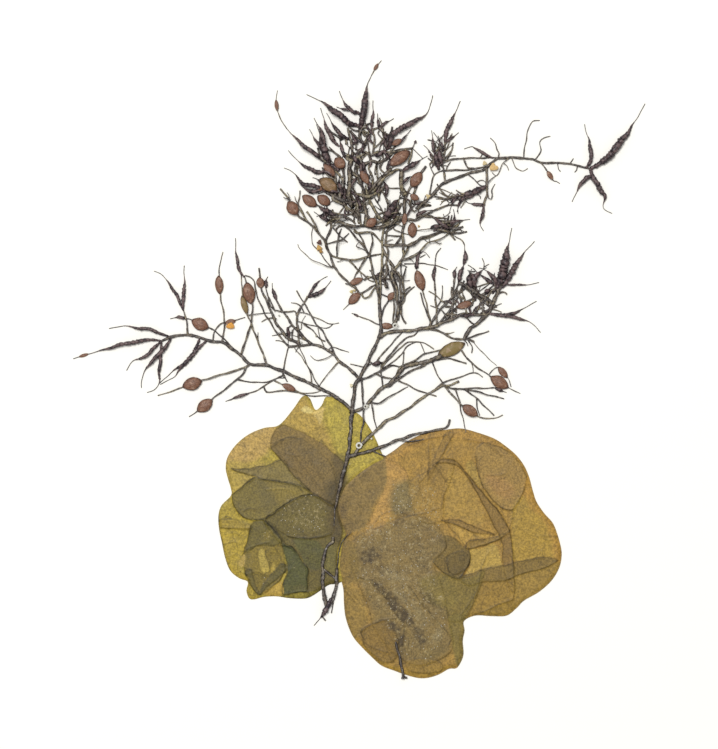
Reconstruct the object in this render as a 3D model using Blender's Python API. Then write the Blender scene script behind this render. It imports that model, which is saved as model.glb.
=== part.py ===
"""A pressed and dried specimen: two collapsed oyster thief bladders on the brown seaweed they grew on.

Lengths in the tables are millimetres, seen from above, +Y towards the top of the specimen.
"""

import math
import random

import bmesh
import bpy
from mathutils import Matrix, Vector, geometry, noise

MM = 0.001
SEED = 7
ORIGIN = (0.1, 0.4)  # centre of the specimen's outline in the tables

GAP = 0.3  # air left between neighbouring pieces
FLOOR_CLEARANCE = 0.12  # strands lie this far above the surface
OVER_BLADDER = 2.75  # underside of a strand that lies on a bladder
DESCENT = 9.0  # run over which a strand comes down beside a bladder
DESCENT_START = 0.6

# A bladder pressed flat
SHEET = 0.75  # thickness
FOLD_STEP = 0.3  # thickness added where it is folded over once more
CREASE_RISE = 0.35
CREASE_WIDTH = 2.5
PUCKER_SIZE = 9.0
PUCKER_RISE = 0.12
RIM_STEP = 3.6  # spacing of points round the outline
RIM_MARGIN = 0.9  # folds end this far inside the outline
FOLD_SPACING = 5.0
FOLD_BREAK = 11.0  # points farther apart than this belong to separate runs of a fold
NET_SPACING = 5.2
NET_ROW = 4.5
NET_SHIFT = 0.9  # points of the net are moved at random by up to this
NET_MARGIN = 2.6  # and kept this far from folds and the outline
ON_LINE = 0.05  # points this near a line lie on it
WELD = 0.02

# Strands, receptacles and gas vesicles
ROUTE_STEP = 2.5
ROUTE_TOLERANCE = 0.4
LEAST_RADIUS = 0.2
LEAST_RISE = 0.3  # the middle of a strand lies at least this far above what it rests on
FOUR_SIDES_FROM = 1.1  # strands thinner than this have three sides
MOST_TURN = 2.0  # sections are turned at random by up to this, in radians
CUTTER_SIDES = 8
CUTTER_TURN = 0.4
POD_BEAD = 4.6  # length of one swelling of a receptacle
POD_WAIST = 0.72  # width between two swellings, as a share
POD_SIDES = 4
POD_SWELLS_BY = 0.25  # share of its length at which a receptacle is at full width
POD_THINS_FROM = 0.42
POD_HAIR_FROM = 0.86  # share of its length from which it is a hair
VESICLE_FLATNESS = 0.45
VESICLE_BLUNTNESS = 0.62
VESICLE_LEAST_RISE = 0.5
VESICLE_SIDES = 6
VESICLE_RINGS = (-0.66, 0.0, 0.66)
ROOT_NEAR = 0.25  # a root this near an earlier strand touches it
ROOT_REACH = 2.6  # and one this near is led to it
KEPT_SHARE = 0.5  # share of a fused frond's triangles that is kept
SLIMMED_FROM = 1000
MENDING_ROUNDS = 12

# Seeded twigs that fill the crown
TWIG_COUNT = 36
TWIG_WIDTHS = (1.0, 1.7)
TWIG_STEPS = (1.6, 3.0)
TWIG_SPREAD = 0.45
TWIG_BEND = 0.5
TWIG_RUNS = 3

WORM_BORE = 0.15  # radius of the tube as a share of the ring's outer diameter
WORM_TURNS = 12
WORM_SIDES = 6
CRUST_THICKNESS = 0.7
SHARP_ANGLE = math.radians(50)

# Outlines of the two bladders
LEFT_OUTLINE = [
    (-22.5, -10.3), (-26, -15), (-30, -20), (-33, -22.3), (-38, -23), (-44, -25.5), (-49, -29.5),
    (-52.5, -34.5), (-53.3, -39), (-52.5, -43), (-51.3, -47), (-51.2, -50), (-55, -54), (-56.2, -58),
    (-56, -63), (-54.8, -69), (-53.5, -75), (-51.5, -80), (-48, -83), (-44.5, -84.5), (-45, -88),
    (-44, -91), (-42, -91.5), (-38, -90.5), (-33, -90.3), (-28, -91), (-22, -91.2), (-19, -90.3),
    (-15.5, -88), (-12, -85.7), (-8.4, -84.9), (-8.8, -80.5), (-9, -76), (-8, -70), (-6.6, -65),
    (-8.6, -60), (-9.8, -54), (-7.5, -46.6), (-4.8, -43.3), (-0.7, -39.7), (4.4, -36.1), (8.9, -33.9),
    (8.2, -31), (6, -26), (3, -21), (0, -17.5), (-4, -15.5), (-9, -11), (-12, -10.5), (-13.5, -10.8),
    (-15, -14), (-17.5, -15.7), (-19.8, -11),
]
RIGHT_OUTLINE = [
    (10, -34.5), (14, -32), (18, -29), (24, -26), (30, -24.5), (36, -23.5), (41, -23.2), (47, -24.7),
    (54, -27.2), (59, -30.5), (63, -34), (66, -38), (68, -42.5), (69.5, -48), (71, -52.5), (74, -57),
    (77.5, -61), (79.5, -66), (80.8, -71), (81, -74.5), (80, -79), (77, -84), (72, -88.5), (66, -92),
    (63, -95), (59, -98), (53, -98.2), (46.5, -98), (42, -100.2), (42.2, -104), (41.5, -108),
    (41.8, -113), (41, -116), (39, -119), (36, -119.3), (32, -121.5), (28, -122.8), (24, -123),
    (19, -121.8), (14, -120), (9, -118), (5, -114.5), (1, -110.5), (-2, -107), (-4, -103),
    (-5.5, -98), (-6, -93), (-6.2, -88), (-6.8, -85), (-8, -80.5), (-8.2, -76), (-7.2, -70),
    (-5.9, -65), (-7.8, -60), (-9, -54), (-6.5, -47), (-4, -44), (0, -40.5), (5, -37),
]

# Parts of each bladder that lie folded over, as closed outlines
LEFT_FOLDS = [
    [(-35, -31), (-33.5, -25), (-31, -22), (-27, -22.8), (-20, -26), (-13, -30.5), (-8, -35), (-5, -38),
     (-8, -47), (-11, -53), (-16, -50.5), (-20, -48), (-26, -42), (-31, -35.5)],
    [(-33, -23.5), (-38, -24), (-44, -26.5), (-49, -30.5), (-51.5, -35), (-52, -39), (-50.5, -46),
     (-46, -46), (-42, -43), (-37, -38), (-36, -30.5)],
    [(-42, -43), (-46, -46), (-50.2, -50), (-49.5, -54.5), (-47, -58), (-43, -59.7), (-38.5, -59.5),
     (-35, -57.5), (-30, -54), (-25, -51), (-20, -49.7), (-20, -47.5), (-26, -45), (-32, -44.5)],
    [(-38, -60), (-33, -64.5), (-31, -68.5), (-25, -73), (-21.5, -78), (-21, -88), (-15.5, -86.5),
     (-10, -83), (-10.3, -75), (-9.5, -66), (-11, -55), (-16, -51.5), (-25, -52.5), (-31, -56)],
    [(-43, -62), (-44.5, -68), (-46.3, -73), (-48.5, -77.5), (-48, -80), (-45, -81.5), (-42.5, -86),
     (-40, -89), (-36, -88), (-32, -84), (-29.5, -79), (-30.5, -70), (-33, -65.5), (-38, -61)],
]
LEFT_CREASES = [
    [(-28.5, -66), (-24, -67), (-18, -67), (-12, -65.5)],
    [(-51, -39.5), (-44, -39), (-37, -38)],
    [(-36, -30.5), (-31, -35.5), (-26, -42), (-20, -48)],
    [(-55, -60), (-53, -58.5), (-49, -60), (-43, -62)],
    [(-31, -87), (-29, -82), (-26, -77)],
]
RIGHT_FOLDS = [
    [(31, -36), (38, -36), (42, -40), (47, -46), (52, -52), (57, -58), (60, -64), (61, -70),
     (61.5, -78), (62, -86), (61, -91), (58, -80), (57.5, -74), (57, -68), (53, -60), (49, -53),
     (45, -45), (40, -38.5)],
    [(46.5, -35), (47.5, -40), (49.5, -46), (53, -51), (57, -55), (61.5, -55.5), (65, -50), (67, -43),
     (63, -35.5), (57, -31), (50, -29), (46.5, -30)],
    [(10, -36), (17.5, -39), (21, -46), (27, -43), (31, -39), (35.5, -46), (34, -50), (33, -60),
     (38, -66), (44, -71), (44.5, -75), (40.5, -83), (44, -92), (36, -93), (25, -90), (10, -86),
     (-4.5, -84), (-6.5, -76), (-4, -65), (-7, -56), (-2, -44), (4, -39)],
    [(40, -83), (45, -81.5), (52, -79), (60, -77.5), (68, -75.5), (74, -74.5), (79.2, -76), (74, -79.5),
     (62, -83), (50, -85)],
    [(33, -60), (40, -59), (47, -62), (54, -65.5), (60, -64.5), (55, -69), (48, -71), (43, -71),
     (36, -64)],
    [(0, -104), (6, -101), (15, -99), (26, -98), (34, -103), (36.5, -107), (38, -117), (30, -120.5),
     (20, -120), (10, -116.5), (3, -110)],
]
RIGHT_CREASES = [
    [(14, -33.5), (20, -30), (27, -27.5), (35, -26), (42, -26.5), (50, -28)],
    [(37, -27), (33, -34), (30, -38), (25, -44)],
    [(52, -72.5), (49, -79), (47.5, -87), (45, -92), (42, -97)],
    [(61, -91.5), (56, -93.5), (51, -96)],
    [(-4, -88), (1, -93), (5, -98)],
    [(20, -86), (25, -93), (30, -99)],
    [(68, -75.5), (72, -66), (75.5, -60.5)],
]

# Strands of the main stem: width at the root, width at the end, then the route
MAIN_STRANDS = [
    (1.8, 1.4, (-10, -62), (-9.5, -55), (-8, -47), (-6, -40), (-4.5, -34), (-3.5, -26), (-3, -18),
     (-1.5, -6), (0, -3.5), (2, 0.5), (4, 4.5), (6, 9), (8, 13), (8.8, 17), (8.5, 21), (8.1, 27)),
    (0.6, 0.5, (5, 3), (2, 1.5), (-3.5, 2.6)),
    (0.7, 0.5, (13.4, 17.8), (11, 17.8), (7, 18.8), (3, 20.5), (-2, 22.5)),
]
MAIN_PODS = [
    (1.0, (-0.5, 21.8), (-2.2, 22.7), (-3, 22.8)),
]
MAIN_VESICLES = [
    (8.2, 17.9, 13.8, 17.7, 2.6),
]

SHOOT_STRANDS = [
    (1.3, 1.5, (-10, -66.5), (-10.4, -68.5), (-12.5, -70), (-14, -74), (-14.5, -79), (-14.5, -84),
     (-14.3, -88), (-13, -94)),
    (1.3, 1.5, (-8.8, -79), (-9, -84), (-9.5, -88), (-11, -92), (-13.5, -96)),
    (0.5, 0.6, (-4.5, -65.5), (-7.5, -70), (-8.3, -75), (-8.8, -79)),
    (1.0, 0.9, (-14, -79.5), (-11, -82), (-9, -83.5)),
    (0.7, 0.5, (-10, -90.5), (-11, -97)),
    (0.7, 0.6, (-15, -98), (-13.4, -100)),
]
SHOOT_PODS = [
    (2.1, (-11, -91), (-13.5, -96), (-15.5, -99), (-18, -102)),
]

STUB_STRANDS = [
    (1.2, 1.3, (15, -110.4), (16.5, -116), (17.5, -121), (17.5, -123.2)),
    (1.2, 0.9, (17.4, -122.6), (19.2, -122.8)),
]

# The frond to the left: its axis and the strands that fork from it
LEFT_STRANDS = [
    (1.5, 1.1, (-2, -16.5), (-6, -13), (-10, -10), (-14, -8), (-19, -5.5), (-25, -2.7), (-30, -0.5),
     (-36, 1.8), (-44, 2.8), (-47, 6), (-50.5, 8.5), (-54.5, 11.2), (-60.5, 12), (-66, 14), (-72, 14),
     (-75.5, 13.3), (-79, 11.8)),
    (0.8, 0.5, (-47, 6), (-52, 10.5), (-57, 15.5), (-60, 17), (-67, 20.3), (-70, 20.8)),
    (0.8, 0.6, (-68.5, 14.5), (-69, 20), (-70.5, 25)),
    (0.6, 0.5, (-58.4, 12.2), (-58, 15), (-56.5, 17.5), (-54.5, 19), (-49, 20.2), (-45.5, 21.3)),
    (0.8, 0.4, (-54.7, 12), (-54, 16), (-53.8, 20), (-54.7, 26), (-55.5, 30), (-56, 38.5), (-55.4, 43.5),
     (-54.4, 47.5)),
    (0.9, 0.5, (-45, 1.5), (-52, -0.8), (-58, -2.5), (-62.5, -3.8), (-70.5, -6.7), (-75.5, -8.5),
     (-80.5, -10)),
    (0.9, 0.4, (-45, 1.5), (-46.5, -1.5), (-49, -3.7), (-53, -7), (-58.5, -11.3), (-65, -16.5),
     (-68, -18.5)),
    (0.7, 0.4, (-49, -3.5), (-45, -4.3), (-42, -4.8), (-37, -4.5), (-33, -3.2), (-29.5, -3)),
    (0.7, 0.5, (-30, -1.8), (-34, -3.7), (-38, -6.2), (-42, -8.5), (-45, -9.5), (-52.3, -12)),
    (0.7, 0.4, (-34, -4), (-31, -5.3), (-25, -8), (-22, -9), (-18, -9), (-15, -8)),
    (0.7, 0.5, (-37, -8.5), (-33, -8.4), (-29, -8), (-25, -8.7), (-22, -9.7), (-17, -10.2), (-10, -10)),
    (0.8, 0.6, (-30.5, -1), (-28.7, -4.5)),
    (1.3, 0.9, (0, -3.4), (-2, -1), (-5, 1.5), (-8, 4), (-11, 7), (-15, 9.6), (-19, 10.3), (-23, 10),
     (-28, 9.5)),
    (0.7, 0.5, (-30.3, 0), (-29.5, 4), (-28.8, 7.5), (-28, 10)),
    (0.9, 0.5, (-37, 2.5), (-38.5, 7), (-41, 13), (-43.2, 19), (-44.5, 22), (-46.5, 30), (-47.1, 38)),
    (0.9, 0.6, (-47, 7), (-45, 13), (-43.2, 19), (-42.7, 26.5), (-45, 35), (-46, 38)),
    (0.8, 0.6, (-28.5, 10), (-32, 14), (-36, 20), (-38, 23.5), (-40.5, 29), (-41.5, 33), (-41.8, 35.5),
     (-43.5, 37.3), (-45.5, 38)),
    (1.3, 0.7, (-24, 11), (-26.5, 12), (-29, 13.5), (-32.5, 18), (-34.5, 22), (-37, 28), (-39, 32.5),
     (-39.6, 38), (-40, 41)),
    (1.2, 0.7, (-19, 10.5), (-23, 14), (-26, 17.5), (-29, 21.5), (-31, 24.5), (-33, 28), (-34.5, 32.5)),
    (0.9, 0.8, (-24, 10.5), (-24.3, 15), (-24.8, 20), (-24.5, 23), (-22, 27), (-20.5, 29.8)),
    (0.7, 0.6, (-24.6, 20), (-25.5, 23.5), (-28, 23.5), (-32, 23.8), (-34.5, 24.5), (-36, 28),
     (-37.2, 33), (-37, 36.4)),
    (0.5, 0.4, (-44.5, 22), (-42, 22.5), (-38, 22.9), (-35, 23)),
    (0.9, 0.6, (-10, 6.5), (-11, 9.5), (-12.5, 12), (-14.5, 15.5), (-17, 18.5), (-19.5, 22.5), (-21, 25.5),
     (-23, 28.5), (-25, 32)),
    (0.5, 0.4, (-24.3, 23.3), (-21, 22.8), (-18, 21.5), (-12, 18.8), (-8, 19)),
    (0.5, 0.4, (-24.7, 19.7), (-22, 19), (-19, 18), (-13, 17), (-10.5, 18.5)),
    (0.7, 0.6, (-22, 18.5), (-19, 16.5), (-17, 14), (-14.5, 12), (-13.5, 11.7)),
    (0.6, 0.5, (-26.8, 12.2), (-26.5, 16), (-25, 17.3), (-23, 15.2), (-21.5, 13), (-18.5, 10.7)),
    (0.6, 0.5, (-28.2, 17.2), (-27.7, 14)),
    (0.5, 0.4, (-14, 9.5), (-15.5, 13), (-16.5, 17)),
    (0.5, 0.4, (-12.5, 8.2), (-10.5, 9.3), (-7, 8.3), (-4, 7.3)),
    (0.5, 0.4, (-10.5, 6.5), (-13, 5), (-17, 4), (-19.5, 6)),
    (0.6, 0.4, (-8, 3.8), (-10.5, 1), (-13, -2), (-15.5, -5.5), (-16, -7)),
    (0.6, 0.4, (-15.5, -7), (-18, -3), (-20.5, 2), (-23.5, 8.5), (-24, 10.5)),
    (0.6, 0.4, (-19, -5.5), (-19.2, -2), (-21, 2.5), (-23, 5.5), (-25.3, 8.2), (-26, 9.6)),
]
# Receptacles: greatest width, then the route from the root to the hair-thin tip
LEFT_PODS = [
    (1.4, (-69, 20.6), (-72, 21.3), (-75.5, 20.7)),
    (1.3, (-70.3, 24), (-72, 28), (-74, 32), (-77, 36), (-79, 38.5), (-82, 39.8)),
    (1.5, (-70.3, 24), (-70.2, 30), (-69.7, 34), (-70, 38), (-69.9, 42)),
    (1.6, (-79, 11.8), (-83, 12.3), (-90, 11.3), (-97, 9.8), (-103, 8), (-107, 7), (-114.3, 4.7)),
    (1.4, (-75.5, 13.4), (-79, 14.7), (-84, 16.5), (-89, 17), (-94, 17.8), (-100, 16.8)),
    (1.4, (-79, 11.8), (-82.5, 8.5), (-84.5, 6.3), (-87, 5), (-90.5, 3.7), (-93, 0)),
    (1.6, (-75, 13.2), (-77.5, 9), (-80, 6.5), (-84, 2.2), (-85.5, 0), (-87, -4), (-87, -7)),
    (1.4, (-79, 11.8), (-79.3, 5), (-79.8, 0), (-80, -5), (-81.5, -7.5), (-84.8, -8.8)),
    (1.6, (-63.7, 13), (-66, 7), (-69, 3.5), (-74, 0), (-77, -2.5), (-80, -5.3)),
    (1.6, (-61, 12), (-65.5, 7.5), (-71.5, 0.5), (-74, -2.5), (-79.5, -5.6)),
    (1.3, (-46, 37.4), (-47.5, 39.5), (-48.5, 43), (-49.2, 47), (-49.4, 53)),
    (1.7, (-20.5, 29.3), (-16, 31), (-14, 32.5), (-12, 34.8), (-11.2, 35.9)),
    (1.2, (-20.3, 29.8), (-17, 34.7), (-14, 37), (-12.6, 37.6)),
    (1.4, (-28.6, 17), (-28.2, 14), (-28.4, 10.2)),
    (1.4, (-37.1, 33.5), (-37.2, 36), (-36.4, 37.6)),
    (1.5, (-33, 28), (-34.5, 32.5), (-34.7, 35)),
    (1.3, (-44.5, -9.3), (-49, -10.6), (-53.4, -12.4)),
]
# Gas vesicles: one end, the other end, width
LEFT_VESICLES = [
    (-60.1, 16.9, -66.9, 20.1, 5.0),
    (-53.7, 18.9, -49.3, 19.9, 2.3),
    (-55.6, 30.4, -56.2, 38.1, 3.4),
    (-62.7, -4.0, -70.6, -6.6, 5.2),
    (-58.6, -11.7, -64.7, -16.3, 4.8),
    (-30.8, -5.5, -25.2, -8.0, 2.8),
    (-44.7, 22.3, -46.9, 30.0, 2.6),
    (-43.0, 26.5, -45.0, 35.4, 5.0),
    (-39.1, 32.8, -39.8, 37.4, 3.2),
    (-108.0, 6.7, -112.2, 5.4, 1.3),
]

# The dense crown at the top of the stem
CROWN_STRANDS = [
    (1.1, 0.9, (8.1, 26.5), (7.8, 30), (7.2, 33.5), (6.3, 36.5), (5.6, 38.7), (5, 42), (4.4, 45.6)),
    (0.9, 0.8, (4.4, 45.6), (3, 47.8), (1.6, 49.7), (-0.3, 52), (-2.1, 54.2), (-4.2, 56.5), (-6, 58)),
    (0.8, 0.7, (4, 46.3), (3.2, 48), (2, 50.5), (1, 52.8), (-0.2, 54.8), (-2, 56.5)),
    (0.8, 0.7, (4.2, 46.5), (4.7, 48.5), (5.4, 51.6), (4.9, 54.9)),
    (0.5, 0.5, (-1.1, 49.6), (1, 48.8), (2.8, 47.8)),
    (0.9, 0.8, (-2, 55.5), (0, 55), (4.7, 55.1), (6.5, 54.1), (8, 52.3), (9.3, 50.7)),
    (1.1, 0.9, (8.3, 28), (8.5, 32), (8.4, 36), (8.5, 38), (9, 41), (9.3, 45), (9.3, 50), (9.4, 54),
     (10, 57)),
    (0.8, 0.7, (8.8, 21.5), (10, 25), (11.5, 27.5), (12.8, 29.5), (11.5, 29.5), (9, 30.5)),
    (1.3, 1, (14.6, 19.8), (15.4, 23), (15.3, 28), (15, 32), (13.6, 36), (12.8, 39.5), (13.9, 41.4),
     (12.2, 43.5), (10.6, 46.3), (9.3, 49.5)),
    (1, 0.8, (13, 41), (15, 39.5), (16.5, 37.5), (17.5, 34.5), (18.2, 31), (18.1, 28), (17, 26.5)),
    (0.9, 0.8, (13.5, 39.5), (15.2, 37.6), (16.2, 35), (16.8, 31), (16.5, 27.5), (16, 24), (15.7, 20)),
    (0.8, 0.7, (13.6, 19.6), (13.9, 24), (14.1, 29), (13.8, 33), (12.6, 36.5), (11.5, 39.5)),
    (0.9, 0.8, (17, 26.5), (16.8, 23), (17.8, 20), (18.8, 18.8)),
    (0.9, 0.8, (10.2, 37), (11, 40.5), (11, 44), (11.5, 47.5), (10.6, 51), (10.8, 54), (11.8, 57.5),
     (12.5, 61)),
    (0.9, 0.7, (2, 36.2), (4, 37.2), (7, 37.3), (10, 37), (13, 36.5)),
    (0.8, 0.7, (1, 30.8), (3, 32), (5, 33.5), (7, 34.5)),
    (0.8, 0.7, (2, 29), (4, 29.6), (5.5, 32), (7.5, 34.5), (8.5, 36)),
    (0.9, 0.8, (4.4, 45.8), (1, 44.7), (-2, 44), (-5, 44.5), (-8.5, 45), (-11.2, 46)),
    (0.7, 0.7, (4.2, 45.8), (6.5, 46.2), (9.2, 46.6)),
    (0.8, 0.7, (3, 45.2), (1.5, 43), (0, 40.5), (-1.5, 38), (-2, 36.6)),
    (0.8, 0.6, (-4.2, 44.2), (-2.5, 42.5), (0, 40), (2, 38), (4, 36.2), (6, 35.5)),
    (1, 0.9, (0, 31), (-1.5, 33.3), (-3.5, 34.2), (-6.5, 37.5), (-9, 40), (-10.2, 42), (-11.3, 45.5),
     (-12.5, 48.5), (-13.3, 52)),
    (1, 0.9, (-11, 46), (-13, 49), (-14, 52.4), (-17.5, 56.5), (-20.5, 59.3), (-24, 61.4)),
    (0.7, 0.6, (-15.9, 54.4), (-18.7, 57.8), (-20.2, 59.2), (-22.2, 62), (-24.3, 65)),
    (0.7, 0.6, (-3, 34.2), (-5.5, 34.8)),
    (0.8, 0.7, (-8.9, 45.4), (-8.7, 50), (-8.2, 53.8), (-7, 56.8)),
    (0.7, 0.6, (-11.8, 50.9), (-9, 51.7), (-6.8, 52.3), (-4, 54.9)),
    (0.7, 0.6, (-10.4, 57), (-9, 55.5), (-7.5, 53.7), (-4.6, 51.3)),
    (0.7, 0.6, (-9.5, 55.9), (-7.8, 58.2)),
    (1, 0.9, (-13.3, 52), (-12, 55), (-11.2, 57), (-11.2, 59.5), (-12.3, 62.8)),
    (0.6, 0.4, (-11.3, 41.5), (-14, 45), (-17, 48.7), (-18.6, 51), (-19, 54), (-18.5, 57)),
    (0.5, 0.35, (-10.5, 41), (-15, 42.5), (-19.5, 44.8), (-23.5, 48.4), (-24.5, 50.5)),
    (0.8, 0.6, (-21, 60), (-23, 64), (-24.3, 66.5), (-23.8, 69), (-23.6, 72)),
    (0.9, 0.8, (-24, 61.4), (-28.5, 69), (-30, 71), (-31.5, 72.7)),
    (1, 0.8, (-16.6, 55.6), (-18.4, 59.9), (-20.9, 63.6)),
    (0.5, 0.4, (-3.6, 27), (-6.3, 24.3)),
    (1.3, 1, (-10.5, 60), (-7, 58.8), (-4, 58.1), (-1, 57.5), (2, 57.8), (5, 57)),
    (0.9, 0.8, (-13, 63), (-10, 62.8), (-6, 62.3), (-3, 62.4), (0, 60.6)),
    (1, 0.8, (-12, 61.6), (-8, 61), (-4, 60.8), (-1.4, 58.6)),
    (0.7, 0.6, (-10.2, 59.2), (-8, 62.8), (-5.6, 66)),
    (0.7, 0.6, (-17.5, 66.5), (-14.5, 65), (-12.5, 63.7), (-10, 62.8)),
    (0.8, 0.7, (-12.6, 63.5), (-13, 66)),
    (1.6, 1.2, (-13, 71.5), (-10.5, 70.2), (-8, 68.5), (-4, 67), (-1, 66.5)),
    (1.3, 1, (-10.5, 68.6), (-7, 66.5), (-4.5, 65), (-2, 63), (0, 61)),
    (1, 0.9, (-0.8, 70), (-0.7, 66), (0, 63), (0.4, 60), (1, 57.8)),
    (1.8, 1.2, (2.6, 57.8), (3, 61), (2.4, 64), (2, 67), (2.4, 70.2)),
    (0.7, 0.6, (4.6, 60), (3, 62.6), (0, 63.2)),
    (1.4, 1.1, (8.3, 60.6), (6.2, 64), (4.2, 68.3), (3, 70)),
    (0.7, 0.6, (10, 62), (8, 66), (6, 69.4)),
    (0.8, 0.7, (11.8, 66), (11, 67.8), (10, 70.2), (8.6, 72.9)),
    (0.7, 0.6, (9.3, 60.3), (10.2, 62.6), (10.4, 65)),
    (0.6, 0.5, (7.4, 67.2), (8.6, 70.8)),
    (1.6, 1.3, (-1.2, 70.2), (1, 70.2), (4, 69.4), (7, 71), (9.8, 73.2), (11, 74.5)),
    (1.5, 1.2, (5, 57), (10, 57.5), (13, 58.8), (17.5, 61.5)),
    (1, 0.8, (6.5, 59.5), (10.5, 59.8), (13.5, 61.5), (16, 64.6), (17, 67)),
    (0.9, 0.8, (10, 55), (13.5, 57.4), (16.5, 59.5), (18, 61)),
    (1.1, 1, (14.2, 40.5), (16.3, 43), (17.8, 46), (17.6, 50), (17.3, 54), (17.7, 57.5), (18.2, 62)),
    (0.9, 0.8, (17.9, 46), (19, 47.8), (19.9, 49.9)),
    (0.8, 0.7, (14.4, 50.2), (16.3, 52.7), (17.4, 55.5)),
    (0.7, 0.6, (12, 54), (14.5, 53.7), (17.4, 53.8)),
    (1.4, 1.3, (18.2, 62), (18, 66), (18.5, 70)),
    (2.1, 1.8, (18.5, 70), (17, 73), (16.8, 77), (17.2, 79.8)),
    (0.6, 0.5, (15.6, 62.6), (15.6, 65.5), (16, 68.8), (17.2, 71.8)),
    (0.6, 0.6, (9.2, 73.2), (13, 72.9), (15.7, 72.9), (16.9, 72.4)),
    (1.5, 1.2, (3, 70.2), (5, 72.5), (8, 76), (10.5, 78.5), (13, 80.8)),
    (1.2, 1, (4.2, 71), (6.4, 72.2), (9, 75.6), (11.5, 78), (15, 80.2), (17.2, 80)),
    (2.2, 1.7, (-3, 66), (-4, 69), (-4.2, 72), (-3.6, 76), (-4, 80), (-3, 84)),
    (1.3, 1, (-8, 68.5), (-7, 72), (-6.2, 76), (-6.5, 80), (-8, 83.5)),
    (0.9, 0.8, (-1, 70.2), (-2.6, 73.6), (-1.8, 76), (-0.6, 78)),
    (1.3, 1, (2.4, 70.2), (1.4, 73.6), (0, 77), (-1.5, 80), (-1, 84)),
    (1, 0.8, (-6.4, 76), (-8, 78.4), (-10, 80)),
    (1.3, 1, (-9.6, 70), (-9.5, 75), (-10, 80), (-12, 82.5), (-14, 83.5)),
    (0.7, 0.5, (-7.5, 84), (-9, 86.3), (-12, 89.5)),
    (1.2, 1, (-5, 85), (-3, 84), (1, 86), (3, 87.5)),
    (1.2, 0.9, (-2.5, 84.5), (-3, 90), (-4.5, 97)),
    (1.4, 1.1, (-1.5, 84), (0, 87.5), (2, 89.6), (0.6, 93), (0, 98)),
    (0.9, 0.8, (-1, 93), (-3.5, 96)),
    (0.9, 0.7, (1.6, 90.4), (3.4, 93), (3.6, 96.4), (1.4, 97)),
    (1.3, 1, (-1.2, 82), (2, 82.4), (5, 83.6), (8, 83.2), (11.4, 85), (13.4, 87)),
    (1.1, 0.9, (2.6, 87.4), (5, 86.2), (7.5, 87.4), (10, 87), (15, 87.6), (18, 88.3), (21.3, 88.9)),
    (0.9, 0.8, (10.5, 78.5), (8.4, 81), (9.6, 84), (9.2, 87)),
    (0.9, 0.8, (10.8, 85), (13, 88), (15.4, 90.4)),
    (1, 0.8, (5.5, 86), (6, 90), (6, 94), (5.6, 96.3), (8, 96.8), (10.2, 94.4)),
    (0.7, 0.6, (7.6, 95), (9.2, 92.2), (8.5, 89.5), (8, 87)),
    (1, 0.9, (8.4, 96.8), (10, 95), (12.4, 94.1)),
    (1, 0.8, (5, 72.5), (5.5, 77), (3.8, 80.5), (4.6, 84), (3.2, 87)),
    (0.8, 0.7, (7.6, 76), (7, 79.4), (7.2, 83)),
    (0.9, 0.8, (19.6, 82.6), (20.5, 85), (21.2, 88.4)),
    (0.5, 0.45, (21.2, 88.6), (22.5, 91.6)),
    (0.4, 0.35, (21.4, 88.9), (25.3, 85)),
    (1.1, 1, (18.6, 69.5), (20.5, 73), (25, 79.3), (26.8, 81.7)),
    (1, 0.7, (18, 61), (22.5, 60), (25, 61.5), (28, 63), (31, 64.3), (35, 66), (40.5, 66)),
    (0.9, 0.7, (22.5, 60), (24, 61.8), (28, 61.5), (30.5, 61), (33, 61), (35.5, 60.8)),
    (1.4, 0.8, (10, 50.1), (14, 50), (18, 50.2), (20, 50), (22.5, 51), (25, 53), (28, 54), (32, 55),
     (36, 56.2)),
    (0.9, 0.6, (20, 50.4), (24, 52.2), (28, 53.2), (31, 54.4), (34, 55.4), (36.5, 55.6)),
    (1, 0.5, (17.4, 44.2), (21, 45.3), (24, 47.3), (26, 49.5), (27.5, 51), (30, 51.5), (33, 53), (36.5, 55),
     (39, 56), (40.5, 56.5), (41, 55.6)),
    (0.5, 0.4, (30.2, 51.6), (32, 50.6), (33, 51)),
    (0.5, 0.4, (28, 53.6), (28, 51)),
    (0.5, 0.4, (22.5, 56), (26, 56.3), (29.5, 56.5), (32, 55.2)),
    (0.9, 0.7, (30.5, 61), (32, 59.4), (33, 58), (34.5, 56.4)),
    (0.5, 0.35, (36.2, 56.6), (38.5, 58), (41.5, 59.7)),
]
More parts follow.
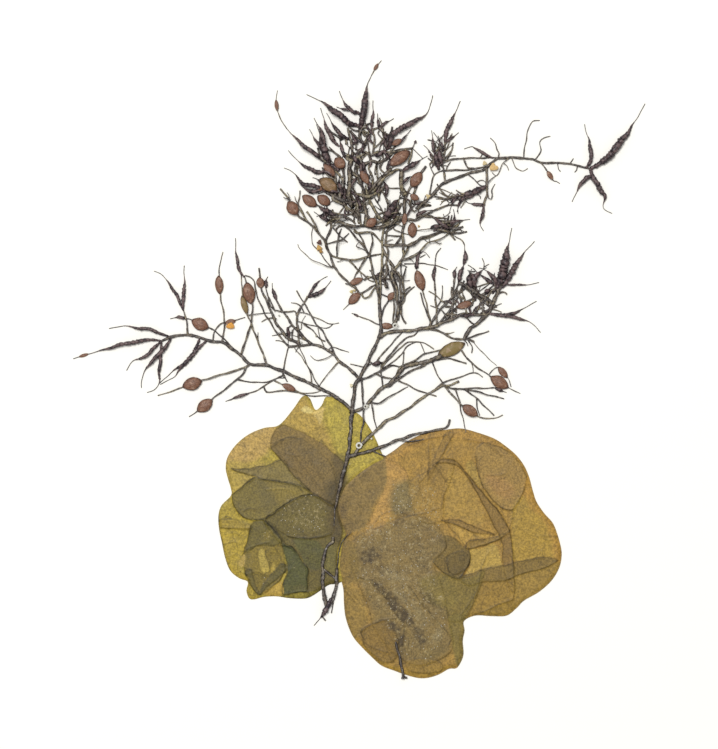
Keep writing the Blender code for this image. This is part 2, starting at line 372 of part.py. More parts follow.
CROWN_PODS = [
    (1.8, (-13, 82.8), (-17, 86), (-20, 88), (-23, 90.5), (-26, 93.5), (-29.5, 97.5), (-31, 100)),
    (1.7, (-11, 80), (-14, 79.5), (-17, 79.3), (-19.5, 80.5), (-22, 82), (-25, 84.3), (-28.3, 88)),
    (3, (-12, 82), (-13.5, 86), (-14.4, 89.5), (-15.4, 93), (-17, 98.5)),
    (1.3, (-15, 88), (-16.5, 91), (-18, 93), (-19.8, 96.5)),
    (1.7, (-13.8, 90), (-14.5, 94), (-16, 97), (-18, 101)),
    (1.8, (-8, 89.6), (-10.3, 92), (-12, 95), (-13.6, 99), (-15.4, 105)),
    (1.7, (-4, 92.5), (-7, 94), (-9, 96), (-10.5, 98.5), (-13, 103)),
    (1.4, (-5.5, 85), (-6.8, 88.4), (-7.6, 91.4), (-8.2, 94.6)),
    (2.6, (0, 98), (-3, 98.4), (-5, 99.4), (-8.5, 102.5), (-12, 105), (-15, 107.5), (-21, 110.4)),
    (1.6, (1, 101.5), (-0.4, 103), (-2.2, 103.2), (-4, 105), (-6, 107), (-7.9, 111.8)),
    (1, (-3.4, 104.2), (-6.5, 104.5), (-9, 105.4)),
    (2.8, (0.6, 96.5), (1.2, 100), (1.8, 103.5), (2.4, 107), (2.6, 110.4), (3.2, 113.4), (4, 116),
     (5.8, 119.7)),
    (1.3, (5, 96), (5.2, 100), (5.7, 102.5), (5.5, 105), (5.6, 108)),
    (1.2, (8, 96.5), (7.6, 100), (7.4, 102.8)),
    (1.2, (8, 96.8), (10.5, 99), (12.3, 99.8), (13.9, 100.8)),
    (2.3, (10.8, 93), (13.5, 94.4), (17, 96.8), (20, 98.4), (23.4, 100.2), (25.4, 101.2), (28, 104.5),
     (29.5, 110)),
    (1, (15.5, 90), (17.5, 92.3), (20.8, 96.3)),
    (2, (17, 79.5), (20, 81.3), (23, 83), (25, 84.5), (27.4, 85.8)),
    (1.8, (-14, 72), (-18, 73.6), (-22, 74.4), (-24, 76), (-25.5, 78.4), (-27.4, 80), (-30, 81)),
    (1.7, (-15.4, 72), (-19.4, 71.6), (-22.6, 73.4), (-23.8, 75.6)),
    (2.6, (10, 60), (12, 63.2), (14.4, 66.6), (16.8, 69.2), (17.6, 70.4)),
    (1.8, (30.5, 60.6), (32.6, 58.9), (35.6, 57), (39.6, 56.8)),
    (1.6, (29, 57.2), (31.5, 57.8), (34, 59.8)),
    (1.5, (32.4, 56.2), (34.6, 58), (36.6, 57)),
    (1.2, (-12.6, 62), (-14.5, 62.4), (-17, 61.6)),
    (1.3, (22.4, 90.9), (22.6, 91.6), (22.7, 92.1)),
    (1.4, (23, 62), (26, 63.6), (29.6, 64.2)),
]
CROWN_VESICLES = [
    (-24.7, 62.1, -28.3, 67.5, 4.8),
    (-17.0, 65.6, -22.6, 70.0, 4.2),
    (-11.5, 66.4, -16.7, 69.8, 4.2),
    (-14.5, 72.0, -17.3, 73.8, 2.0),
    (-8.6, 71.6, -15.8, 76.4, 5.2),
    (-5.8, 80.8, -9.6, 84.8, 4.4),
    (-9.5, 77.5, -14.3, 82.6, 3.0),
    (3.8, 74.2, 0.6, 80.0, 2.9),
    (12.0, 82.0, 20.4, 87.6, 4.8),
    (13.0, 90.0, 17.2, 92.3, 2.4),
    (20.6, 73.3, 25.1, 79.4, 4.4),
    (20.3, 69.9, 24.0, 68.2, 2.6),
    (21.2, 53.0, 21.4, 59.3, 3.8),
    (17.8, 58.0, 18.5, 63.0, 2.2),
    (2.8, 57.4, 7.0, 60.5, 3.6),
    (11.6, 27.9, 13.9, 31.3, 2.6),
    (-3.9, 34.5, 1.6, 36.8, 2.7),
    (-4.2, 26.5, 0.5, 31.2, 3.6),
    (-32.7, 103.6, -33.2, 108.4, 1.6),
    (5.9, 119.9, 7.7, 122.8, 1.4),
]
CROWN_HAIRS = [
    (0.45, 0.3, (-28.9, 96.7), (-31, 100), (-32.7, 103.6), (-33.2, 108.4), (-32.6, 112)),
    (0.45, 0.3, (5.2, 118.4), (6.8, 121.3), (9, 124)),
]
# Where the seeded twigs of the crown may start, and where they fan out from
TWIG_REGION = [(-13, 58), (16, 58), (18, 76), (12, 94), (-12, 92), (-15, 74)]
TWIG_FAN = (4, 46)

# The long arm to the upper right
ARM_STRANDS = [
    (1.3, 0.8, (22.6, 64.6), (25, 66.5), (27.7, 68.6), (29.7, 70.6), (33, 74.4), (35, 75.4), (38, 76.5),
     (41, 77.9), (43, 78.5), (46, 79.3), (50, 80.5), (52, 82), (54.5, 84.3), (56.5, 85), (65, 85),
     (70, 84.2), (72.5, 83.2), (78, 83), (84, 82.7), (90, 81.2), (92.5, 80.8)),
    (0.9, 0.7, (34.3, 75.3), (34.2, 78), (33.8, 80), (33.4, 82.5), (34, 86), (34.4, 90), (34, 92.4)),
    (0.8, 0.6, (32.2, 82.3), (36, 84), (40, 84.8), (46, 84.9), (52, 85.1), (56, 85)),
    (0.9, 0.7, (41.8, 84.6), (42.6, 82.5), (43.6, 81), (46, 80.8)),
    (0.9, 0.6, (33.6, 80), (37, 80), (43, 80.3), (48, 80.9), (52, 82)),
    (0.7, 0.6, (28.2, 69.6), (28.8, 74), (30.2, 78.3), (33.6, 80)),
    (0.6, 0.5, (30, 78.4), (29, 80.3), (28.2, 82.4)),
    (0.8, 0.7, (28.2, 82.4), (30.2, 84.4), (31, 81.8), (32.4, 80.4)),
    (0.8, 0.7, (28.4, 86.2), (29.5, 84.8), (31.2, 86.6), (33, 84), (34.6, 84.6)),
    (0.6, 0.5, (35.2, 81.4), (36.6, 83.4)),
    (0.6, 0.4, (65.8, 85), (66.2, 89), (66.8, 92), (67.8, 97), (69.5, 99.6), (72.3, 100)),
    (0.6, 0.4, (70.3, 84.2), (72, 86.5), (72.8, 88.5), (72.3, 91.5), (74, 93), (76.5, 93.7)),
    (0.6, 0.4, (72.5, 83.2), (74, 81.5), (75.2, 79.8), (77.5, 76), (78.8, 75.7), (80.3, 74.8)),
    (0.5, 0.4, (61, 85), (62.5, 81.5), (63.5, 80.5), (65.5, 79.7), (67.5, 80.8)),
    (0.5, 0.4, (60, 84.9), (57.6, 83), (56.6, 81), (55.8, 79), (54.8, 77.8), (53.2, 79.2)),
    (0.4, 0.35, (57.6, 83), (59.2, 81.6), (59.8, 80)),
    (0.5, 0.4, (79.3, 83), (79.8, 80.5), (80.6, 79.6)),
    (0.5, 0.4, (84.3, 82.7), (85.7, 84.8)),
    (0.5, 0.4, (87.3, 82), (87, 80.2), (86.2, 79.3)),
    (0.7, 0.4, (55.6, 84.8), (55.9, 87), (55.3, 88.2), (54.3, 91), (52.5, 93)),
    (0.5, 0.4, (48, 84.7), (49, 86), (49.4, 87.8)),
    (1.2, 0.9, (51, 81), (51, 77), (51.1, 73), (51, 70), (50, 67), (49.8, 65.2)),
    (0.6, 0.5, (51.4, 71), (51.8, 68.8), (52.8, 68.5), (53.2, 70), (53, 72), (54.4, 74.6)),
    (0.6, 0.5, (43.6, 78.4), (45.5, 77), (47.3, 75), (48.5, 74), (51, 73.4)),
    (0.5, 0.4, (47, 75.2), (48.5, 76), (50, 75.8), (51, 74.6)),
    (0.5, 0.4, (51.4, 75), (53, 76.6), (54.8, 77.9)),
    (0.7, 0.5, (29.4, 69.8), (34, 68.8), (38, 68.2), (42, 68.4)),
    (0.4, 0.35, (35.3, 69.2), (37.2, 71.4)),
    (0.5, 0.4, (46.6, 71.3), (48.5, 69.5), (48.6, 68.6)),
    (0.6, 0.5, (34.6, 68.6), (36.2, 67)),
    (1.1, 0.9, (25.6, 66.8), (27, 66.5), (28.6, 66)),
]
ARM_PODS = [
    (2.8, (92.5, 80.8), (95, 82), (98, 84), (100.5, 86), (102.5, 89), (105, 92), (107, 94.5),
     (111.5, 101.5), (114.4, 106.7)),
    (1.7, (90.7, 81), (92.5, 83.5), (92.6, 86), (92.1, 91.5), (91, 94.5), (90.2, 98.5)),
    (1.8, (92, 81), (93, 78), (91, 77), (89.5, 75.5), (88.3, 74), (85.2, 67.5)),
    (2.2, (92.5, 81), (93.5, 77), (95, 74.5), (97, 71.5), (98.2, 69.5), (97.8, 65), (101.2, 62.8)),
    (1.3, (53.4, 85), (49.5, 86.8), (46, 89.2), (45, 89.6), (42, 88.6)),
    (2.6, (51, 73.6), (48, 72.2), (45, 71), (41, 69.8), (37.6, 69.2), (35, 69)),
    (1.4, (45.8, 70.2), (42.6, 68.9), (39, 68.4), (36.4, 68)),
    (1.4, (50.2, 66.2), (47, 66.4), (44, 66.9), (42.4, 67.8)),
    (1.4, (49.8, 66), (49.6, 63.6), (49.2, 61.8), (48.5, 59.6), (48.6, 58), (49.8, 55.8)),
    (2, (31.8, 80.6), (31, 84), (30.4, 87), (30.8, 90.2)),
    (2, (33.2, 82.4), (32.2, 86), (32.4, 89), (32.8, 91)),
    (1.3, (30.2, 86.6), (29.6, 89.5), (29.5, 92), (29, 96)),
    (1.8, (34.2, 91), (34.7, 94), (35.2, 96.2), (36.3, 98.6), (37.4, 100.8), (38.6, 103.4), (40.5, 107.8)),
    (1.2, (34.4, 91.2), (36.5, 92.6), (38, 93.6), (39.9, 95.2)),
]
ARM_VESICLES = [
    (75.1, 79.8, 77.4, 76.2, 2.0),
]

# The frond to the right, with the strands below it
RIGHT_STRANDS = [
    (1.5, 1.1, (8, 13.3), (11, 15), (14, 15.6), (18, 15.8), (22, 16.2), (26, 16.8), (30, 17.8), (34, 19.3),
     (38, 21), (41, 22.3), (46, 22.5), (50, 22.3), (52, 23), (53.5, 26.5), (55.3, 31), (57, 34)),
    (1.0, 0.8, (25, 16.6), (30, 16.3), (34, 15), (37, 12.8), (43, 12.5), (46, 11.5)),
    (1.5, 1.6, (42, 12.5), (44, 16.4), (47, 18.6), (49.6, 21), (51.8, 23)),
    (0.7, 0.6, (43, 12.7), (47, 14.2), (50, 15), (52, 15.8)),
    (0.6, 0.5, (43.6, 12), (45.3, 9.5), (45, 7)),
    (0.4, 0.35, (46, 11), (50, 6.5), (55, 2)),
    (0.9, 0.5, (28, 17.3), (28, 22), (26.5, 27), (25.5, 32), (23, 40), (24, 46), (26.3, 46.6), (28.3, 45)),
    (0.6, 0.5, (29.5, 17.6), (29, 22), (26, 31)),
    (0.6, 0.5, (24, 43), (20, 42.6)),
    (0.6, 0.5, (24, 42.8), (26, 42.5), (30, 41.8), (35.5, 40.4)),
    (0.9, 0.6, (31, 18), (30.5, 27), (30, 33), (29.8, 38), (30.6, 45), (31.3, 47), (32.7, 48.6)),
    (0.7, 0.5, (30.3, 24), (31.5, 25.5), (33.2, 31), (33.5, 34)),
    (0.6, 0.5, (37.4, 26), (35, 27), (31, 29.5), (27.7, 31.8)),
    (1.0, 0.7, (37, 20.6), (37.3, 27), (37.4, 31), (37.8, 35), (38, 39), (39, 41.3)),
    (1.2, 0.5, (37.4, 27), (37.8, 30.5), (39, 33), (40, 36), (40.5, 39.5), (42.3, 43.5), (42.3, 48),
     (42.2, 50.8), (41, 52.2), (39, 52.8)),
    (1.0, 0.7, (28, 17.4), (32, 24), (36, 28), (40, 31), (44, 34), (45, 36)),
    (1.0, 0.7, (31, 17.8), (37, 25), (41, 33), (42, 36)),
    (0.8, 0.6, (42, 22.4), (45, 19), (47, 18.6)),
    (1.0, 0.8, (34, 19.3), (40, 26), (46, 29), (51, 31), (56, 33)),
    (0.8, 0.6, (43, 22.4), (42, 28), (41, 33)),
    (0.9, 0.7, (50, 22.5), (49, 27), (47, 32), (45, 36), (44, 40)),
    (0.7, 0.6, (53.4, 26.2), (49, 30), (46, 33)),
    (0.7, 0.5, (36, 20), (33, 24), (28.5, 26)),
    (0.7, 0.5, (53, 26), (56.5, 26.2)),
    (0.9, 0.7, (56, 32.5), (58, 31.3), (59.2, 30.7)),
    (0.7, 0.5, (56.8, 34), (59.5, 36)),
    (0.8, 0.6, (6.4, 2), (8, 5), (12, 9.5), (16, 14), (18, 15.8)),
    (0.8, 0.6, (9.4, 3), (13, 7), (18, 12.5), (22, 14), (24, 16.4)),
    (0.7, 0.5, (9.2, 1.6), (17.5, 10), (22, 11.5), (26, 11), (30, 8.5)),
    (0.7, 0.5, (9.4, 1), (13, 3), (17, 6.5), (19, 9.5), (23, 11.5)),
    (0.5, 0.4, (24.5, 11.2), (26.5, 6.5)),
    (0.9, 0.7, (0.4, -3.6), (4, -2.5), (7, -1), (10, 0.5), (13, 2), (17, 1.2)),
    (0.8, 0.6, (6.6, -1.2), (10, -2.7), (13, -3.3), (16, -4), (22, -7.2), (26, -8.7), (31, -10.3)),
    (1.3, 1.8, (-3.4, -16.8), (0.5, -15.5), (3, -14), (4.5, -12), (9.5, -6.7), (12, -5.3), (14.5, -3),
     (17, 0.5), (20, 2), (24, 3), (28, 3.8), (31, 5), (33, 6)),
    (1.0, 0.7, (10, -6.3), (12, -6.3), (15, -3.8), (22, 0.5), (26, 2), (30, 4), (35, 4.8), (39, 4),
     (43, 2.8)),
    (0.8, 0.6, (14, -3.5), (16, 0.5), (17.5, 2), (22, 4), (26, 6.5), (29, 7.5), (32, 8), (37, 9)),
    (0.6, 0.5, (17.3, 1.2), (18, 7.5)),
    (0.8, 0.6, (9, 1.5), (8.7, -1), (9.3, -4), (9.5, -6.7)),
    (0.8, 0.5, (4, -12.6), (8, -13), (12, -10.5), (19.5, -6.5)),
    (0.8, 0.5, (5, -13), (6, -19), (7, -23)),
    (0.9, 0.7, (1, -3.3), (1.3, -8), (1.7, -14.8), (1.8, -20), (1, -24), (0.4, -30)),
    (1.5, 0.9, (-5, -34.6), (0, -33.2), (5, -32), (10, -30), (15, -28), (20, -26.2), (25, -25), (30, -24),
     (35, -22.7), (36.3, -19.5)),
    (1.4, 0.9, (-1.6, -33.6), (-0.5, -31.5), (2, -28.5), (5, -25.5), (10, -21), (12, -19.5), (17, -17),
     (27, -9.8), (30, -8), (33.5, -6), (36, -6), (40, -4.2)),
    (0.8, 0.5, (28, -9.2), (31, -7), (33.5, -5), (38, -3.3), (42, -2), (46.5, -0.9), (49.5, -2.7)),
    (0.9, 0.5, (33.5, -5.6), (36, -8.3), (38.5, -11.3), (40.8, -13.5), (47.5, -18.2), (53.5, -19.2),
     (57.5, -17.8)),
    (0.7, 0.6, (29, 4), (31, -1), (33.5, -5)),
    (0.8, 0.5, (34.5, -6.2), (37.5, -7.3), (42, -7.2), (50, -7), (55, -7), (57.5, -8.3)),
    (0.8, 0.6, (38, -7.3), (42, -7.6), (44.5, -9), (50, -14), (54, -18)),
    (0.7, 0.6, (43.5, -7.8), (48, -8.6), (51, -9.5), (58, -11.3)),
    (0.6, 0.5, (47, -11.5), (47.2, -14.5), (48.3, -18)),
    (0.7, 0.4, (38.5, -7.5), (40, -12), (41, -17), (42.8, -24.8)),
    (0.8, 0.4, (41, 8), (44, 4), (48, 0.8), (52, -2), (59.6, -6.8), (64.5, -9.2)),
    (0.5, 0.4, (53, -0.2), (56, 1.2), (59.5, -3), (60.8, -6.5)),
    (0.8, 0.5, (16, -27.7), (21, -28.3), (26, -27.5)),
    (0.7, 0.5, (5, -32), (7.5, -33), (10.5, -34.3)),
]
RIGHT_PODS = [
    (1.7, (29.9, 34), (29.8, 38), (30.3, 42), (30.7, 45.5)),
    (1.4, (37.2, 26), (37.4, 31), (38, 39), (39, 41.3)),
    (2.2, (41, 33), (43.5, 37), (44.5, 40.5)),
    (2.2, (42, 35.5), (45, 38), (46.5, 40.2)),
    (1.8, (45, 35.5), (47, 38.5), (49.5, 40.5), (50.2, 44), (49.2, 45)),
    (1.6, (56, 33.5), (54, 35.8), (52, 38.5), (49.5, 41), (47, 41.6)),
    (1.4, (55.8, 33), (54.5, 34.5), (51, 36.8), (47.5, 39.3), (44, 42.3)),
    (2.8, (56.2, 33), (57.3, 37), (57.8, 40), (58.7, 45.5), (60, 52), (61, 58)),
    (2.3, (57, 34), (61, 39), (63, 42.5), (65.5, 46.5), (67, 48.5), (70.2, 51.7)),
    (1.1, (57, 34), (63, 34.3), (70, 34.5), (72, 35.2)),
    (1.3, (52, 22.9), (56, 22.4), (60, 22.5), (63, 23.2), (66, 25), (71, 27.7)),
    (1.5, (52, 22.7), (58, 21.8), (62, 21.5), (65, 20.3), (69, 19), (72.6, 15.2)),
    (1.9, (5.8, 2.6), (8, 3), (10.6, 3.6)),
    (1.5, (54.5, -7), (57.5, -8.3), (59, -8.8)),
]
RIGHT_VESICLES = [
    (25.6, 31.8, 23.0, 40.2, 4.2),
    (39.0, 25.2, 45.2, 27.2, 3.0),
    (31.4, 6.0, 42.4, 11.0, 5.2),
    (52.5, -2.4, 59.7, -6.9, 4.8),
    (55.6, 1.5, 59.4, -3.0, 2.8),
    (41.2, -13.9, 47.4, -18.1, 4.3),
]

# Rings of white tube worm: centre, outer diameter, height of the underside
WORMS = [
    (0.0, -30.0, 3.0, 5.0),
    (14.4, 17.9, 2.4, 2.3),
    (2.6, -14.4, 2.0, 4.3),
]
# Thin orange crusts: underside height, then three corners
CRUSTS = [
    (1.3, (-53.2, 17.2), (-49.6, 17.0), (-51.0, 19.4)),
    (1.7, (52.0, 80.0), (56.2, 80.6), (53.4, 83.4)),
]

# Colour as linear red, green, blue, then roughness
PAINT = {
    "left_bladder": ((0.31, 0.25, 0.075), 0.55),
    "right_bladder": ((0.36, 0.22, 0.085), 0.55),
    "strand": ((0.066, 0.056, 0.046), 0.6),
    "worm": ((0.78, 0.76, 0.70), 0.45),
    "crust": ((0.75, 0.42, 0.10), 0.8),
}


def clear_scene():
    for item in list(bpy.data.objects):
        bpy.data.objects.remove(item)


def material(name):
    colour, roughness = PAINT[name]
    made = bpy.data.materials.new(name)
    made.use_nodes = True
    shader = made.node_tree.nodes["Principled BSDF"]
    shader.inputs["Base Color"].default_value = (*colour, 1.0)
    shader.inputs["Roughness"].default_value = roughness
    shader.inputs["Metallic"].default_value = 0.0
    return made


def face_outwards(shell):
    """Turns the faces of a closed surface to the outside."""
    bmesh.ops.recalc_face_normals(shell, faces=shell.faces)
    if shell.calc_volume(signed=True) < 0:
        bmesh.ops.reverse_faces(shell, faces=shell.faces)


def mesh_object(name, points, faces):
    """An object in metres from points in millimetres, its faces turned to the outside."""
    mesh = bpy.data.meshes.new(name)
    mesh.from_pydata([Vector(p) * MM for p in points], [], faces)
    shell = bmesh.new()
    shell.from_mesh(mesh)
    face_outwards(shell)
    shell.to_mesh(mesh)
    shell.free()
    return bpy.data.objects.new(name, mesh)


def smooth_route(points, step, closed=False):
    """Points about a step apart on a Catmull-Rom curve through the route's own points."""
    count = len(points)
    spans = count if closed else count - 1
    route = []
    for i in range(spans):
        if closed:
            around = [points[(i + k) % count] for k in (-1, 0, 1, 2)]
        else:
            around = [points[min(max(i + k, 0), count - 1)] for k in (-1, 0, 1, 2)]
        a, b, c, d = (Vector(p) for p in around)
        pieces = max(1, round((c - b).length / step))
        for k in range(pieces):
            t = k / pieces
            route.append(0.5 * (2 * b + (c - a) * t + (2 * a - 5 * b + 4 * c - d) * t ** 2
                                + (3 * b - a - 3 * c + d) * t ** 3))
    if not closed:
        route.append(Vector(points[-1]))
    return route


def thinned(points, tolerance):
    """The route without the points that lie within the tolerance of a straight run, also in height."""
    first, last = (Vector((*end, underside(end))) for end in (points[0], points[-1]))
    farthest, at = 0.0, 0
    for i in range(1, len(points) - 1):
        spot = Vector((*points[i], underside(points[i])))
        away = (spot - geometry.intersect_point_line(spot, first, last)[0]).length
        if away > farthest:
            farthest, at = away, i
    if farthest <= tolerance:
        return [points[0], points[-1]]
    return thinned(points[: at + 1], tolerance)[:-1] + thinned(points[at:], tolerance)


def inside(point, outline):
    """Whether the point lies within the closed outline."""
    x, y = point[0], point[1]
    within = False
    for (x0, y0), (x1, y1) in zip(outline, outline[1:] + outline[:1]):
        if (y0 > y) != (y1 > y) and x < x0 + (y - y0) * (x1 - x0) / (y1 - y0):
            within = not within
    return within


def foot_on(spot, a, b):
    """The point of the run from a to b that is nearest to the spot."""
    start, run = Vector(a), Vector(b) - Vector(a)
    share = (spot - start).dot(run) / max(run.length_squared, 1e-9)
    return start + run * min(max(share, 0.0), 1.0)


def distance_to(point, route, closed):
    """Distance from the point to the nearest run of the route."""
    ends = route[1:] + route[:1] if closed else route[1:]
    spot = Vector((point[0], point[1]))
    return min((spot - foot_on(spot, a, b)).length for a, b in zip(route, ends))


def eased(value):
    value = min(max(value, 0.0), 1.0)
    return value * value * (3 - 2 * value)


def underside(point):
    """Height of what a strand lies on: the table, or a bladder with a slope beside it."""
    away = DESCENT
    for outline in (LEFT_OUTLINE, RIGHT_OUTLINE):
        away = min(away, 0.0 if inside(point, outline) else distance_to(point, outline, True))
    rise = 1.0 - eased((away - DESCENT_START) / (DESCENT - DESCENT_START))
    return FLOOR_CLEARANCE + (OVER_BLADDER - FLOOR_CLEARANCE) * rise


def tube(name, route, radii, sides, turn, extra=0.0):
    """A closed tube with one ring at each point of a flat route, laid on what is under it."""
    points, faces = [], []
    last = len(route) - 1
    for i, spot in enumerate(route):
        ahead = (route[min(i + 1, last)] - route[max(i - 1, 0)]).normalized()
        across = Vector((-ahead.y, ahead.x))
        height = underside(spot) + max(radii[i], LEAST_RISE)
        for k in range(sides):
            angle = turn + 2 * math.pi * k / sides
            flat = spot + across * math.cos(angle) * (radii[i] + extra)
            points.append((flat.x, flat.y, height + math.sin(angle) * (radii[i] + extra)))
    for i in range(last):
        for k in range(sides):
            a, b = i * sides + k, i * sides + (k + 1) % sides
            faces.append((a, b, b + sides, a + sides))
    faces.append(tuple(range(sides)))
    faces.append(tuple(last * sides + k for k in reversed(range(sides))))
    return mesh_object(name, points, faces)


def strand(row, turn, extra=0.0):
    """A tapering strand. With extra, it is fattened into a cutter."""
    first, final = row[0] / 2, row[1] / 2
    route = thinned(smooth_route(row[2:], ROUTE_STEP), ROUTE_TOLERANCE)
    if extra:
        route[0] = route[0] + (route[0] - route[1]).normalized() * extra
        route[-1] = route[-1] + (route[-1] - route[-2]).normalized() * extra
    count = len(route) - 1
    radii = [max(first + (final - first) * i / count, LEAST_RADIUS) for i in range(count + 1)]
    sides = 3
    if extra:
        sides = CUTTER_SIDES
    elif row[0] >= FOUR_SIDES_FROM:
        sides = 4
    return tube("strand", route, radii, sides, turn, extra)


def pod(row, turn):
    """A receptacle: a string of swellings that tapers to both ends, the far one hair-thin."""
    route = smooth_route(row[1:], POD_BEAD / 2)
    count = len(route) - 1
    radii = []
    for i in range(count + 1):
        share = i / count
        swelling = min(1.0, 0.5 + 0.5 * share / POD_SWELLS_BY)
        thinning = eased((POD_HAIR_FROM - share) / (POD_HAIR_FROM - POD_THINS_FROM))
        bead = 1.0 if i % 2 else POD_WAIST
        radii.append(max(row[0] / 2 * swelling * thinning * bead, LEAST_RADIUS))
    return tube("pod", route, radii, POD_SIDES, turn)


def vesicle(row):
    """A flattened gas vesicle, pointed a little at both ends."""
    x0, y0, x1, y1, width = row
    centre = Vector(((x0 + x1) / 2, (y0 + y1) / 2))
    along = Vector((x1 - x0, y1 - y0))
    half = along.length / 2
    along.normalize()
    across = Vector((-along.y, along.x))
    high = max(width / 2 * VESICLE_FLATNESS, VESICLE_LEAST_RISE)
    height = underside(centre) + high
    points = [(centre.x - along.x * half, centre.y - along.y * half, height)]
    for ring in VESICLE_RINGS:
        girth = (1 - ring * ring) ** VESICLE_BLUNTNESS
        for k in range(VESICLE_SIDES):
            angle = 2 * math.pi * k / VESICLE_SIDES
            flat = centre + along * ring * half + across * math.cos(angle) * girth * width / 2
            points.append((flat.x, flat.y, height + math.sin(angle) * girth * high))
    points.append((centre.x + along.x * half, centre.y + along.y * half, height))
    faces = []
    end = len(points) - 1
    for k in range(VESICLE_SIDES):
        after = (k + 1) % VESICLE_SIDES
        faces.append((0, 1 + after, 1 + k))
        faces.append((end, end - VESICLE_SIDES + k, end - VESICLE_SIDES + after))
        for ring in range(len(VESICLE_RINGS) - 1):
            a, b = 1 + ring * VESICLE_SIDES + k, 1 + ring * VESICLE_SIDES + after
            faces.append((a, b, b + VESICLE_SIDES, a + VESICLE_SIDES))
    return mesh_object("vesicle", points, faces)


def crown_twigs():
    """Routes of small twigs that fan upward through the crown, drawn with a fixed seed."""
    draw = random.Random(SEED)
    low = [min(p[k] for p in TWIG_REGION) for k in (0, 1)]
    high = [max(p[k] for p in TWIG_REGION) for k in (0, 1)]
    rows = []
    while len(rows) < TWIG_COUNT:
        start = Vector((draw.uniform(low[0], high[0]), draw.uniform(low[1], high[1])))
        if not inside(start, TWIG_REGION):
            continue
        heading = (start - Vector(TWIG_FAN)).angle_signed(Vector((1, 0))) + draw.gauss(0, TWIG_SPREAD)
        bend = draw.uniform(-TWIG_BEND, TWIG_BEND)
        step = draw.uniform(*TWIG_STEPS)
        route = [start]
        for _ in range(TWIG_RUNS):
            route.append(route[-1] + Vector((math.cos(heading), math.sin(heading))) * step)
            heading += bend
        rows.append((draw.uniform(*TWIG_WIDTHS), *[tuple(p) for p in route]))
    return rows


def rooted(route, grown):
    """The route with its root led to the nearest strand that is there already."""
    start = Vector(route[0])
    feet = [foot_on(start, a, b) for other in grown for a, b in zip(other, other[1:])]
    if not feet:
        return route
    foot = min(feet, key=lambda spot: (spot - start).length)
    if not ROOT_NEAR < (foot - start).length < ROOT_REACH:
        return route
    return (tuple(foot), *route)


def evaluated_mesh(item):
    """The object's mesh with its modifiers carried out."""
    seen = item.evaluated_get(bpy.context.evaluated_depsgraph_get())
    return bpy.data.meshes.new_from_object(seen)


def combined(item, others, operation):
    """The object joined with, or cut by, all the others at once; the others are removed."""
    group = bpy.data.collections.new("shapes")
    bpy.context.scene.collection.children.link(group)
    for other in others:
        group.objects.link(other)
    bpy.context.scene.collection.objects.link(item)
    change = item.modifiers.new("shapes", "BOOLEAN")
    change.operation = operation
    change.operand_type = "COLLECTION"
    change.collection = group
    change.solver = "MANIFOLD"
    mesh = evaluated_mesh(item)
    for other in others:
        bpy.data.objects.remove(other)
    bpy.data.collections.remove(group)
    bpy.data.objects.remove(item)
    return bpy.data.objects.new("shape", mesh)


def mend(body):
    """Triangulates the surface and closes up the short edges along which it touches itself."""
    for _ in range(MENDING_ROUNDS):
        bmesh.ops.triangulate(body, faces=body.faces)
        touching = [edge for edge in body.edges if len(edge.link_faces) > 2]
        if not touching:
            return
        bmesh.ops.collapse(body, edges=touching)
        corners = {}
        for face in body.faces:
            corners.setdefault(frozenset(vert.index for vert in face.verts), []).append(face)
        paired = [face for faces in corners.values() if len(faces) > 1 for face in faces]
        bmesh.ops.delete(body, geom=paired, context="FACES")
        body.verts.index_update()


def connected(first, seen):
    """The faces that can be reached from the first over edges of two faces, all marked as seen."""
    island, front = [], [first]
    seen.add(first.index)
    while front:
        face = front.pop()
        island.append(face)
        for edge in face.edges:
            if len(edge.link_faces) != 2:
                continue
            for other in edge.link_faces:
                if other.index not in seen:
                    seen.add(other.index)
                    front.append(other)
    return island


def largest_body(item):
    """The object without loose scraps and without closed voids inside it."""
    body = bmesh.new()
    body.from_mesh(item.data)
    mend(body)
    seen, bodies = set(), []
    for face in body.faces:
        if face.index not in seen:
            bodies.append(connected(face, seen))
    bodies.sort(key=len, reverse=True)
    spare = [face for island in bodies[1:] for face in island]
    bmesh.ops.delete(body, geom=spare, context="FACES")
    loose = [vert for vert in body.verts if not vert.link_faces]
    bmesh.ops.delete(body, geom=loose, context="VERTS")
    body.to_mesh(item.data)
    body.free()
    return item


def slimmed(item):
    """The object with fewer and larger triangles."""
    bpy.context.scene.collection.objects.link(item)
    item.modifiers.new("slim", "DECIMATE").ratio = KEPT_SHARE
    item.data = evaluated_mesh(item)
    item.modifiers.clear()
    bpy.context.scene.collection.objects.unlink(item)
    return largest_body(item)


def grown(name, strands, pods, vesicles, neighbours=()):
    """One fused frond, cut clear of the strands of its neighbours."""
    draw = random.Random(SEED + len(strands))
    routes, shapes = [], []
    for row in strands:
        route = rooted(row[2:], routes)
        routes.append(route)
        shapes.append(strand((row[0], row[1], *route), draw.uniform(0, MOST_TURN)))
    for row in pods:
        route = rooted(row[1:], routes)
        routes.append(route)
        shapes.append(pod((row[0], *route), draw.uniform(0, MOST_TURN)))
    shapes += [vesicle(row) for row in vesicles]
    joined = largest_body(combined(shapes[0], shapes[1:], "UNION"))
    if len(joined.data.polygons) > SLIMMED_FROM:
        joined = slimmed(joined)
    cutters = [strand(row, CUTTER_TURN, extra=GAP) for row in neighbours]
    if cutters:
        joined = largest_body(combined(joined, cutters, "DIFFERENCE"))
    return finished(joined, name, "strand")


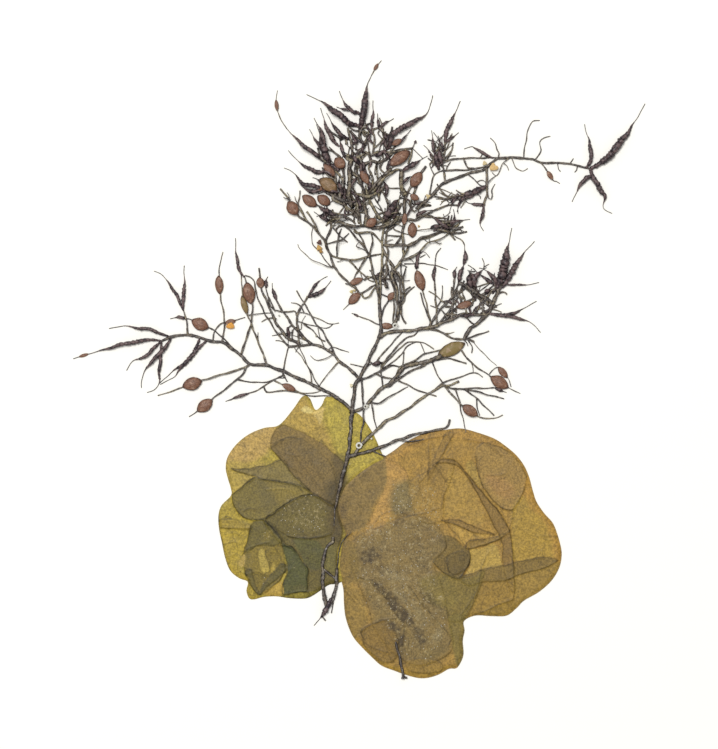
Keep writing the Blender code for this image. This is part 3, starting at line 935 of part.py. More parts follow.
def finished(item, name, paint):
    """The object under its name, with its paint, moved so that the specimen is centred."""
    item.name = name
    item.data.name = name
    item.data.materials.clear()
    item.data.materials.append(material(paint))
    item.data.transform(Matrix.Translation((-ORIGIN[0] * MM, -ORIGIN[1] * MM, 0)))
    item.data.set_sharp_from_angle(angle=SHARP_ANGLE)
    bpy.context.scene.collection.objects.link(item)
    return item


def sheet_height(point, folds, creases, number):
    """Height of a bladder's upper face: one step for each fold, ridges and soft puckers."""
    height = SHEET
    for fold in folds:
        if inside(point, fold) or distance_to(point, fold, True) < ON_LINE:
            height += FOLD_STEP
    for crease in creases:
        near = distance_to(point, crease, False)
        height += CREASE_RISE * max(0.0, 1.0 - near / CREASE_WIDTH)
    place = Vector((point[0] / PUCKER_SIZE, point[1] / PUCKER_SIZE, number * 5.0))
    return height + PUCKER_RISE * noise.noise(place)


def with_folds(rim, folds, creases):
    """The outline's points and edges, followed by those of the folds and creases inside it."""
    edge = [tuple(p) for p in rim]
    points = list(rim)
    edges = [(i, (i + 1) % len(rim)) for i in range(len(rim))]
    lines = [(smooth_route(fold, FOLD_SPACING, closed=True), True) for fold in folds]
    lines += [(smooth_route(crease, FOLD_SPACING), False) for crease in creases]
    for line, closed in lines:
        kept = [p for p in line if inside(p, edge) and distance_to(p, edge, True) > RIM_MARGIN]
        first = len(points)
        points += kept
        whole = closed and len(kept) == len(line)
        for i in range(len(kept) if whole else len(kept) - 1):
            following = (i + 1) % len(kept)
            if (kept[i] - kept[following]).length < FOLD_BREAK:
                edges.append((first + i, first + following))
    return points, edges


def net_points(rim, taken, seed):
    """Points of a loose net inside the outline, clear of the points that are taken."""
    edge = [tuple(p) for p in rim]
    low, high = [[pick(p[k] for p in edge) for k in (0, 1)] for pick in (min, max)]
    draw = random.Random(seed)
    points = []
    rows = math.ceil((high[1] - low[1]) / NET_ROW)
    columns = math.ceil((high[0] - low[0]) / NET_SPACING)
    for row in range(rows):
        for column in range(columns):
            x = low[0] + NET_SPACING * (column + row % 2 / 2) + draw.uniform(-NET_SHIFT, NET_SHIFT)
            y = low[1] + NET_ROW * row + draw.uniform(-NET_SHIFT, NET_SHIFT)
            spot = Vector((x, y))
            if inside(spot, edge) and min((spot - p).length for p in taken) > NET_MARGIN:
                points.append(spot)
    return points


def bladder(name, outline, folds, creases, paint, number):
    """A bladder pressed flat: level underside, upper face raised along its folds."""
    rim = smooth_route(outline, RIM_STEP, closed=True)
    points, edges = with_folds(rim, folds, creases)
    points += net_points(rim, points, SEED + number)
    flat, _, faces, _, _, _ = geometry.delaunay_2d_cdt(points, edges, [range(len(rim))], 1, WELD)
    edge = [tuple(p) for p in rim]
    solid = bmesh.new()
    top = []
    for spot in flat:
        on_rim = distance_to(spot, edge, True) < ON_LINE
        height = SHEET if on_rim else sheet_height(spot, folds, creases, number)
        top.append(solid.verts.new((spot.x * MM, spot.y * MM, height * MM)))
    for face in faces:
        solid.faces.new([top[i] for i in face])
    for vert in [v for v in solid.verts if not v.link_faces]:
        solid.verts.remove(vert)
    border = [e for e in solid.edges if len(e.link_faces) == 1]
    skirt = bmesh.ops.extrude_edge_only(solid, edges=border)["geom"]
    for vert in [item for item in skirt if isinstance(item, bmesh.types.BMVert)]:
        vert.co.z = 0
    base = [e for e in skirt if isinstance(e, bmesh.types.BMEdge) and len(e.link_faces) == 1]
    bmesh.ops.contextual_create(solid, geom=base)
    face_outwards(solid)
    mesh = bpy.data.meshes.new(name)
    solid.to_mesh(mesh)
    solid.free()
    return finished(bpy.data.objects.new(name, mesh), name, paint)


def worm(name, row):
    """A white tube worm's ring."""
    x, y, outer, base = row
    bore = outer * WORM_BORE
    mean = outer / 2 - bore
    points, faces = [], []
    for i in range(WORM_TURNS):
        around = 2 * math.pi * i / WORM_TURNS
        for k in range(WORM_SIDES):
            angle = 2 * math.pi * k / WORM_SIDES
            reach = mean + bore * math.cos(angle)
            points.append((x + reach * math.cos(around), y + reach * math.sin(around),
                           base + bore + bore * math.sin(angle)))
    for i in range(WORM_TURNS):
        ahead = (i + 1) % WORM_TURNS * WORM_SIDES
        for k in range(WORM_SIDES):
            after = (k + 1) % WORM_SIDES
            faces.append((i * WORM_SIDES + k, i * WORM_SIDES + after, ahead + after, ahead + k))
    return finished(mesh_object(name, points, faces), name, "worm")


def crust(name, row):
    """A thin three-cornered crust."""
    base, corners = row[0], row[1:]
    points = [(*p, height) for height in (base, base + CRUST_THICKNESS) for p in corners]
    faces = [(0, 1, 2), (3, 5, 4), (0, 3, 4, 1), (1, 4, 5, 2), (2, 5, 3, 0)]
    return finished(mesh_object(name, points, faces), name, "crust")


def main():
    clear_scene()
    stem = MAIN_STRANDS[:1]
    grown("host_main_stem", MAIN_STRANDS, MAIN_PODS, MAIN_VESICLES)
    grown("host_basal_shoots", SHOOT_STRANDS, SHOOT_PODS, [], stem)
    grown("host_stub", STUB_STRANDS, [], [])
    grown("host_frond_left", LEFT_STRANDS, LEFT_PODS, LEFT_VESICLES, stem)
    grown("host_frond_crown", CROWN_STRANDS + CROWN_HAIRS, CROWN_PODS + crown_twigs(), CROWN_VESICLES,
          MAIN_STRANDS)
    grown("host_frond_arm", ARM_STRANDS, ARM_PODS, ARM_VESICLES)
    grown("host_frond_right", RIGHT_STRANDS, RIGHT_PODS, RIGHT_VESICLES, MAIN_STRANDS)
    bladder("oyster_thief_left", LEFT_OUTLINE, LEFT_FOLDS, LEFT_CREASES, "left_bladder", 1)
    bladder("oyster_thief_right", RIGHT_OUTLINE, RIGHT_FOLDS, RIGHT_CREASES, "right_bladder", 2)
    for number, row in enumerate(WORMS, 1):
        worm(f"tube_worm_{number}", row)
    for number, row in enumerate(CRUSTS, 1):
        crust(f"orange_crust_{number}", row)


main()
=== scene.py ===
"""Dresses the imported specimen: two papery bladders pressed flat on the forked brown seaweed they grew on.

Lengths in the tables are millimetres, seen from above, +Y towards the top of the specimen.
"""

import math
import random

import bpy
import numpy as np
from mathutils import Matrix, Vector, geometry, noise


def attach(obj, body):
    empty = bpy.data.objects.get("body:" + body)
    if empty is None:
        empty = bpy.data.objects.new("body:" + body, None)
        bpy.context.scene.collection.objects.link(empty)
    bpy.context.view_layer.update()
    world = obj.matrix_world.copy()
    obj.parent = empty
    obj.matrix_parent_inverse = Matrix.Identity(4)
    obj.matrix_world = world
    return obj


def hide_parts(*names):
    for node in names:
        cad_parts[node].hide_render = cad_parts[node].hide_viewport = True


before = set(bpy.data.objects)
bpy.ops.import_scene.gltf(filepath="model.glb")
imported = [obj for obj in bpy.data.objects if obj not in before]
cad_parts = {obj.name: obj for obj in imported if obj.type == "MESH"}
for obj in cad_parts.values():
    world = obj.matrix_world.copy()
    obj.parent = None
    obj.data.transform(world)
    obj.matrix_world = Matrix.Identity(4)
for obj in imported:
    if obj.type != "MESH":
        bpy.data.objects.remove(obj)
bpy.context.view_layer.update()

bl_info = {
    "name": "Pressed oyster thief specimen",
    "version": (1, 0, 0),
    "blender": (4, 5, 0),
    "location": "View3D > Sidebar > Specimen",
    "description": "Bladders, stems, vesicles and receptacles of a pressed seaweed specimen",
    "category": "Add Mesh",
}

MM = 0.001
ORIGIN = (0.1, 0.4)  # centre of the specimen's outline in the tables
DIMMED = 0.8  # what colours are multiplied by, as the stage's light turns bare paper white

# Spacing in millimetres of the points along outlines, folds, strands, receptacles and crusts
OUTLINE_STEP = 0.8
FOLD_STEP = 1.0
STRAND_STEP = 0.8
POD_STEP = 0.45
CRUST_STEP = 0.3

# Width at the root, width at the end, then x, y of each point
STRANDS = {
    "host_main_stem": [
        (0.4, 1.5, -10, -62, -9.5, -55, -8, -48, -6.8, -43),
        (1.6, 1.4, -7.2, -44.6, -6, -40, -4.5, -34, -3.5, -26, -3, -18, -1.5, -6, 0, -3.5, 2, 0.5, 4, 4.5,
         6, 9, 8, 13, 8.8, 17, 8.5, 21, 8.1, 27),
        (0.6, 0.5, 5, 3, 2, 1.5, -3.5, 2.6),
        (0.7, 0.5, 13.4, 17.8, 11, 17.8, 7, 18.8, 3, 20.5, -2, 22.5),
    ],
    "host_basal_shoots": [
        (1, 0.9, -14, -79.5, -11, -82, -9, -83.5),
        (0.7, 0.5, -10, -90.5, -11, -97),
        (0.7, 0.6, -15, -98, -13.4, -100),
        (1.2, 1.6, -10.4, -66.5, -10.6, -68.5, -12.5, -70, -14, -74, -14.5, -79, -14.5, -84, -14.3, -88,
         -13, -94),
        (1.3, 1.5, -8.8, -79, -9, -84, -9.5, -88, -11, -92, -13.5, -96),
        (0.45, 0.6, -4.5, -65.5, -7.5, -70, -8.3, -75, -8.8, -79),
    ],
    "host_stub": [
        (0.9, 1.3, 14.6, -108.4, 16.5, -116, 17.5, -121, 17.5, -123.2),
        (1.2, 0.9, 17.4, -122.6, 19.2, -122.8),
    ],
    "host_frond_left": [
        (1.5, 1.1, -2, -16.5, -6, -13, -10, -10, -14, -8, -19, -5.5, -25, -2.7, -30, -0.5, -36, 1.8, -44,
         2.8, -47, 6, -50.5, 8.5, -54.5, 11.2, -60.5, 12, -66, 14, -72, 14, -75.5, 13.3, -79, 11.8),
        (0.8, 0.5, -47, 6, -52, 10.5, -57, 15.5, -60, 17, -67, 20.3, -70, 20.8),
        (0.8, 0.6, -68.5, 14.5, -69, 20, -70.5, 25),
        (0.6, 0.5, -58.4, 12.2, -58, 15, -56.5, 17.5, -54.5, 19, -49, 20.2, -45.5, 21.3),
        (0.8, 0.4, -54.7, 12, -54, 16, -53.8, 20, -54.7, 26, -55.5, 30, -56, 38.5, -55.4, 43.5, -54.4,
         47.5),
        (0.9, 0.5, -45, 1.5, -52, -0.8, -58, -2.5, -62.5, -3.8, -70.5, -6.7, -75.5, -8.5, -80.5, -10),
        (0.9, 0.4, -45, 1.5, -46.5, -1.5, -49, -3.7, -53, -7, -58.5, -11.3, -65, -16.5, -68, -18.5),
        (0.7, 0.4, -49, -3.5, -45, -4.3, -42, -4.8, -37, -4.5, -33, -3.2, -29.5, -3),
        (0.7, 0.5, -30, -1.8, -34, -3.7, -38, -6.2, -42, -8.5, -45, -9.5, -52.3, -12),
        (0.7, 0.4, -34, -4, -31, -5.3, -25, -8, -22, -9, -18, -9, -15, -8),
        (0.7, 0.5, -37, -8.5, -33, -8.4, -29, -8, -25, -8.7, -22, -9.7, -17, -10.2, -10, -10),
        (0.8, 0.6, -30.5, -1, -28.7, -4.5),
        (1.3, 0.9, 0, -3.4, -2, -1, -5, 1.5, -8, 4, -11, 7, -15, 9.6, -19, 10.3, -23, 10, -28, 9.5),
        (0.7, 0.5, -30.3, 0, -29.5, 4, -28.8, 7.5, -28, 10),
        (0.9, 0.5, -37, 2.5, -38.5, 7, -41, 13, -43.2, 19, -44.5, 22, -46.5, 30, -47.1, 38),
        (0.9, 0.6, -47, 7, -45, 13, -43.2, 19, -42.7, 26.5, -45, 35, -46, 38),
        (0.8, 0.6, -28.5, 10, -32, 14, -36, 20, -38, 23.5, -40.5, 29, -41.5, 33, -41.8, 35.5, -43.5, 37.3,
         -45.5, 38),
        (1.3, 0.7, -24, 11, -26.5, 12, -29, 13.5, -32.5, 18, -34.5, 22, -37, 28, -39, 32.5, -39.6, 38,
         -40, 41),
        (1.2, 0.7, -19, 10.5, -23, 14, -26, 17.5, -29, 21.5, -31, 24.5, -33, 28, -34.5, 32.5),
        (0.9, 0.8, -24, 10.5, -24.3, 15, -24.8, 20, -24.5, 23, -22, 27, -20.5, 29.8),
        (0.7, 0.6, -24.6, 20, -25.5, 23.5, -28, 23.5, -32, 23.8, -34.5, 24.5, -36, 28, -37.2, 33, -37,
         36.4),
        (0.5, 0.4, -44.5, 22, -42, 22.5, -38, 22.9, -35, 23),
        (0.9, 0.6, -10, 6.5, -11, 9.5, -12.5, 12, -14.5, 15.5, -17, 18.5, -19.5, 22.5, -21, 25.5, -23,
         28.5, -25, 32),
        (0.5, 0.4, -24.3, 23.3, -21, 22.8, -18, 21.5, -12, 18.8, -8, 19),
        (0.5, 0.4, -24.7, 19.7, -22, 19, -19, 18, -13, 17, -10.5, 18.5),
        (0.7, 0.6, -22, 18.5, -19, 16.5, -17, 14, -14.5, 12, -13.5, 11.7),
        (0.6, 0.5, -26.8, 12.2, -26.5, 16, -25, 17.3, -23, 15.2, -21.5, 13, -18.5, 10.7),
        (0.6, 0.5, -28.2, 17.2, -27.7, 14),
        (0.5, 0.4, -14, 9.5, -15.5, 13, -16.5, 17),
        (0.5, 0.4, -12.5, 8.2, -10.5, 9.3, -7, 8.3, -4, 7.3),
        (0.5, 0.4, -10.5, 6.5, -13, 5, -17, 4, -19.5, 6),
        (0.6, 0.4, -8, 3.8, -10.5, 1, -13, -2, -15.5, -5.5, -16, -7),
        (0.6, 0.4, -15.5, -7, -18, -3, -20.5, 2, -23.5, 8.5, -24, 10.5),
        (0.6, 0.4, -19, -5.5, -19.2, -2, -21, 2.5, -23, 5.5, -25.3, 8.2, -26, 9.6),
    ],
    "host_frond_crown": [
        (1.1, 0.9, 8.1, 26.5, 7.8, 30, 7.2, 33.5, 6.3, 36.5, 5.6, 38.7, 5, 42, 4.4, 45.6),
        (0.9, 0.8, 4.4, 45.6, 3, 47.8, 1.6, 49.7, -0.3, 52, -2.1, 54.2, -4.2, 56.5, -6, 58),
        (0.8, 0.7, 4, 46.3, 3.2, 48, 2, 50.5, 1, 52.8, -0.2, 54.8, -2, 56.5),
        (0.8, 0.7, 4.2, 46.5, 4.7, 48.5, 5.4, 51.6, 4.9, 54.9),
        (0.5, 0.5, -1.1, 49.6, 1, 48.8, 2.8, 47.8),
        (0.9, 0.8, -2, 55.5, 0, 55, 4.7, 55.1, 6.5, 54.1, 8, 52.3, 9.3, 50.7),
        (1.1, 0.9, 8.3, 28, 8.5, 32, 8.4, 36, 8.5, 38, 9, 41, 9.3, 45, 9.3, 50, 9.4, 54, 10, 57),
        (0.8, 0.7, 8.8, 21.5, 10, 25, 11.5, 27.5, 12.8, 29.5, 11.5, 29.5, 9, 30.5),
        (1.3, 1, 14.6, 19.8, 15.4, 23, 15.3, 28, 15, 32, 13.6, 36, 12.8, 39.5, 13.9, 41.4, 12.2, 43.5, 10.6,
         46.3, 9.3, 49.5),
        (1, 0.8, 13, 41, 15, 39.5, 16.5, 37.5, 17.5, 34.5, 18.2, 31, 18.1, 28, 17, 26.5),
        (0.9, 0.8, 13.5, 39.5, 15.2, 37.6, 16.2, 35, 16.8, 31, 16.5, 27.5, 16, 24, 15.7, 20),
        (0.8, 0.7, 13.6, 19.6, 13.9, 24, 14.1, 29, 13.8, 33, 12.6, 36.5, 11.5, 39.5),
        (0.9, 0.8, 17, 26.5, 16.8, 23, 17.8, 20, 18.8, 18.8),
        (0.9, 0.8, 10.2, 37, 11, 40.5, 11, 44, 11.5, 47.5, 10.6, 51, 10.8, 54, 11.8, 57.5, 12.5, 61),
        (0.9, 0.7, 2, 36.2, 4, 37.2, 7, 37.3, 10, 37, 13, 36.5),
        (0.8, 0.7, 1, 30.8, 3, 32, 5, 33.5, 7, 34.5),
        (0.8, 0.7, 2, 29, 4, 29.6, 5.5, 32, 7.5, 34.5, 8.5, 36),
        (0.9, 0.8, 4.4, 45.8, 1, 44.7, -2, 44, -5, 44.5, -8.5, 45, -11.2, 46),
        (0.7, 0.7, 4.2, 45.8, 6.5, 46.2, 9.2, 46.6),
        (0.8, 0.7, 3, 45.2, 1.5, 43, 0, 40.5, -1.5, 38, -2, 36.6),
        (0.8, 0.6, -4.2, 44.2, -2.5, 42.5, 0, 40, 2, 38, 4, 36.2, 6, 35.5),
        (1, 0.9, 0, 31, -1.5, 33.3, -3.5, 34.2, -6.5, 37.5, -9, 40, -10.2, 42, -11.3, 45.5, -12.5, 48.5,
         -13.3, 52),
        (1, 0.9, -11, 46, -13, 49, -14, 52.4, -17.5, 56.5, -20.5, 59.3, -24, 61.4),
        (0.7, 0.6, -15.9, 54.4, -18.7, 57.8, -20.2, 59.2, -22.2, 62, -24.3, 65),
        (0.7, 0.6, -3, 34.2, -5.5, 34.8),
        (0.8, 0.7, -8.9, 45.4, -8.7, 50, -8.2, 53.8, -7, 56.8),
        (0.7, 0.6, -11.8, 50.9, -9, 51.7, -6.8, 52.3, -4, 54.9),
        (0.7, 0.6, -10.4, 57, -9, 55.5, -7.5, 53.7, -4.6, 51.3),
        (0.7, 0.6, -9.5, 55.9, -7.8, 58.2),
        (1, 0.9, -13.3, 52, -12, 55, -11.2, 57, -11.2, 59.5, -12.3, 62.8),
        (0.6, 0.4, -11.3, 41.5, -14, 45, -17, 48.7, -18.6, 51, -19, 54, -18.5, 57),
        (0.5, 0.35, -10.5, 41, -15, 42.5, -19.5, 44.8, -23.5, 48.4, -24.5, 50.5),
        (0.8, 0.6, -21, 60, -23, 64, -24.3, 66.5, -23.8, 69, -23.6, 72),
        (0.9, 0.8, -24, 61.4, -28.5, 69, -30, 71, -31.5, 72.7),
        (1, 0.8, -16.6, 55.6, -18.4, 59.9, -20.9, 63.6),
        (0.5, 0.4, -3.6, 27, -6.3, 24.3),
        (1.3, 1, -10.5, 60, -7, 58.8, -4, 58.1, -1, 57.5, 2, 57.8, 5, 57),
        (0.9, 0.8, -13, 63, -10, 62.8, -6, 62.3, -3, 62.4, 0, 60.6),
        (1, 0.8, -12, 61.6, -8, 61, -4, 60.8, -1.4, 58.6),
        (0.7, 0.6, -10.2, 59.2, -8, 62.8, -5.6, 66),
        (0.7, 0.6, -17.5, 66.5, -14.5, 65, -12.5, 63.7, -10, 62.8),
        (0.8, 0.7, -12.6, 63.5, -13, 66),
        (1.6, 1.2, -13, 71.5, -10.5, 70.2, -8, 68.5, -4, 67, -1, 66.5),
        (1.3, 1, -10.5, 68.6, -7, 66.5, -4.5, 65, -2, 63, 0, 61),
        (1, 0.9, -0.8, 70, -0.7, 66, 0, 63, 0.4, 60, 1, 57.8),
        (1.8, 1.2, 2.6, 57.8, 3, 61, 2.4, 64, 2, 67, 2.4, 70.2),
        (0.7, 0.6, 4.6, 60, 3, 62.6, 0, 63.2),
        (1.4, 1.1, 8.3, 60.6, 6.2, 64, 4.2, 68.3, 3, 70),
        (0.7, 0.6, 10, 62, 8, 66, 6, 69.4),
        (0.8, 0.7, 11.8, 66, 11, 67.8, 10, 70.2, 8.6, 72.9),
        (0.7, 0.6, 9.3, 60.3, 10.2, 62.6, 10.4, 65),
        (0.6, 0.5, 7.4, 67.2, 8.6, 70.8),
        (1.6, 1.3, -1.2, 70.2, 1, 70.2, 4, 69.4, 7, 71, 9.8, 73.2, 11, 74.5),
        (1.5, 1.2, 5, 57, 10, 57.5, 13, 58.8, 17.5, 61.5),
        (1, 0.8, 6.5, 59.5, 10.5, 59.8, 13.5, 61.5, 16, 64.6, 17, 67),
        (0.9, 0.8, 10, 55, 13.5, 57.4, 16.5, 59.5, 18, 61),
        (1.1, 1, 14.2, 40.5, 16.3, 43, 17.8, 46, 17.6, 50, 17.3, 54, 17.7, 57.5, 18.2, 62),
        (0.9, 0.8, 17.9, 46, 19, 47.8, 19.9, 49.9),
        (0.8, 0.7, 14.4, 50.2, 16.3, 52.7, 17.4, 55.5),
        (0.7, 0.6, 12, 54, 14.5, 53.7, 17.4, 53.8),
        (1.4, 1.3, 18.2, 62, 18, 66, 18.5, 70),
        (2.1, 1.8, 18.5, 70, 17, 73, 16.8, 77, 17.2, 79.8),
        (0.6, 0.5, 15.6, 62.6, 15.6, 65.5, 16, 68.8, 17.2, 71.8),
        (0.6, 0.6, 9.2, 73.2, 13, 72.9, 15.7, 72.9, 16.9, 72.4),
        (1.5, 1.2, 3, 70.2, 5, 72.5, 8, 76, 10.5, 78.5, 13, 80.8),
        (1.2, 1, 4.2, 71, 6.4, 72.2, 9, 75.6, 11.5, 78, 15, 80.2, 17.2, 80),
        (2.2, 1.7, -3, 66, -4, 69, -4.2, 72, -3.6, 76, -4, 80, -3, 84),
        (1.3, 1, -8, 68.5, -7, 72, -6.2, 76, -6.5, 80, -8, 83.5),
        (0.9, 0.8, -1, 70.2, -2.6, 73.6, -1.8, 76, -0.6, 78),
        (1.3, 1, 2.4, 70.2, 1.4, 73.6, 0, 77, -1.5, 80, -1, 84),
        (1, 0.8, -6.4, 76, -8, 78.4, -10, 80),
        (1.3, 1, -9.6, 70, -9.5, 75, -10, 80, -12, 82.5, -14, 83.5),
        (0.7, 0.5, -7.5, 84, -9, 86.3, -12, 89.5),
        (1.2, 1, -5, 85, -3, 84, 1, 86, 3, 87.5),
        (1.2, 0.9, -2.5, 84.5, -3, 90, -4.5, 97),
        (1.4, 1.1, -1.5, 84, 0, 87.5, 2, 89.6, 0.6, 93, 0, 98),
        (0.9, 0.8, -1, 93, -3.5, 96),
        (0.9, 0.7, 1.6, 90.4, 3.4, 93, 3.6, 96.4, 1.4, 97),
        (1.3, 1, -1.2, 82, 2, 82.4, 5, 83.6, 8, 83.2, 11.4, 85, 13.4, 87),
        (1.1, 0.9, 2.6, 87.4, 5, 86.2, 7.5, 87.4, 10, 87, 15, 87.6, 18, 88.3, 21.3, 88.9),
        (0.9, 0.8, 10.5, 78.5, 8.4, 81, 9.6, 84, 9.2, 87),
        (0.9, 0.8, 10.8, 85, 13, 88, 15.4, 90.4),
        (1, 0.8, 5.5, 86, 6, 90, 6, 94, 5.6, 96.3, 8, 96.8, 10.2, 94.4),
        (0.7, 0.6, 7.6, 95, 9.2, 92.2, 8.5, 89.5, 8, 87),
        (1, 0.9, 8.4, 96.8, 10, 95, 12.4, 94.1),
        (1, 0.8, 5, 72.5, 5.5, 77, 3.8, 80.5, 4.6, 84, 3.2, 87),
        (0.8, 0.7, 7.6, 76, 7, 79.4, 7.2, 83),
        (0.9, 0.8, 19.6, 82.6, 20.5, 85, 21.2, 88.4),
        (0.5, 0.45, 21.2, 88.6, 22.5, 91.6),
        (0.4, 0.35, 21.4, 88.9, 25.3, 85),
        (1.1, 1, 18.6, 69.5, 20.5, 73, 25, 79.3, 26.8, 81.7),
        (1, 0.7, 18, 61, 22.5, 60, 25, 61.5, 28, 63, 31, 64.3, 35, 66, 40.5, 66),
        (0.9, 0.7, 22.5, 60, 24, 61.8, 28, 61.5, 30.5, 61, 33, 61, 35.5, 60.8),
        (1.4, 0.8, 10, 50.1, 14, 50, 18, 50.2, 20, 50, 22.5, 51, 25, 53, 28, 54, 32, 55, 36, 56.2),
        (0.9, 0.6, 20, 50.4, 24, 52.2, 28, 53.2, 31, 54.4, 34, 55.4, 36.5, 55.6),
        (1, 0.5, 17.4, 44.2, 21, 45.3, 24, 47.3, 26, 49.5, 27.5, 51, 30, 51.5, 33, 53, 36.5, 55, 39, 56,
         40.5, 56.5, 41, 55.6),
        (0.5, 0.4, 30.2, 51.6, 32, 50.6, 33, 51),
        (0.5, 0.4, 28, 53.6, 28, 51),
        (0.5, 0.4, 22.5, 56, 26, 56.3, 29.5, 56.5, 32, 55.2),
        (0.9, 0.7, 30.5, 61, 32, 59.4, 33, 58, 34.5, 56.4),
        (0.5, 0.35, 36.2, 56.6, 38.5, 58, 41.5, 59.7),
        (0.45, 0.3, -28.9, 96.7, -31, 100, -32.7, 103.6, -33.2, 108.4, -32.6, 112),
        (0.45, 0.3, 5.2, 118.4, 6.8, 121.3, 9, 124),
    ],
    "host_frond_arm": [
        (1.3, 0.8, 22.6, 64.6, 25, 66.5, 27.7, 68.6, 29.7, 70.6, 33, 74.4, 35, 75.4, 38, 76.5, 41, 77.9, 43,
         78.5, 46, 79.3, 50, 80.5, 52, 82, 54.5, 84.3, 56.5, 85, 65, 85, 70, 84.2, 72.5, 83.2, 78, 83, 84,
         82.7, 90, 81.2, 92.5, 80.8),
        (0.9, 0.7, 34.3, 75.3, 34.2, 78, 33.8, 80, 33.4, 82.5, 34, 86, 34.4, 90, 34, 92.4),
        (0.8, 0.6, 32.2, 82.3, 36, 84, 40, 84.8, 46, 84.9, 52, 85.1, 56, 85),
        (0.9, 0.7, 41.8, 84.6, 42.6, 82.5, 43.6, 81, 46, 80.8),
        (0.9, 0.6, 33.6, 80, 37, 80, 43, 80.3, 48, 80.9, 52, 82),
        (0.7, 0.6, 28.2, 69.6, 28.8, 74, 30.2, 78.3, 33.6, 80),
        (0.6, 0.5, 30, 78.4, 29, 80.3, 28.2, 82.4),
        (0.8, 0.7, 28.2, 82.4, 30.2, 84.4, 31, 81.8, 32.4, 80.4),
        (0.8, 0.7, 28.4, 86.2, 29.5, 84.8, 31.2, 86.6, 33, 84, 34.6, 84.6),
        (0.6, 0.5, 35.2, 81.4, 36.6, 83.4),
        (0.6, 0.4, 65.8, 85, 66.2, 89, 66.8, 92, 67.8, 97, 69.5, 99.6, 72.3, 100),
        (0.6, 0.4, 70.3, 84.2, 72, 86.5, 72.8, 88.5, 72.3, 91.5, 74, 93, 76.5, 93.7),
        (0.6, 0.4, 72.5, 83.2, 74, 81.5, 75.2, 79.8, 77.5, 76, 78.8, 75.7, 80.3, 74.8),
        (0.5, 0.4, 61, 85, 62.5, 81.5, 63.5, 80.5, 65.5, 79.7, 67.5, 80.8),
        (0.5, 0.4, 60, 84.9, 57.6, 83, 56.6, 81, 55.8, 79, 54.8, 77.8, 53.2, 79.2),
        (0.4, 0.35, 57.6, 83, 59.2, 81.6, 59.8, 80),
        (0.5, 0.4, 79.3, 83, 79.8, 80.5, 80.6, 79.6),
        (0.5, 0.4, 84.3, 82.7, 85.7, 84.8),
        (0.5, 0.4, 87.3, 82, 87, 80.2, 86.2, 79.3),
        (0.7, 0.4, 55.6, 84.8, 55.9, 87, 55.3, 88.2, 54.3, 91, 52.5, 93),
        (0.5, 0.4, 48, 84.7, 49, 86, 49.4, 87.8),
        (1.2, 0.9, 51, 81, 51, 77, 51.1, 73, 51, 70, 50, 67, 49.8, 65.2),
        (0.6, 0.5, 51.4, 71, 51.8, 68.8, 52.8, 68.5, 53.2, 70, 53, 72, 54.4, 74.6),
        (0.6, 0.5, 43.6, 78.4, 45.5, 77, 47.3, 75, 48.5, 74, 51, 73.4),
        (0.5, 0.4, 47, 75.2, 48.5, 76, 50, 75.8, 51, 74.6),
        (0.5, 0.4, 51.4, 75, 53, 76.6, 54.8, 77.9),
        (0.7, 0.5, 29.4, 69.8, 34, 68.8, 38, 68.2, 42, 68.4),
        (0.4, 0.35, 35.3, 69.2, 37.2, 71.4),
        (0.5, 0.4, 46.6, 71.3, 48.5, 69.5, 48.6, 68.6),
        (0.6, 0.5, 34.6, 68.6, 36.2, 67),
        (1.1, 0.9, 25.6, 66.8, 27, 66.5, 28.6, 66),
    ],
    "host_frond_right": [
        (1.5, 1.1, 8, 13.3, 11, 15, 14, 15.6, 18, 15.8, 22, 16.2, 26, 16.8, 30, 17.8, 34, 19.3, 38, 21,
         41, 22.3, 46, 22.5, 50, 22.3, 52, 23, 53.5, 26.5, 55.3, 31, 57, 34),
        (1, 0.8, 25, 16.6, 30, 16.3, 34, 15, 37, 12.8, 43, 12.5, 46, 11.5),
        (0.7, 0.6, 43, 12.7, 47, 14.2, 50, 15, 52, 15.8),
        (0.6, 0.5, 43.6, 12, 45.3, 9.5, 45, 7),
        (0.4, 0.35, 46, 11, 50, 6.5, 55, 2),
        (1, 0.7, 28, 17.4, 32, 24, 36, 28, 40, 31, 44, 34, 45, 36),
        (1, 0.7, 31, 17.8, 37, 25, 41, 33, 42, 36),
        (0.8, 0.6, 42, 22.4, 45, 19, 47, 18.6),
        (1, 0.8, 34, 19.3, 40, 26, 46, 29, 51, 31, 56, 33),
        (0.8, 0.6, 43, 22.4, 42, 28, 41, 33),
        (0.9, 0.7, 50, 22.5, 49, 27, 47, 32, 45, 36, 44, 40),
        (0.7, 0.6, 53.4, 26.2, 49, 30, 46, 33),
        (0.7, 0.5, 36, 20, 33, 24, 28.5, 26),
        (0.7, 0.5, 56.8, 34, 59.5, 36),
        (0.8, 0.6, 6.4, 2, 8, 5, 12, 9.5, 16, 14, 18, 15.8),
        (0.8, 0.6, 9.4, 3, 13, 7, 18, 12.5, 22, 14, 24, 16.4),
        (0.7, 0.5, 9.2, 1.6, 17.5, 10, 22, 11.5, 26, 11, 30, 8.5),
        (0.7, 0.5, 9.4, 1, 13, 3, 17, 6.5, 19, 9.5, 23, 11.5),
        (0.5, 0.4, 24.5, 11.2, 26.5, 6.5),
        (0.9, 0.7, 0.4, -3.6, 4, -2.5, 7, -1, 10, 0.5, 13, 2, 17, 1.2),
        (0.8, 0.6, 6.6, -1.2, 10, -2.7, 13, -3.3, 16, -4, 22, -7.2, 26, -8.7, 31, -10.3),
        (1.3, 1.8, -3.4, -16.8, 0.5, -15.5, 3, -14, 4.5, -12, 9.5, -6.7, 12, -5.3, 14.5, -3, 17, 0.5, 20,
         2, 24, 3, 28, 3.8, 31, 5, 33, 6),
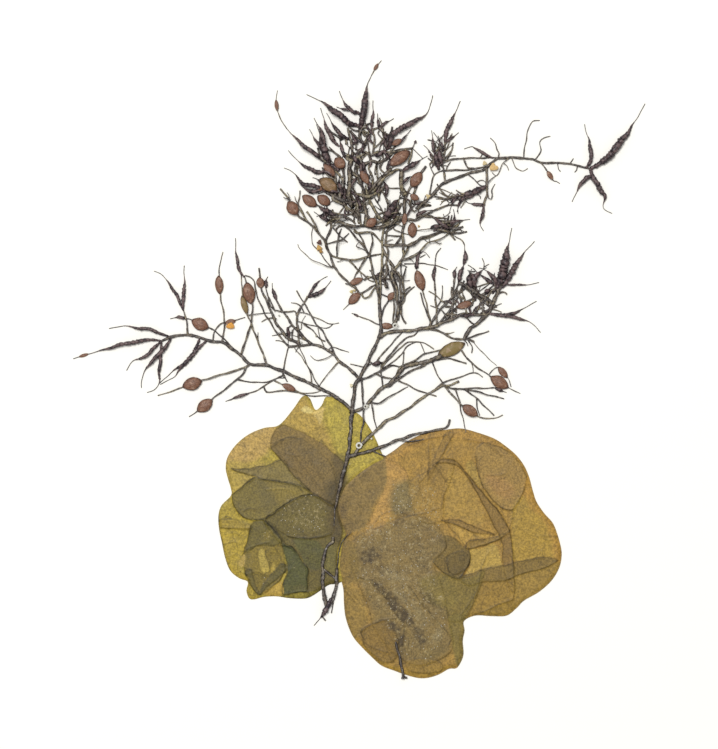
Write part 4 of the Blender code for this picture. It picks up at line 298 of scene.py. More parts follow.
        (1, 0.7, 10, -6.3, 12, -6.3, 15, -3.8, 22, 0.5, 26, 2, 30, 4, 35, 4.8, 39, 4, 43, 2.8),
        (0.8, 0.6, 14, -3.5, 16, 0.5, 17.5, 2, 22, 4, 26, 6.5, 29, 7.5, 32, 8, 37, 9),
        (0.6, 0.5, 17.3, 1.2, 18, 7.5),
        (0.8, 0.6, 9, 1.5, 8.7, -1, 9.3, -4, 9.5, -6.7),
        (0.8, 0.5, 4, -12.6, 8, -13, 12, -10.5, 19.5, -6.5),
        (0.8, 0.5, 5, -13, 6, -19, 7, -23),
        (0.9, 0.7, 1, -3.3, 1.3, -8, 1.7, -14.8, 1.8, -20, 1, -24, 0.4, -30),
        (1.5, 0.9, -5, -34.6, 0, -33.2, 5, -32, 10, -30, 15, -28, 20, -26.2, 25, -25, 30, -24, 35, -22.7,
         36.3, -19.5),
        (1.4, 0.9, -1.6, -33.6, -0.5, -31.5, 2, -28.5, 5, -25.5, 10, -21, 12, -19.5, 17, -17, 27, -9.8,
         30, -8, 33.5, -6, 36, -6, 40, -4.2),
        (0.8, 0.5, 28, -9.2, 31, -7, 33.5, -5, 38, -3.3, 42, -2, 46.5, -0.9, 49.5, -2.7),
        (0.9, 0.5, 33.5, -5.6, 36, -8.3, 38.5, -11.3, 40.8, -13.5, 47.5, -18.2, 53.5, -19.2, 57.5, -17.8),
        (0.7, 0.6, 29, 4, 31, -1, 33.5, -5),
        (0.8, 0.5, 34.5, -6.2, 37.5, -7.3, 42, -7.2, 50, -7, 55, -7, 57.5, -8.3),
        (0.8, 0.6, 38, -7.3, 42, -7.6, 44.5, -9, 50, -14, 54, -18),
        (0.7, 0.6, 43.5, -7.8, 48, -8.6, 51, -9.5, 58, -11.3),
        (0.6, 0.5, 47, -11.5, 47.2, -14.5, 48.3, -18),
        (0.7, 0.4, 38.5, -7.5, 40, -12, 41, -17, 42.8, -24.8),
        (0.8, 0.4, 41, 8, 44, 4, 48, 0.8, 52, -2, 59.6, -6.8, 64.5, -9.2),
        (0.5, 0.4, 53, -0.2, 56, 1.2, 59.5, -3, 60.8, -6.5),
        (0.8, 0.5, 16, -27.7, 21, -28.3, 26, -27.5),
        (0.7, 0.5, 5, -32, 7.5, -33, 10.5, -34.3),
        (1.5, 1.6, 42, 12.5, 44, 16.4, 47, 18.6, 49.6, 21, 51.8, 23),
        (0.8, 0.6, 28.6, 18, 28.4, 20, 27.9, 22.4, 26.8, 27, 25.4, 32),
        (0.7, 0.6, 28.4, 20, 26.6, 24, 24.6, 31.2),
        (0.5, 0.4, 24.4, 45.2, 26.6, 46.4),
        (0.6, 0.4, 18, 42.6, 24, 42.8, 28, 42.4, 30.5, 42.2, 33, 41.2, 35.6, 40.3),
        (0.9, 0.7, 31, 18, 30.9, 24.5, 30.5, 30, 30.2, 36),
        (0.5, 0.4, 30.5, 44, 31, 46.8, 32.8, 49),
        (0.6, 0.4, 31.4, 25.6, 32.8, 28.6, 33.4, 31.6, 33.3, 34),
        (0.7, 0.5, 35, 26.6, 33, 28, 30.4, 30.2, 27.8, 31.8),
        (1, 0.8, 37, 20.6, 37.3, 25, 37.3, 30, 37.8, 33.6, 38.2, 37),
        (0.9, 0.8, 37.3, 29, 38.6, 31.8, 39.9, 35),
        (0.7, 0.6, 38.4, 30.4, 41, 32.6, 43, 35),
        (0.6, 0.4, 42.2, 50.2, 41.2, 52, 39, 53.2, 37.4, 54.4),
        (0.6, 0.5, 45.4, 33.2, 48.4, 33.9, 52.6, 35.2),
        (1.6, 1.3, 40.8, 34.8, 43.4, 33.4, 46, 31.6, 48.8, 30, 51, 28.6, 53.4, 27.2),
        (1.2, 0.9, 45, 30.6, 48, 29, 50.4, 27, 52.6, 25.4),
        (1.6, 1.4, 52.4, 24.4, 54.4, 29, 55.6, 32, 56.8, 34.2),
        (0.9, 0.7, 55.4, 30.8, 57.4, 31.4, 58.6, 31, 59.2, 30.4),
        (0.6, 0.4, 53, 25.2, 55.4, 26.2, 57, 26.8),
        (0.8, 0.7, 50, 22.6, 49.2, 25, 50.2, 28),
        (0.5, 0.35, 46.6, 40, 43.6, 42.2),
        (0.5, 0.35, 49.8, 40.6, 50, 43, 49.2, 45),
        (0.4, 0.35, 50, 41.4, 52, 42.6),
    ],
}
# Greatest width, then x, y from the root to the hair-thin tip
PODS = {
    "host_main_stem": [
        (1, -0.5, 21.8, -2.2, 22.7, -3, 22.8),
    ],
    "host_basal_shoots": [
        (2.1, -11, -91, -13.5, -96, -15.5, -99, -18, -102),
    ],
    "host_frond_left": [
        (1.4, -69, 20.6, -72, 21.3, -75.5, 20.7),
        (1.3, -70.3, 24, -72, 28, -74, 32, -77, 36, -79, 38.5, -82, 39.8),
        (1.5, -70.3, 24, -70.2, 30, -69.7, 34, -70, 38, -69.9, 42),
        (1.6, -79, 11.8, -83, 12.3, -90, 11.3, -97, 9.8, -103, 8, -107, 7, -114.3, 4.7),
        (1.4, -75.5, 13.4, -79, 14.7, -84, 16.5, -89, 17, -94, 17.8, -100, 16.8),
        (1.4, -79, 11.8, -82.5, 8.5, -84.5, 6.3, -87, 5, -90.5, 3.7, -93, 0),
        (1.6, -75, 13.2, -77.5, 9, -80, 6.5, -84, 2.2, -85.5, 0, -87, -4, -87, -7),
        (1.4, -79, 11.8, -79.3, 5, -79.8, 0, -80, -5, -81.5, -7.5, -84.8, -8.8),
        (1.6, -63.7, 13, -66, 7, -69, 3.5, -74, 0, -77, -2.5, -80, -5.3),
        (1.6, -61, 12, -65.5, 7.5, -71.5, 0.5, -74, -2.5, -79.5, -5.6),
        (1.3, -46, 37.4, -47.5, 39.5, -48.5, 43, -49.2, 47, -49.4, 53),
        (1.7, -20.5, 29.3, -16, 31, -14, 32.5, -12, 34.8, -11.2, 35.9),
        (1.2, -20.3, 29.8, -17, 34.7, -14, 37, -12.6, 37.6),
        (1.4, -28.6, 17, -28.2, 14, -28.4, 10.2),
        (1.4, -37.1, 33.5, -37.2, 36, -36.4, 37.6),
        (1.5, -33, 28, -34.5, 32.5, -34.7, 35),
        (1.3, -44.5, -9.3, -49, -10.6, -53.4, -12.4),
    ],
    "host_frond_crown": [
        (1.8, -13, 82.8, -17, 86, -20, 88, -23, 90.5, -26, 93.5, -29.5, 97.5, -31, 100),
        (1.7, -11, 80, -14, 79.5, -17, 79.3, -19.5, 80.5, -22, 82, -25, 84.3, -28.3, 88),
        (3, -12, 82, -13.5, 86, -14.4, 89.5, -15.4, 93, -17, 98.5),
        (1.3, -15, 88, -16.5, 91, -18, 93, -19.8, 96.5),
        (1.7, -13.8, 90, -14.5, 94, -16, 97, -18, 101),
        (1.8, -8, 89.6, -10.3, 92, -12, 95, -13.6, 99, -15.4, 105),
        (1.7, -4, 92.5, -7, 94, -9, 96, -10.5, 98.5, -13, 103),
        (1.4, -5.5, 85, -6.8, 88.4, -7.6, 91.4, -8.2, 94.6),
        (2.6, 0, 98, -3, 98.4, -5, 99.4, -8.5, 102.5, -12, 105, -15, 107.5, -21, 110.4),
        (1.6, 1, 101.5, -0.4, 103, -2.2, 103.2, -4, 105, -6, 107, -7.9, 111.8),
        (1, -3.4, 104.2, -6.5, 104.5, -9, 105.4),
        (2.8, 0.6, 96.5, 1.2, 100, 1.8, 103.5, 2.4, 107, 2.6, 110.4, 3.2, 113.4, 4, 116, 5.8, 119.7),
        (1.3, 5, 96, 5.2, 100, 5.7, 102.5, 5.5, 105, 5.6, 108),
        (1.2, 8, 96.5, 7.6, 100, 7.4, 102.8),
        (1.2, 8, 96.8, 10.5, 99, 12.3, 99.8, 13.9, 100.8),
        (2.3, 10.8, 93, 13.5, 94.4, 17, 96.8, 20, 98.4, 23.4, 100.2, 25.4, 101.2, 28, 104.5, 29.5, 110),
        (1, 15.5, 90, 17.5, 92.3, 20.8, 96.3),
        (2, 17, 79.5, 20, 81.3, 23, 83, 25, 84.5, 27.4, 85.8),
        (1.8, -14, 72, -18, 73.6, -22, 74.4, -24, 76, -25.5, 78.4, -27.4, 80, -30, 81),
        (1.7, -15.4, 72, -19.4, 71.6, -22.6, 73.4, -23.8, 75.6),
        (2.6, 10, 60, 12, 63.2, 14.4, 66.6, 16.8, 69.2, 17.6, 70.4),
        (1.8, 30.5, 60.6, 32.6, 58.9, 35.6, 57, 39.6, 56.8),
        (1.6, 29, 57.2, 31.5, 57.8, 34, 59.8),
        (1.5, 32.4, 56.2, 34.6, 58, 36.6, 57),
        (1.2, -12.6, 62, -14.5, 62.4, -17, 61.6),
        (1.3, 22.4, 90.9, 22.6, 91.6, 22.7, 92.1),
        (1.4, 23, 62, 26, 63.6, 29.6, 64.2),
    ],
    "host_frond_arm": [
        (2.8, 92.5, 80.8, 95, 82, 98, 84, 100.5, 86, 102.5, 89, 105, 92, 107, 94.5, 111.5, 101.5, 114.4,
         106.7),
        (1.7, 90.7, 81, 92.5, 83.5, 92.6, 86, 92.1, 91.5, 91, 94.5, 90.2, 98.5),
        (1.8, 92, 81, 93, 78, 91, 77, 89.5, 75.5, 88.3, 74, 85.2, 67.5),
        (2.2, 92.5, 81, 93.5, 77, 95, 74.5, 97, 71.5, 98.2, 69.5, 97.8, 65, 101.2, 62.8),
        (1.3, 53.4, 85, 49.5, 86.8, 46, 89.2, 45, 89.6, 42, 88.6),
        (2.6, 51, 73.6, 48, 72.2, 45, 71, 41, 69.8, 37.6, 69.2, 35, 69),
        (1.4, 45.8, 70.2, 42.6, 68.9, 39, 68.4, 36.4, 68),
        (1.4, 50.2, 66.2, 47, 66.4, 44, 66.9, 42.4, 67.8),
        (1.4, 49.8, 66, 49.6, 63.6, 49.2, 61.8, 48.5, 59.6, 48.6, 58, 49.8, 55.8),
        (2, 31.8, 80.6, 31, 84, 30.4, 87, 30.8, 90.2),
        (2, 33.2, 82.4, 32.2, 86, 32.4, 89, 32.8, 91),
        (1.3, 30.2, 86.6, 29.6, 89.5, 29.5, 92, 29, 96),
        (1.8, 34.2, 91, 34.7, 94, 35.2, 96.2, 36.3, 98.6, 37.4, 100.8, 38.6, 103.4, 40.5, 107.8),
        (1.2, 34.4, 91.2, 36.5, 92.6, 38, 93.6, 39.9, 95.2),
    ],
    "host_frond_right": [
        (1.3, 52, 22.9, 56, 22.4, 60, 22.5, 63, 23.2, 66, 25, 71, 27.7),
        (1.5, 52, 22.7, 58, 21.8, 62, 21.5, 65, 20.3, 69, 19, 72.6, 15.2),
        (1.9, 5.8, 2.6, 8, 3, 10.6, 3.6),
        (1.5, 54.5, -7, 57.5, -8.3, 59, -8.8),
        (1.4, 22.9, 40.8, 23.3, 43.2, 23.5, 45.8, 25, 47.3, 26.6, 47.2, 28.3, 45),
        (1.5, 30.2, 35.6, 29.7, 37.4, 29.8, 39, 30.4, 41, 30.4, 43, 30.7, 45),
        (1.6, 38.2, 37, 38, 38.6, 38.4, 40.2, 39.2, 41.5),
        (1.9, 39.9, 35, 40.4, 38.4, 41.4, 41, 41.9, 42.8, 42.2, 44.6),
        (1.8, 41.8, 42.4, 42.5, 45, 42.3, 48, 42.2, 50.4),
        (2.4, 44.6, 33.2, 43.9, 36, 44.2, 38.4, 45, 40.6),
        (2.6, 45.6, 34, 46, 36.4, 45, 38.6, 43.4, 40.2),
        (1.9, 44.8, 36.4, 47.4, 38.4, 49.4, 40.2, 51, 41.2),
        (1.9, 55.6, 34.4, 53.6, 37.2, 51.8, 39.2, 49.6, 40.6, 48, 41),
        (1.4, 55.4, 33.8, 51.2, 36.4, 48.4, 38.2, 45.6, 41),
        (3.6, 54.9, 32.6, 56.4, 36.4, 57.4, 39.4, 58.2, 43, 58.8, 46, 59.6, 50, 60.4, 53.4, 61.1, 57),
        (2.3, 57.4, 33.4, 60, 37.4, 61.4, 40, 63.4, 43.4, 66, 47, 70.2, 51.7),
        (0.9, 58, 34.5, 60.6, 34.3, 64, 34.2, 68, 34.4, 72, 35.2),
        (1.8, 50.6, 31.2, 51.8, 32.2, 53.4, 31.6),
        (1.6, 40, 22, 43, 22, 46, 22.4, 49.4, 22.4),
    ],
}
# x, y of one end and of the other, the width and, for some, how olive it is
VESICLES = {
    "host_main_stem": [
        (8.2, 17.9, 13.8, 17.7, 2.6),
    ],
    "host_frond_left": [
        (-60.1, 16.9, -66.9, 20.1, 5),
        (-53.7, 18.9, -49.3, 19.9, 2.3),
        (-55.6, 30.4, -56.2, 38.1, 3.4),
        (-62.7, -4, -70.6, -6.6, 5.2),
        (-58.6, -11.7, -64.7, -16.3, 4.8),
        (-30.8, -5.5, -25.2, -8, 2.8),
        (-44.7, 22.3, -46.9, 30, 2.6, 0.6),
        (-43, 26.5, -45, 35.4, 5),
        (-39.1, 32.8, -39.8, 37.4, 3.2),
        (-108, 6.7, -112.2, 5.4, 1.3),
    ],
    "host_frond_crown": [
        (-24.7, 62.1, -28.3, 67.5, 4.8),
        (-17, 65.6, -22.6, 70, 4.2),
        (-11.5, 66.4, -16.7, 69.8, 4.2),
        (-14.5, 72, -17.3, 73.8, 2),
        (-8.6, 71.6, -15.8, 76.4, 5.2, 0.35),
        (-5.8, 80.8, -9.6, 84.8, 4.4),
        (-9.5, 77.5, -14.3, 82.6, 3),
        (3.8, 74.2, 0.6, 80, 2.9),
        (12, 82, 20.4, 87.6, 4.8),
        (13, 90, 17.2, 92.3, 2.4),
        (20.6, 73.3, 25.1, 79.4, 4.4),
        (20.3, 69.9, 24, 68.2, 2.6),
        (21.2, 53, 21.4, 59.3, 3.8),
        (17.8, 58, 18.5, 63, 2.2),
        (2.8, 57.4, 7, 60.5, 3.6),
        (11.6, 27.9, 13.9, 31.3, 2.6),
        (-3.9, 34.5, 1.6, 36.8, 2.7),
        (-4.2, 26.5, 0.5, 31.2, 3.6),
        (-32.7, 103.6, -33.2, 108.4, 1.6),
        (5.9, 119.9, 7.7, 122.8, 1.4),
    ],
    "host_frond_arm": [
        (75.1, 79.8, 77.4, 76.2, 2),
    ],
    "host_frond_right": [
        (25.6, 31.8, 23, 40.2, 4.2),
        (39, 25.2, 45.2, 27.2, 3),
        (31.4, 6, 42.4, 11, 5.2, 0.75),
        (52.5, -2.4, 59.7, -6.9, 4.8),
        (55.6, 1.5, 59.4, -3, 2.8),
        (41.2, -13.9, 47.4, -18.1, 4.3),
    ],
}
LEFT_OUTLINE = (-22.5, -10.3, -26, -15, -30, -20, -33, -22.3, -38, -23, -44, -25.5, -49, -29.5, -52.5,
 -34.5, -53.3, -39, -52.5, -43, -51.3, -47, -51.2, -50, -55, -54, -56.2, -58, -56, -63, -54.8, -69, -53.5,
 -75, -51.5, -80, -48, -83, -44.5, -84.5, -45, -88, -44, -91, -42, -91.5, -38, -90.5, -33, -90.3, -28, -91,
 -22, -91.2, -19, -90.3, -15.5, -88, -12, -85.7, -8.4, -84.9, -8.8, -80.5, -9, -76, -8, -70, -6.6, -65,
 -8.6, -60, -9.8, -54, -7.5, -46.6, -4.8, -43.3, -0.7, -39.7, 4.4, -36.1, 8.9, -33.9, 8.2, -31, 6, -26, 3,
 -21, 0, -17.5, -4, -15.5, -9, -11, -12, -10.5, -13.5, -10.8, -15, -14, -17.5, -15.7, -19.8, -11)
RIGHT_OUTLINE = (10, -34.5, 14, -32, 18, -29, 24, -26, 30, -24.5, 36, -23.5, 41, -23.2, 47, -24.7, 54,
 -27.2, 59, -30.5, 63, -34, 66, -38, 68, -42.5, 69.5, -48, 71, -52.5, 74, -57, 77.5, -61, 79.5, -66, 80.8,
 -71, 81, -74.5, 80, -79, 77, -84, 72, -88.5, 66, -92, 63, -95, 59, -98, 53, -98.2, 46.5, -98, 42, -100.2,
 42.2, -104, 41.5, -108, 41.8, -113, 41, -116, 39, -119, 36, -119.3, 32, -121.5, 28, -122.8, 24, -123, 19,
 -121.8, 14, -120, 9, -118, 5, -114.5, 1, -110.5, -2, -107, -4, -103, -5.5, -98, -6, -93, -6.2, -88, -6.8,
 -85, -8, -80.5, -8.2, -76, -7.2, -70, -5.9, -65, -7.8, -60, -9, -54, -6.5, -47, -4, -44, 0, -40.5, 5, -37)
# Parts of a bladder's skin, later ones over earlier ones: red, green, blue, width of the soft edge,
# strength, thickness added by the fold, then x, y of the outline
LEFT_REGIONS = [
    (192, 176, 84, 2.5, 0.9, 0, -14, -11, -8, -13, 0, -17, 6, -25, 9, -34, 0, -40, -6, -41, -10, -30),
    (188, 160, 90, 3, 0.8, 0, -23, -11, -31, -21, -26, -24, -14, -30, -9, -34, -15, -20, -19, -14),
    (198, 168, 106, 3, 0.95, 0, -33, -22, -38, -22.5, -44, -25, -49, -29, -53, -34, -53, -37, -44, -37,
     -38, -34, -34, -29),
    (184, 162, 88, 2, 0.8, 0, -53.5, -37, -44, -37, -38, -37, -40, -44, -46, -46, -52, -50),
    (140, 118, 74, 0.5, 0.95, 0.16, -35.2, -31, -34, -25, -31, -22, -27, -22.8, -20, -26, -13, -30.5, -8,
     -35, -5, -38, -6, -44, -8, -50, -11, -54, -16, -51, -20, -48.5, -26, -42, -31, -35.5),
    (128, 110, 74, 0.8, 0.8, 0.08, -35, -30.5, -30, -27.5, -25, -26.8, -20, -29, -15, -33, -11, -38, -9,
     -46, -11, -52, -16, -50, -20, -48, -26, -42, -31, -35.5),
    (132, 119, 80, 0.5, 0.85, 0.14, -51, -39.5, -44, -39, -37, -38, -31, -35.5, -26, -42, -20, -48, -26,
     -45.2, -32, -44.5, -40, -43, -44, -41.5),
    (126, 114, 66, 0.5, 0.95, 0.16, -42, -43, -46, -46, -50.5, -50, -49.5, -54.5, -47, -58, -43, -59.7,
     -38.5, -59.5, -35, -57.5, -30, -54, -25, -51, -20, -49.7, -20, -48, -26, -45.2, -32, -44.5),
    (142, 126, 70, 1.5, 0.6, 0, -38, -44, -30, -45.5, -20, -49, -26, -51, -32, -54, -36, -49),
    (116, 106, 72, 1.5, 0.5, 0, -40, -44, -37, -45, -33, -52, -37, -58, -40, -52),
    (174, 154, 66, 0.6, 0.6, 0, -56.3, -57, -54, -55, -51, -51, -49.5, -54.5, -47, -58, -43, -59.8, -43,
     -62, -55.5, -62.5),
    (184, 162, 70, 0.6, 0.9, 0, -56, -62.8, -43, -63, -44.5, -68, -46.3, -73, -48.5, -77.5, -47, -80, -45,
     -84.5, -49, -83, -52, -80, -55, -69),
    (162, 140, 66, 0.8, 0.5, 0.1, -56, -59.5, -49, -60, -43, -62, -43, -63.4, -55.8, -62.8),
    (108, 98, 58, 0.5, 0.95, 0.2, -38, -60, -35, -57.5, -30, -54, -25, -51, -20, -49.7, -16, -50.5, -13,
     -52, -8, -54, -6.6, -64, -8, -70, -9, -76, -8.4, -85, -15, -88, -21, -91, -21, -88, -21.5, -78, -25,
     -73, -31, -68.5, -33, -64.5),
    (114, 103, 60, 0.5, 0.7, 0.06, -38, -60, -30, -54, -25, -51, -20, -49.7, -15, -51, -11, -55, -10.5,
     -65, -18, -67, -24, -67, -28.5, -66, -33, -63),
    (122, 116, 70, 2, 0.7, 0, -13, -70, -10, -70, -9.5, -80, -13, -80, -14, -75),
    (86, 90, 58, 0.5, 0.95, 0.2, -38, -60.5, -36, -61.5, -33, -64.5, -31, -68.5, -27, -70.5, -25, -73,
     -21.5, -78, -20.5, -80, -21, -88, -24, -88.5, -30, -89.5, -31, -87, -29, -82, -29, -76, -31, -70, -34,
     -66),
    (100, 100, 62, 1, 0.8, 0, -26, -67.5, -18, -68, -14, -72, -15, -79, -20, -79, -23, -74),
    (130, 115, 56, 0.5, 0.95, 0.18, -43, -62, -44.5, -68, -46.3, -73, -45.5, -81, -43, -86, -40, -89.5,
     -34, -86, -31, -83, -29.5, -78, -30.5, -70, -33, -65.5, -38, -60.5),
    (110, 102, 60, 0.6, 0.8, 0.06, -43, -62, -38, -60, -33, -65, -31, -69, -36, -70, -41, -70, -45, -72.5),
    (148, 130, 60, 0.8, 0.7, 0, -42, -71, -36, -70, -31, -71, -30, -76, -33, -80, -36, -82, -42, -80, -44,
     -76),
    (192, 172, 92, 0.4, 0.9, 0, -39.7, -71.5, -38.4, -71.5, -36.7, -76, -35.6, -80.3, -39.2, -80, -39.9,
     -76),
    (186, 164, 84, 0.4, 0.8, 0, -34.6, -77, -33.8, -76.5, -33.2, -80, -35, -81.5),
    (196, 172, 104, 0.4, 0.9, 0, -46.2, -73.3, -45.4, -73.6, -46, -78.3, -47.9, -78, -48, -76.5),
    (112, 103, 60, 0.5, 0.85, 0.08, -45.6, -80, -43.4, -79.3, -42, -84, -39.6, -89.6, -41.5, -88.5, -44,
     -84),
    (104, 98, 62, 0.6, 0.85, 0.08, -31, -77, -28.7, -79, -33, -83.5, -36.5, -86, -39.5, -89.6, -38.8,
     -86.5, -35, -81.5),
    (178, 157, 66, 0.6, 0.85, 0, -45, -82, -41.8, -88.8, -39.6, -89.9, -38, -91, -44, -91.5, -45.3, -88),
    (190, 162, 84, 0.4, 0.9, 0, -38.6, -89.4, -34, -86, -31.4, -84.2, -30.4, -86, -31.2, -90.2),
    (144, 134, 62, 0.6, 0.8, 0.05, -31, -89.3, -24, -88.6, -15, -87.6, -12, -85.5, -19, -90.5, -28, -91.2),
    (226, 210, 146, 0.8, 0.85, 0, -23.2, -15.6, -21, -14.2, -17.9, -16, -19.5, -17.2, -22, -17),
    (222, 198, 132, 0.5, 0.85, 0, -18.3, -16.6, -16, -15.8, -14, -14.6, -14.2, -18, -15.7, -21.6, -16.6,
     -19.5),
    (98, 86, 58, 4.5, 0.85, 0, -13, -46, -5, -42, -4, -50, -5, -62, -7, -69, -11, -67, -12, -58, -14, -52),
    (88, 78, 58, 2.5, 0.6, 0, -10.5, -34, -4, -34, -5, -42, -9, -52, -12, -52, -10, -44),
]
RIGHT_REGIONS = [
    (184, 146, 80, 3, 0.7, 0, 10, -34, 24, -26, 41, -23, 54, -27, 66, -38, 71, -52, 64, -52, 60, -38, 50,
     -30, 36, -27, 24, -30, 14, -37),
    (142, 121, 78, 2.2, 0.95, 0, -6, -47, 0, -40.5, 5, -37, 10.5, -34.5, 11.5, -41, 10, -48, 6, -54, 2,
     -63, -8, -64, -10, -54),
    (192, 154, 92, 1, 0.9, 0, 10.5, -35, 14, -36.5, 17.5, -39, 19.5, -42.5, 15, -48, 13, -56, 10, -62, 6,
     -68.5, 2, -66, 6, -56, 10, -48, 11.5, -41),
    (128, 116, 82, 4, 0.85, 0, 14, -46, 19, -44, 24, -47, 24, -55, 16, -58, 12, -55),
    (168, 138, 76, 2, 0.7, 0.1, 20, -45, 28, -40, 31, -37, 38, -36, 36, -46, 34, -50, 33, -60, 24, -60, 21,
     -52),
    (150, 122, 70, 0.6, 0.7, 0.05, 27.5, -44, 31, -38, 37, -27, 38, -25, 35, -25, 30, -35, 28, -38),
    (178, 148, 80, 1.5, 0.8, 0, 36, -40, 42, -42, 48, -53, 50, -60, 47, -62, 40, -59, 34, -58, 35, -48),
    (164, 136, 84, 0.6, 0.85, 0.12, 46.5, -32, 47.5, -40, 49.5, -46, 53, -51, 57, -55, 61.5, -55.5, 65,
     -50, 67, -43, 63, -35.5, 57, -31, 50, -29),
    (180, 142, 92, 3, 0.7, 0, 51, -42, 57, -43, 62, -47, 60, -51, 54, -49),
    (180, 152, 74, 2, 0.8, 0, 61, -56, 66, -50, 72, -55, 78, -63, 80, -70, 78, -75, 62, -76, 61, -64),
    (190, 150, 76, 2.5, 0.8, 0, 68, -43, 71, -52, 78, -61, 81, -71, 81, -77, 78, -74, 75, -62, 68, -54, 66,
     -46),
    (146, 119, 70, 0.5, 0.95, 0.18, 31, -37, 33, -35.6, 38, -35.8, 42, -40, 47, -46, 52, -52, 57, -58, 60,
     -64, 61.2, -70, 61.8, -78, 62, -88, 60.5, -88, 58, -80, 57.5, -74, 57, -68, 53, -60, 49.5, -53, 45,
     -45, 40, -38.5, 36, -37),
    (176, 150, 82, 0.6, 0.8, 0, 42.5, -37, 45, -36, 47, -40, 49, -46, 47, -45.5, 43.5, -41),
    (152, 124, 72, 0.5, 0.9, 0.12, 33, -60, 40, -60, 47, -63, 54, -65.5, 47, -65, 42, -63, 37, -61.2),
    (150, 124, 68, 0.5, 0.9, 0.14, 60, -64.5, 55, -68, 50, -69.6, 44, -71.4, 43, -71, 43.8, -68, 50, -67.4,
     55, -66.4),
    (186, 154, 84, 0.8, 0.85, 0, 37, -61.5, 42, -63.6, 47, -65.2, 54, -65.8, 44, -67.6, 42, -69.5, 39, -66),
    (190, 163, 90, 0.5, 0.9, 0, 44.3, -71.8, 48, -71.2, 53.6, -69.2, 56, -73, 57, -78.6, 50.5, -79.2, 45.5,
     -81.3, 42, -83.2, 44.3, -78),
    (124, 106, 62, 0.8, 0.9, 0.14, 30, -68, 36, -66, 41, -69.5, 43.5, -71.6, 44.5, -75, 43, -79, 40.5, -83,
     37, -82.5, 33, -80, 30, -76.5),
    (110, 95, 60, 0.8, 0.6, 0.06, 36, -74, 42, -72, 44, -76, 42, -80, 38, -81.5, 35.5, -79),
    (158, 130, 66, 0.8, 0.85, 0, 41, -84, 50, -84.5, 61.8, -83, 62.5, -90, 60, -98, 46.5, -98.3, 42,
     -100.5, 41, -92),
    (162, 136, 72, 0.8, 0.8, 0, 62, -80, 74, -78.5, 80, -77, 77, -84.5, 66, -92.5, 60, -98.2, 62.5, -90),
    (140, 118, 68, 0.5, 0.95, 0.16, 40, -83, 45, -81.2, 52, -79, 60, -77.3, 68, -75.6, 74, -74.5, 79.5,
     -76, 74, -79, 66, -81, 58, -84, 50, -84.5, 44, -86),
    (156, 129, 60, 1, 0.8, 0, 49, -96, 55, -93.8, 61, -91.8, 63, -95, 59, -98.2, 50, -98.4),
    (132, 118, 66, 2.5, 0.85, 0.08, 40.5, -83, 46, -82, 50, -80, 48, -88, 45.5, -94, 42, -99.5, 36, -100,
     30, -94, 24, -86, 30, -80),
    (136, 118, 80, 5, 0.9, 0.1, 0, -66, 10, -62, 22, -58, 31, -62, 35, -70, 30, -77, 33, -86, 36, -100, 37,
     -112, 24, -118, 14, -113, 6, -103, 4, -95, 0, -86, -4, -74),
    (138, 118, 70, 2.5, 0.8, 0, -8, -68, -3, -68, 0, -76, 0, -84, -6, -85, -8.5, -80),
    (154, 129, 74, 2, 0.9, 0, -6.8, -86, -1, -87, 3, -95, 3, -101, 0, -106, -3, -107, -7, -98),
    (134, 120, 68, 1.5, 0.9, 0, 36.5, -98, 42.5, -99, 42.5, -116, 39, -118, 37.5, -110, 36, -103),
    (138, 123, 70, 2.5, 0.75, 0, 24, -84, 31, -82, 37, -84, 40, -92, 34, -95, 28, -92),
    (142, 116, 64, 0.8, 0.9, 0.1, 1, -104, 6, -101, 10, -99.8, 14, -104, 16, -110, 14, -116, 8, -116.5, 3,
     -111.5),
    (172, 141, 66, 1.8, 0.9, 0, -2, -107, 3, -111, 8, -116, 16, -118.6, 24, -120, 32, -118.5, 38, -118, 30,
     -123, 20, -123, 8, -118.5, 0, -111),
    (150, 124, 66, 1.2, 0.7, 0.08, 19, -116, 26, -115, 33, -117, 32, -120.5, 24, -121, 20, -120),
]
# Stains and blooms: red, green, blue, strength, x, y, half length, half width, turn in degrees
LEFT_STAINS = [
    (106, 88, 56, 0.6, -9, -60, 7, 3.5, 80), (126, 102, 60, 0.5, -22, -38, 9, 3.5, 140),
    (94, 80, 54, 0.6, -8, -52, 4.5, 2.5, 75), (98, 90, 52, 0.5, -19, -75, 6, 4, 120),
    (98, 84, 48, 0.55, -20, -66.5, 7, 1.6, 5), (138, 126, 68, 0.6, -24, -59, 5, 3.5, 20),
    (110, 94, 56, 0.5, -42, -55.8, 3.5, 1, 175), (176, 152, 70, 0.5, -36.5, -66, 3, 1.6, 60),
    (84, 82, 54, 0.7, -34, -63.5, 4.5, 0.9, 130), (150, 132, 60, 0.5, -37, -84, 2.5, 1.6, 30),
    (172, 156, 66, 0.6, -4, -37.5, 3, 2, 60), (120, 108, 56, 0.6, -24, -87, 5, 1.4, 0),
]
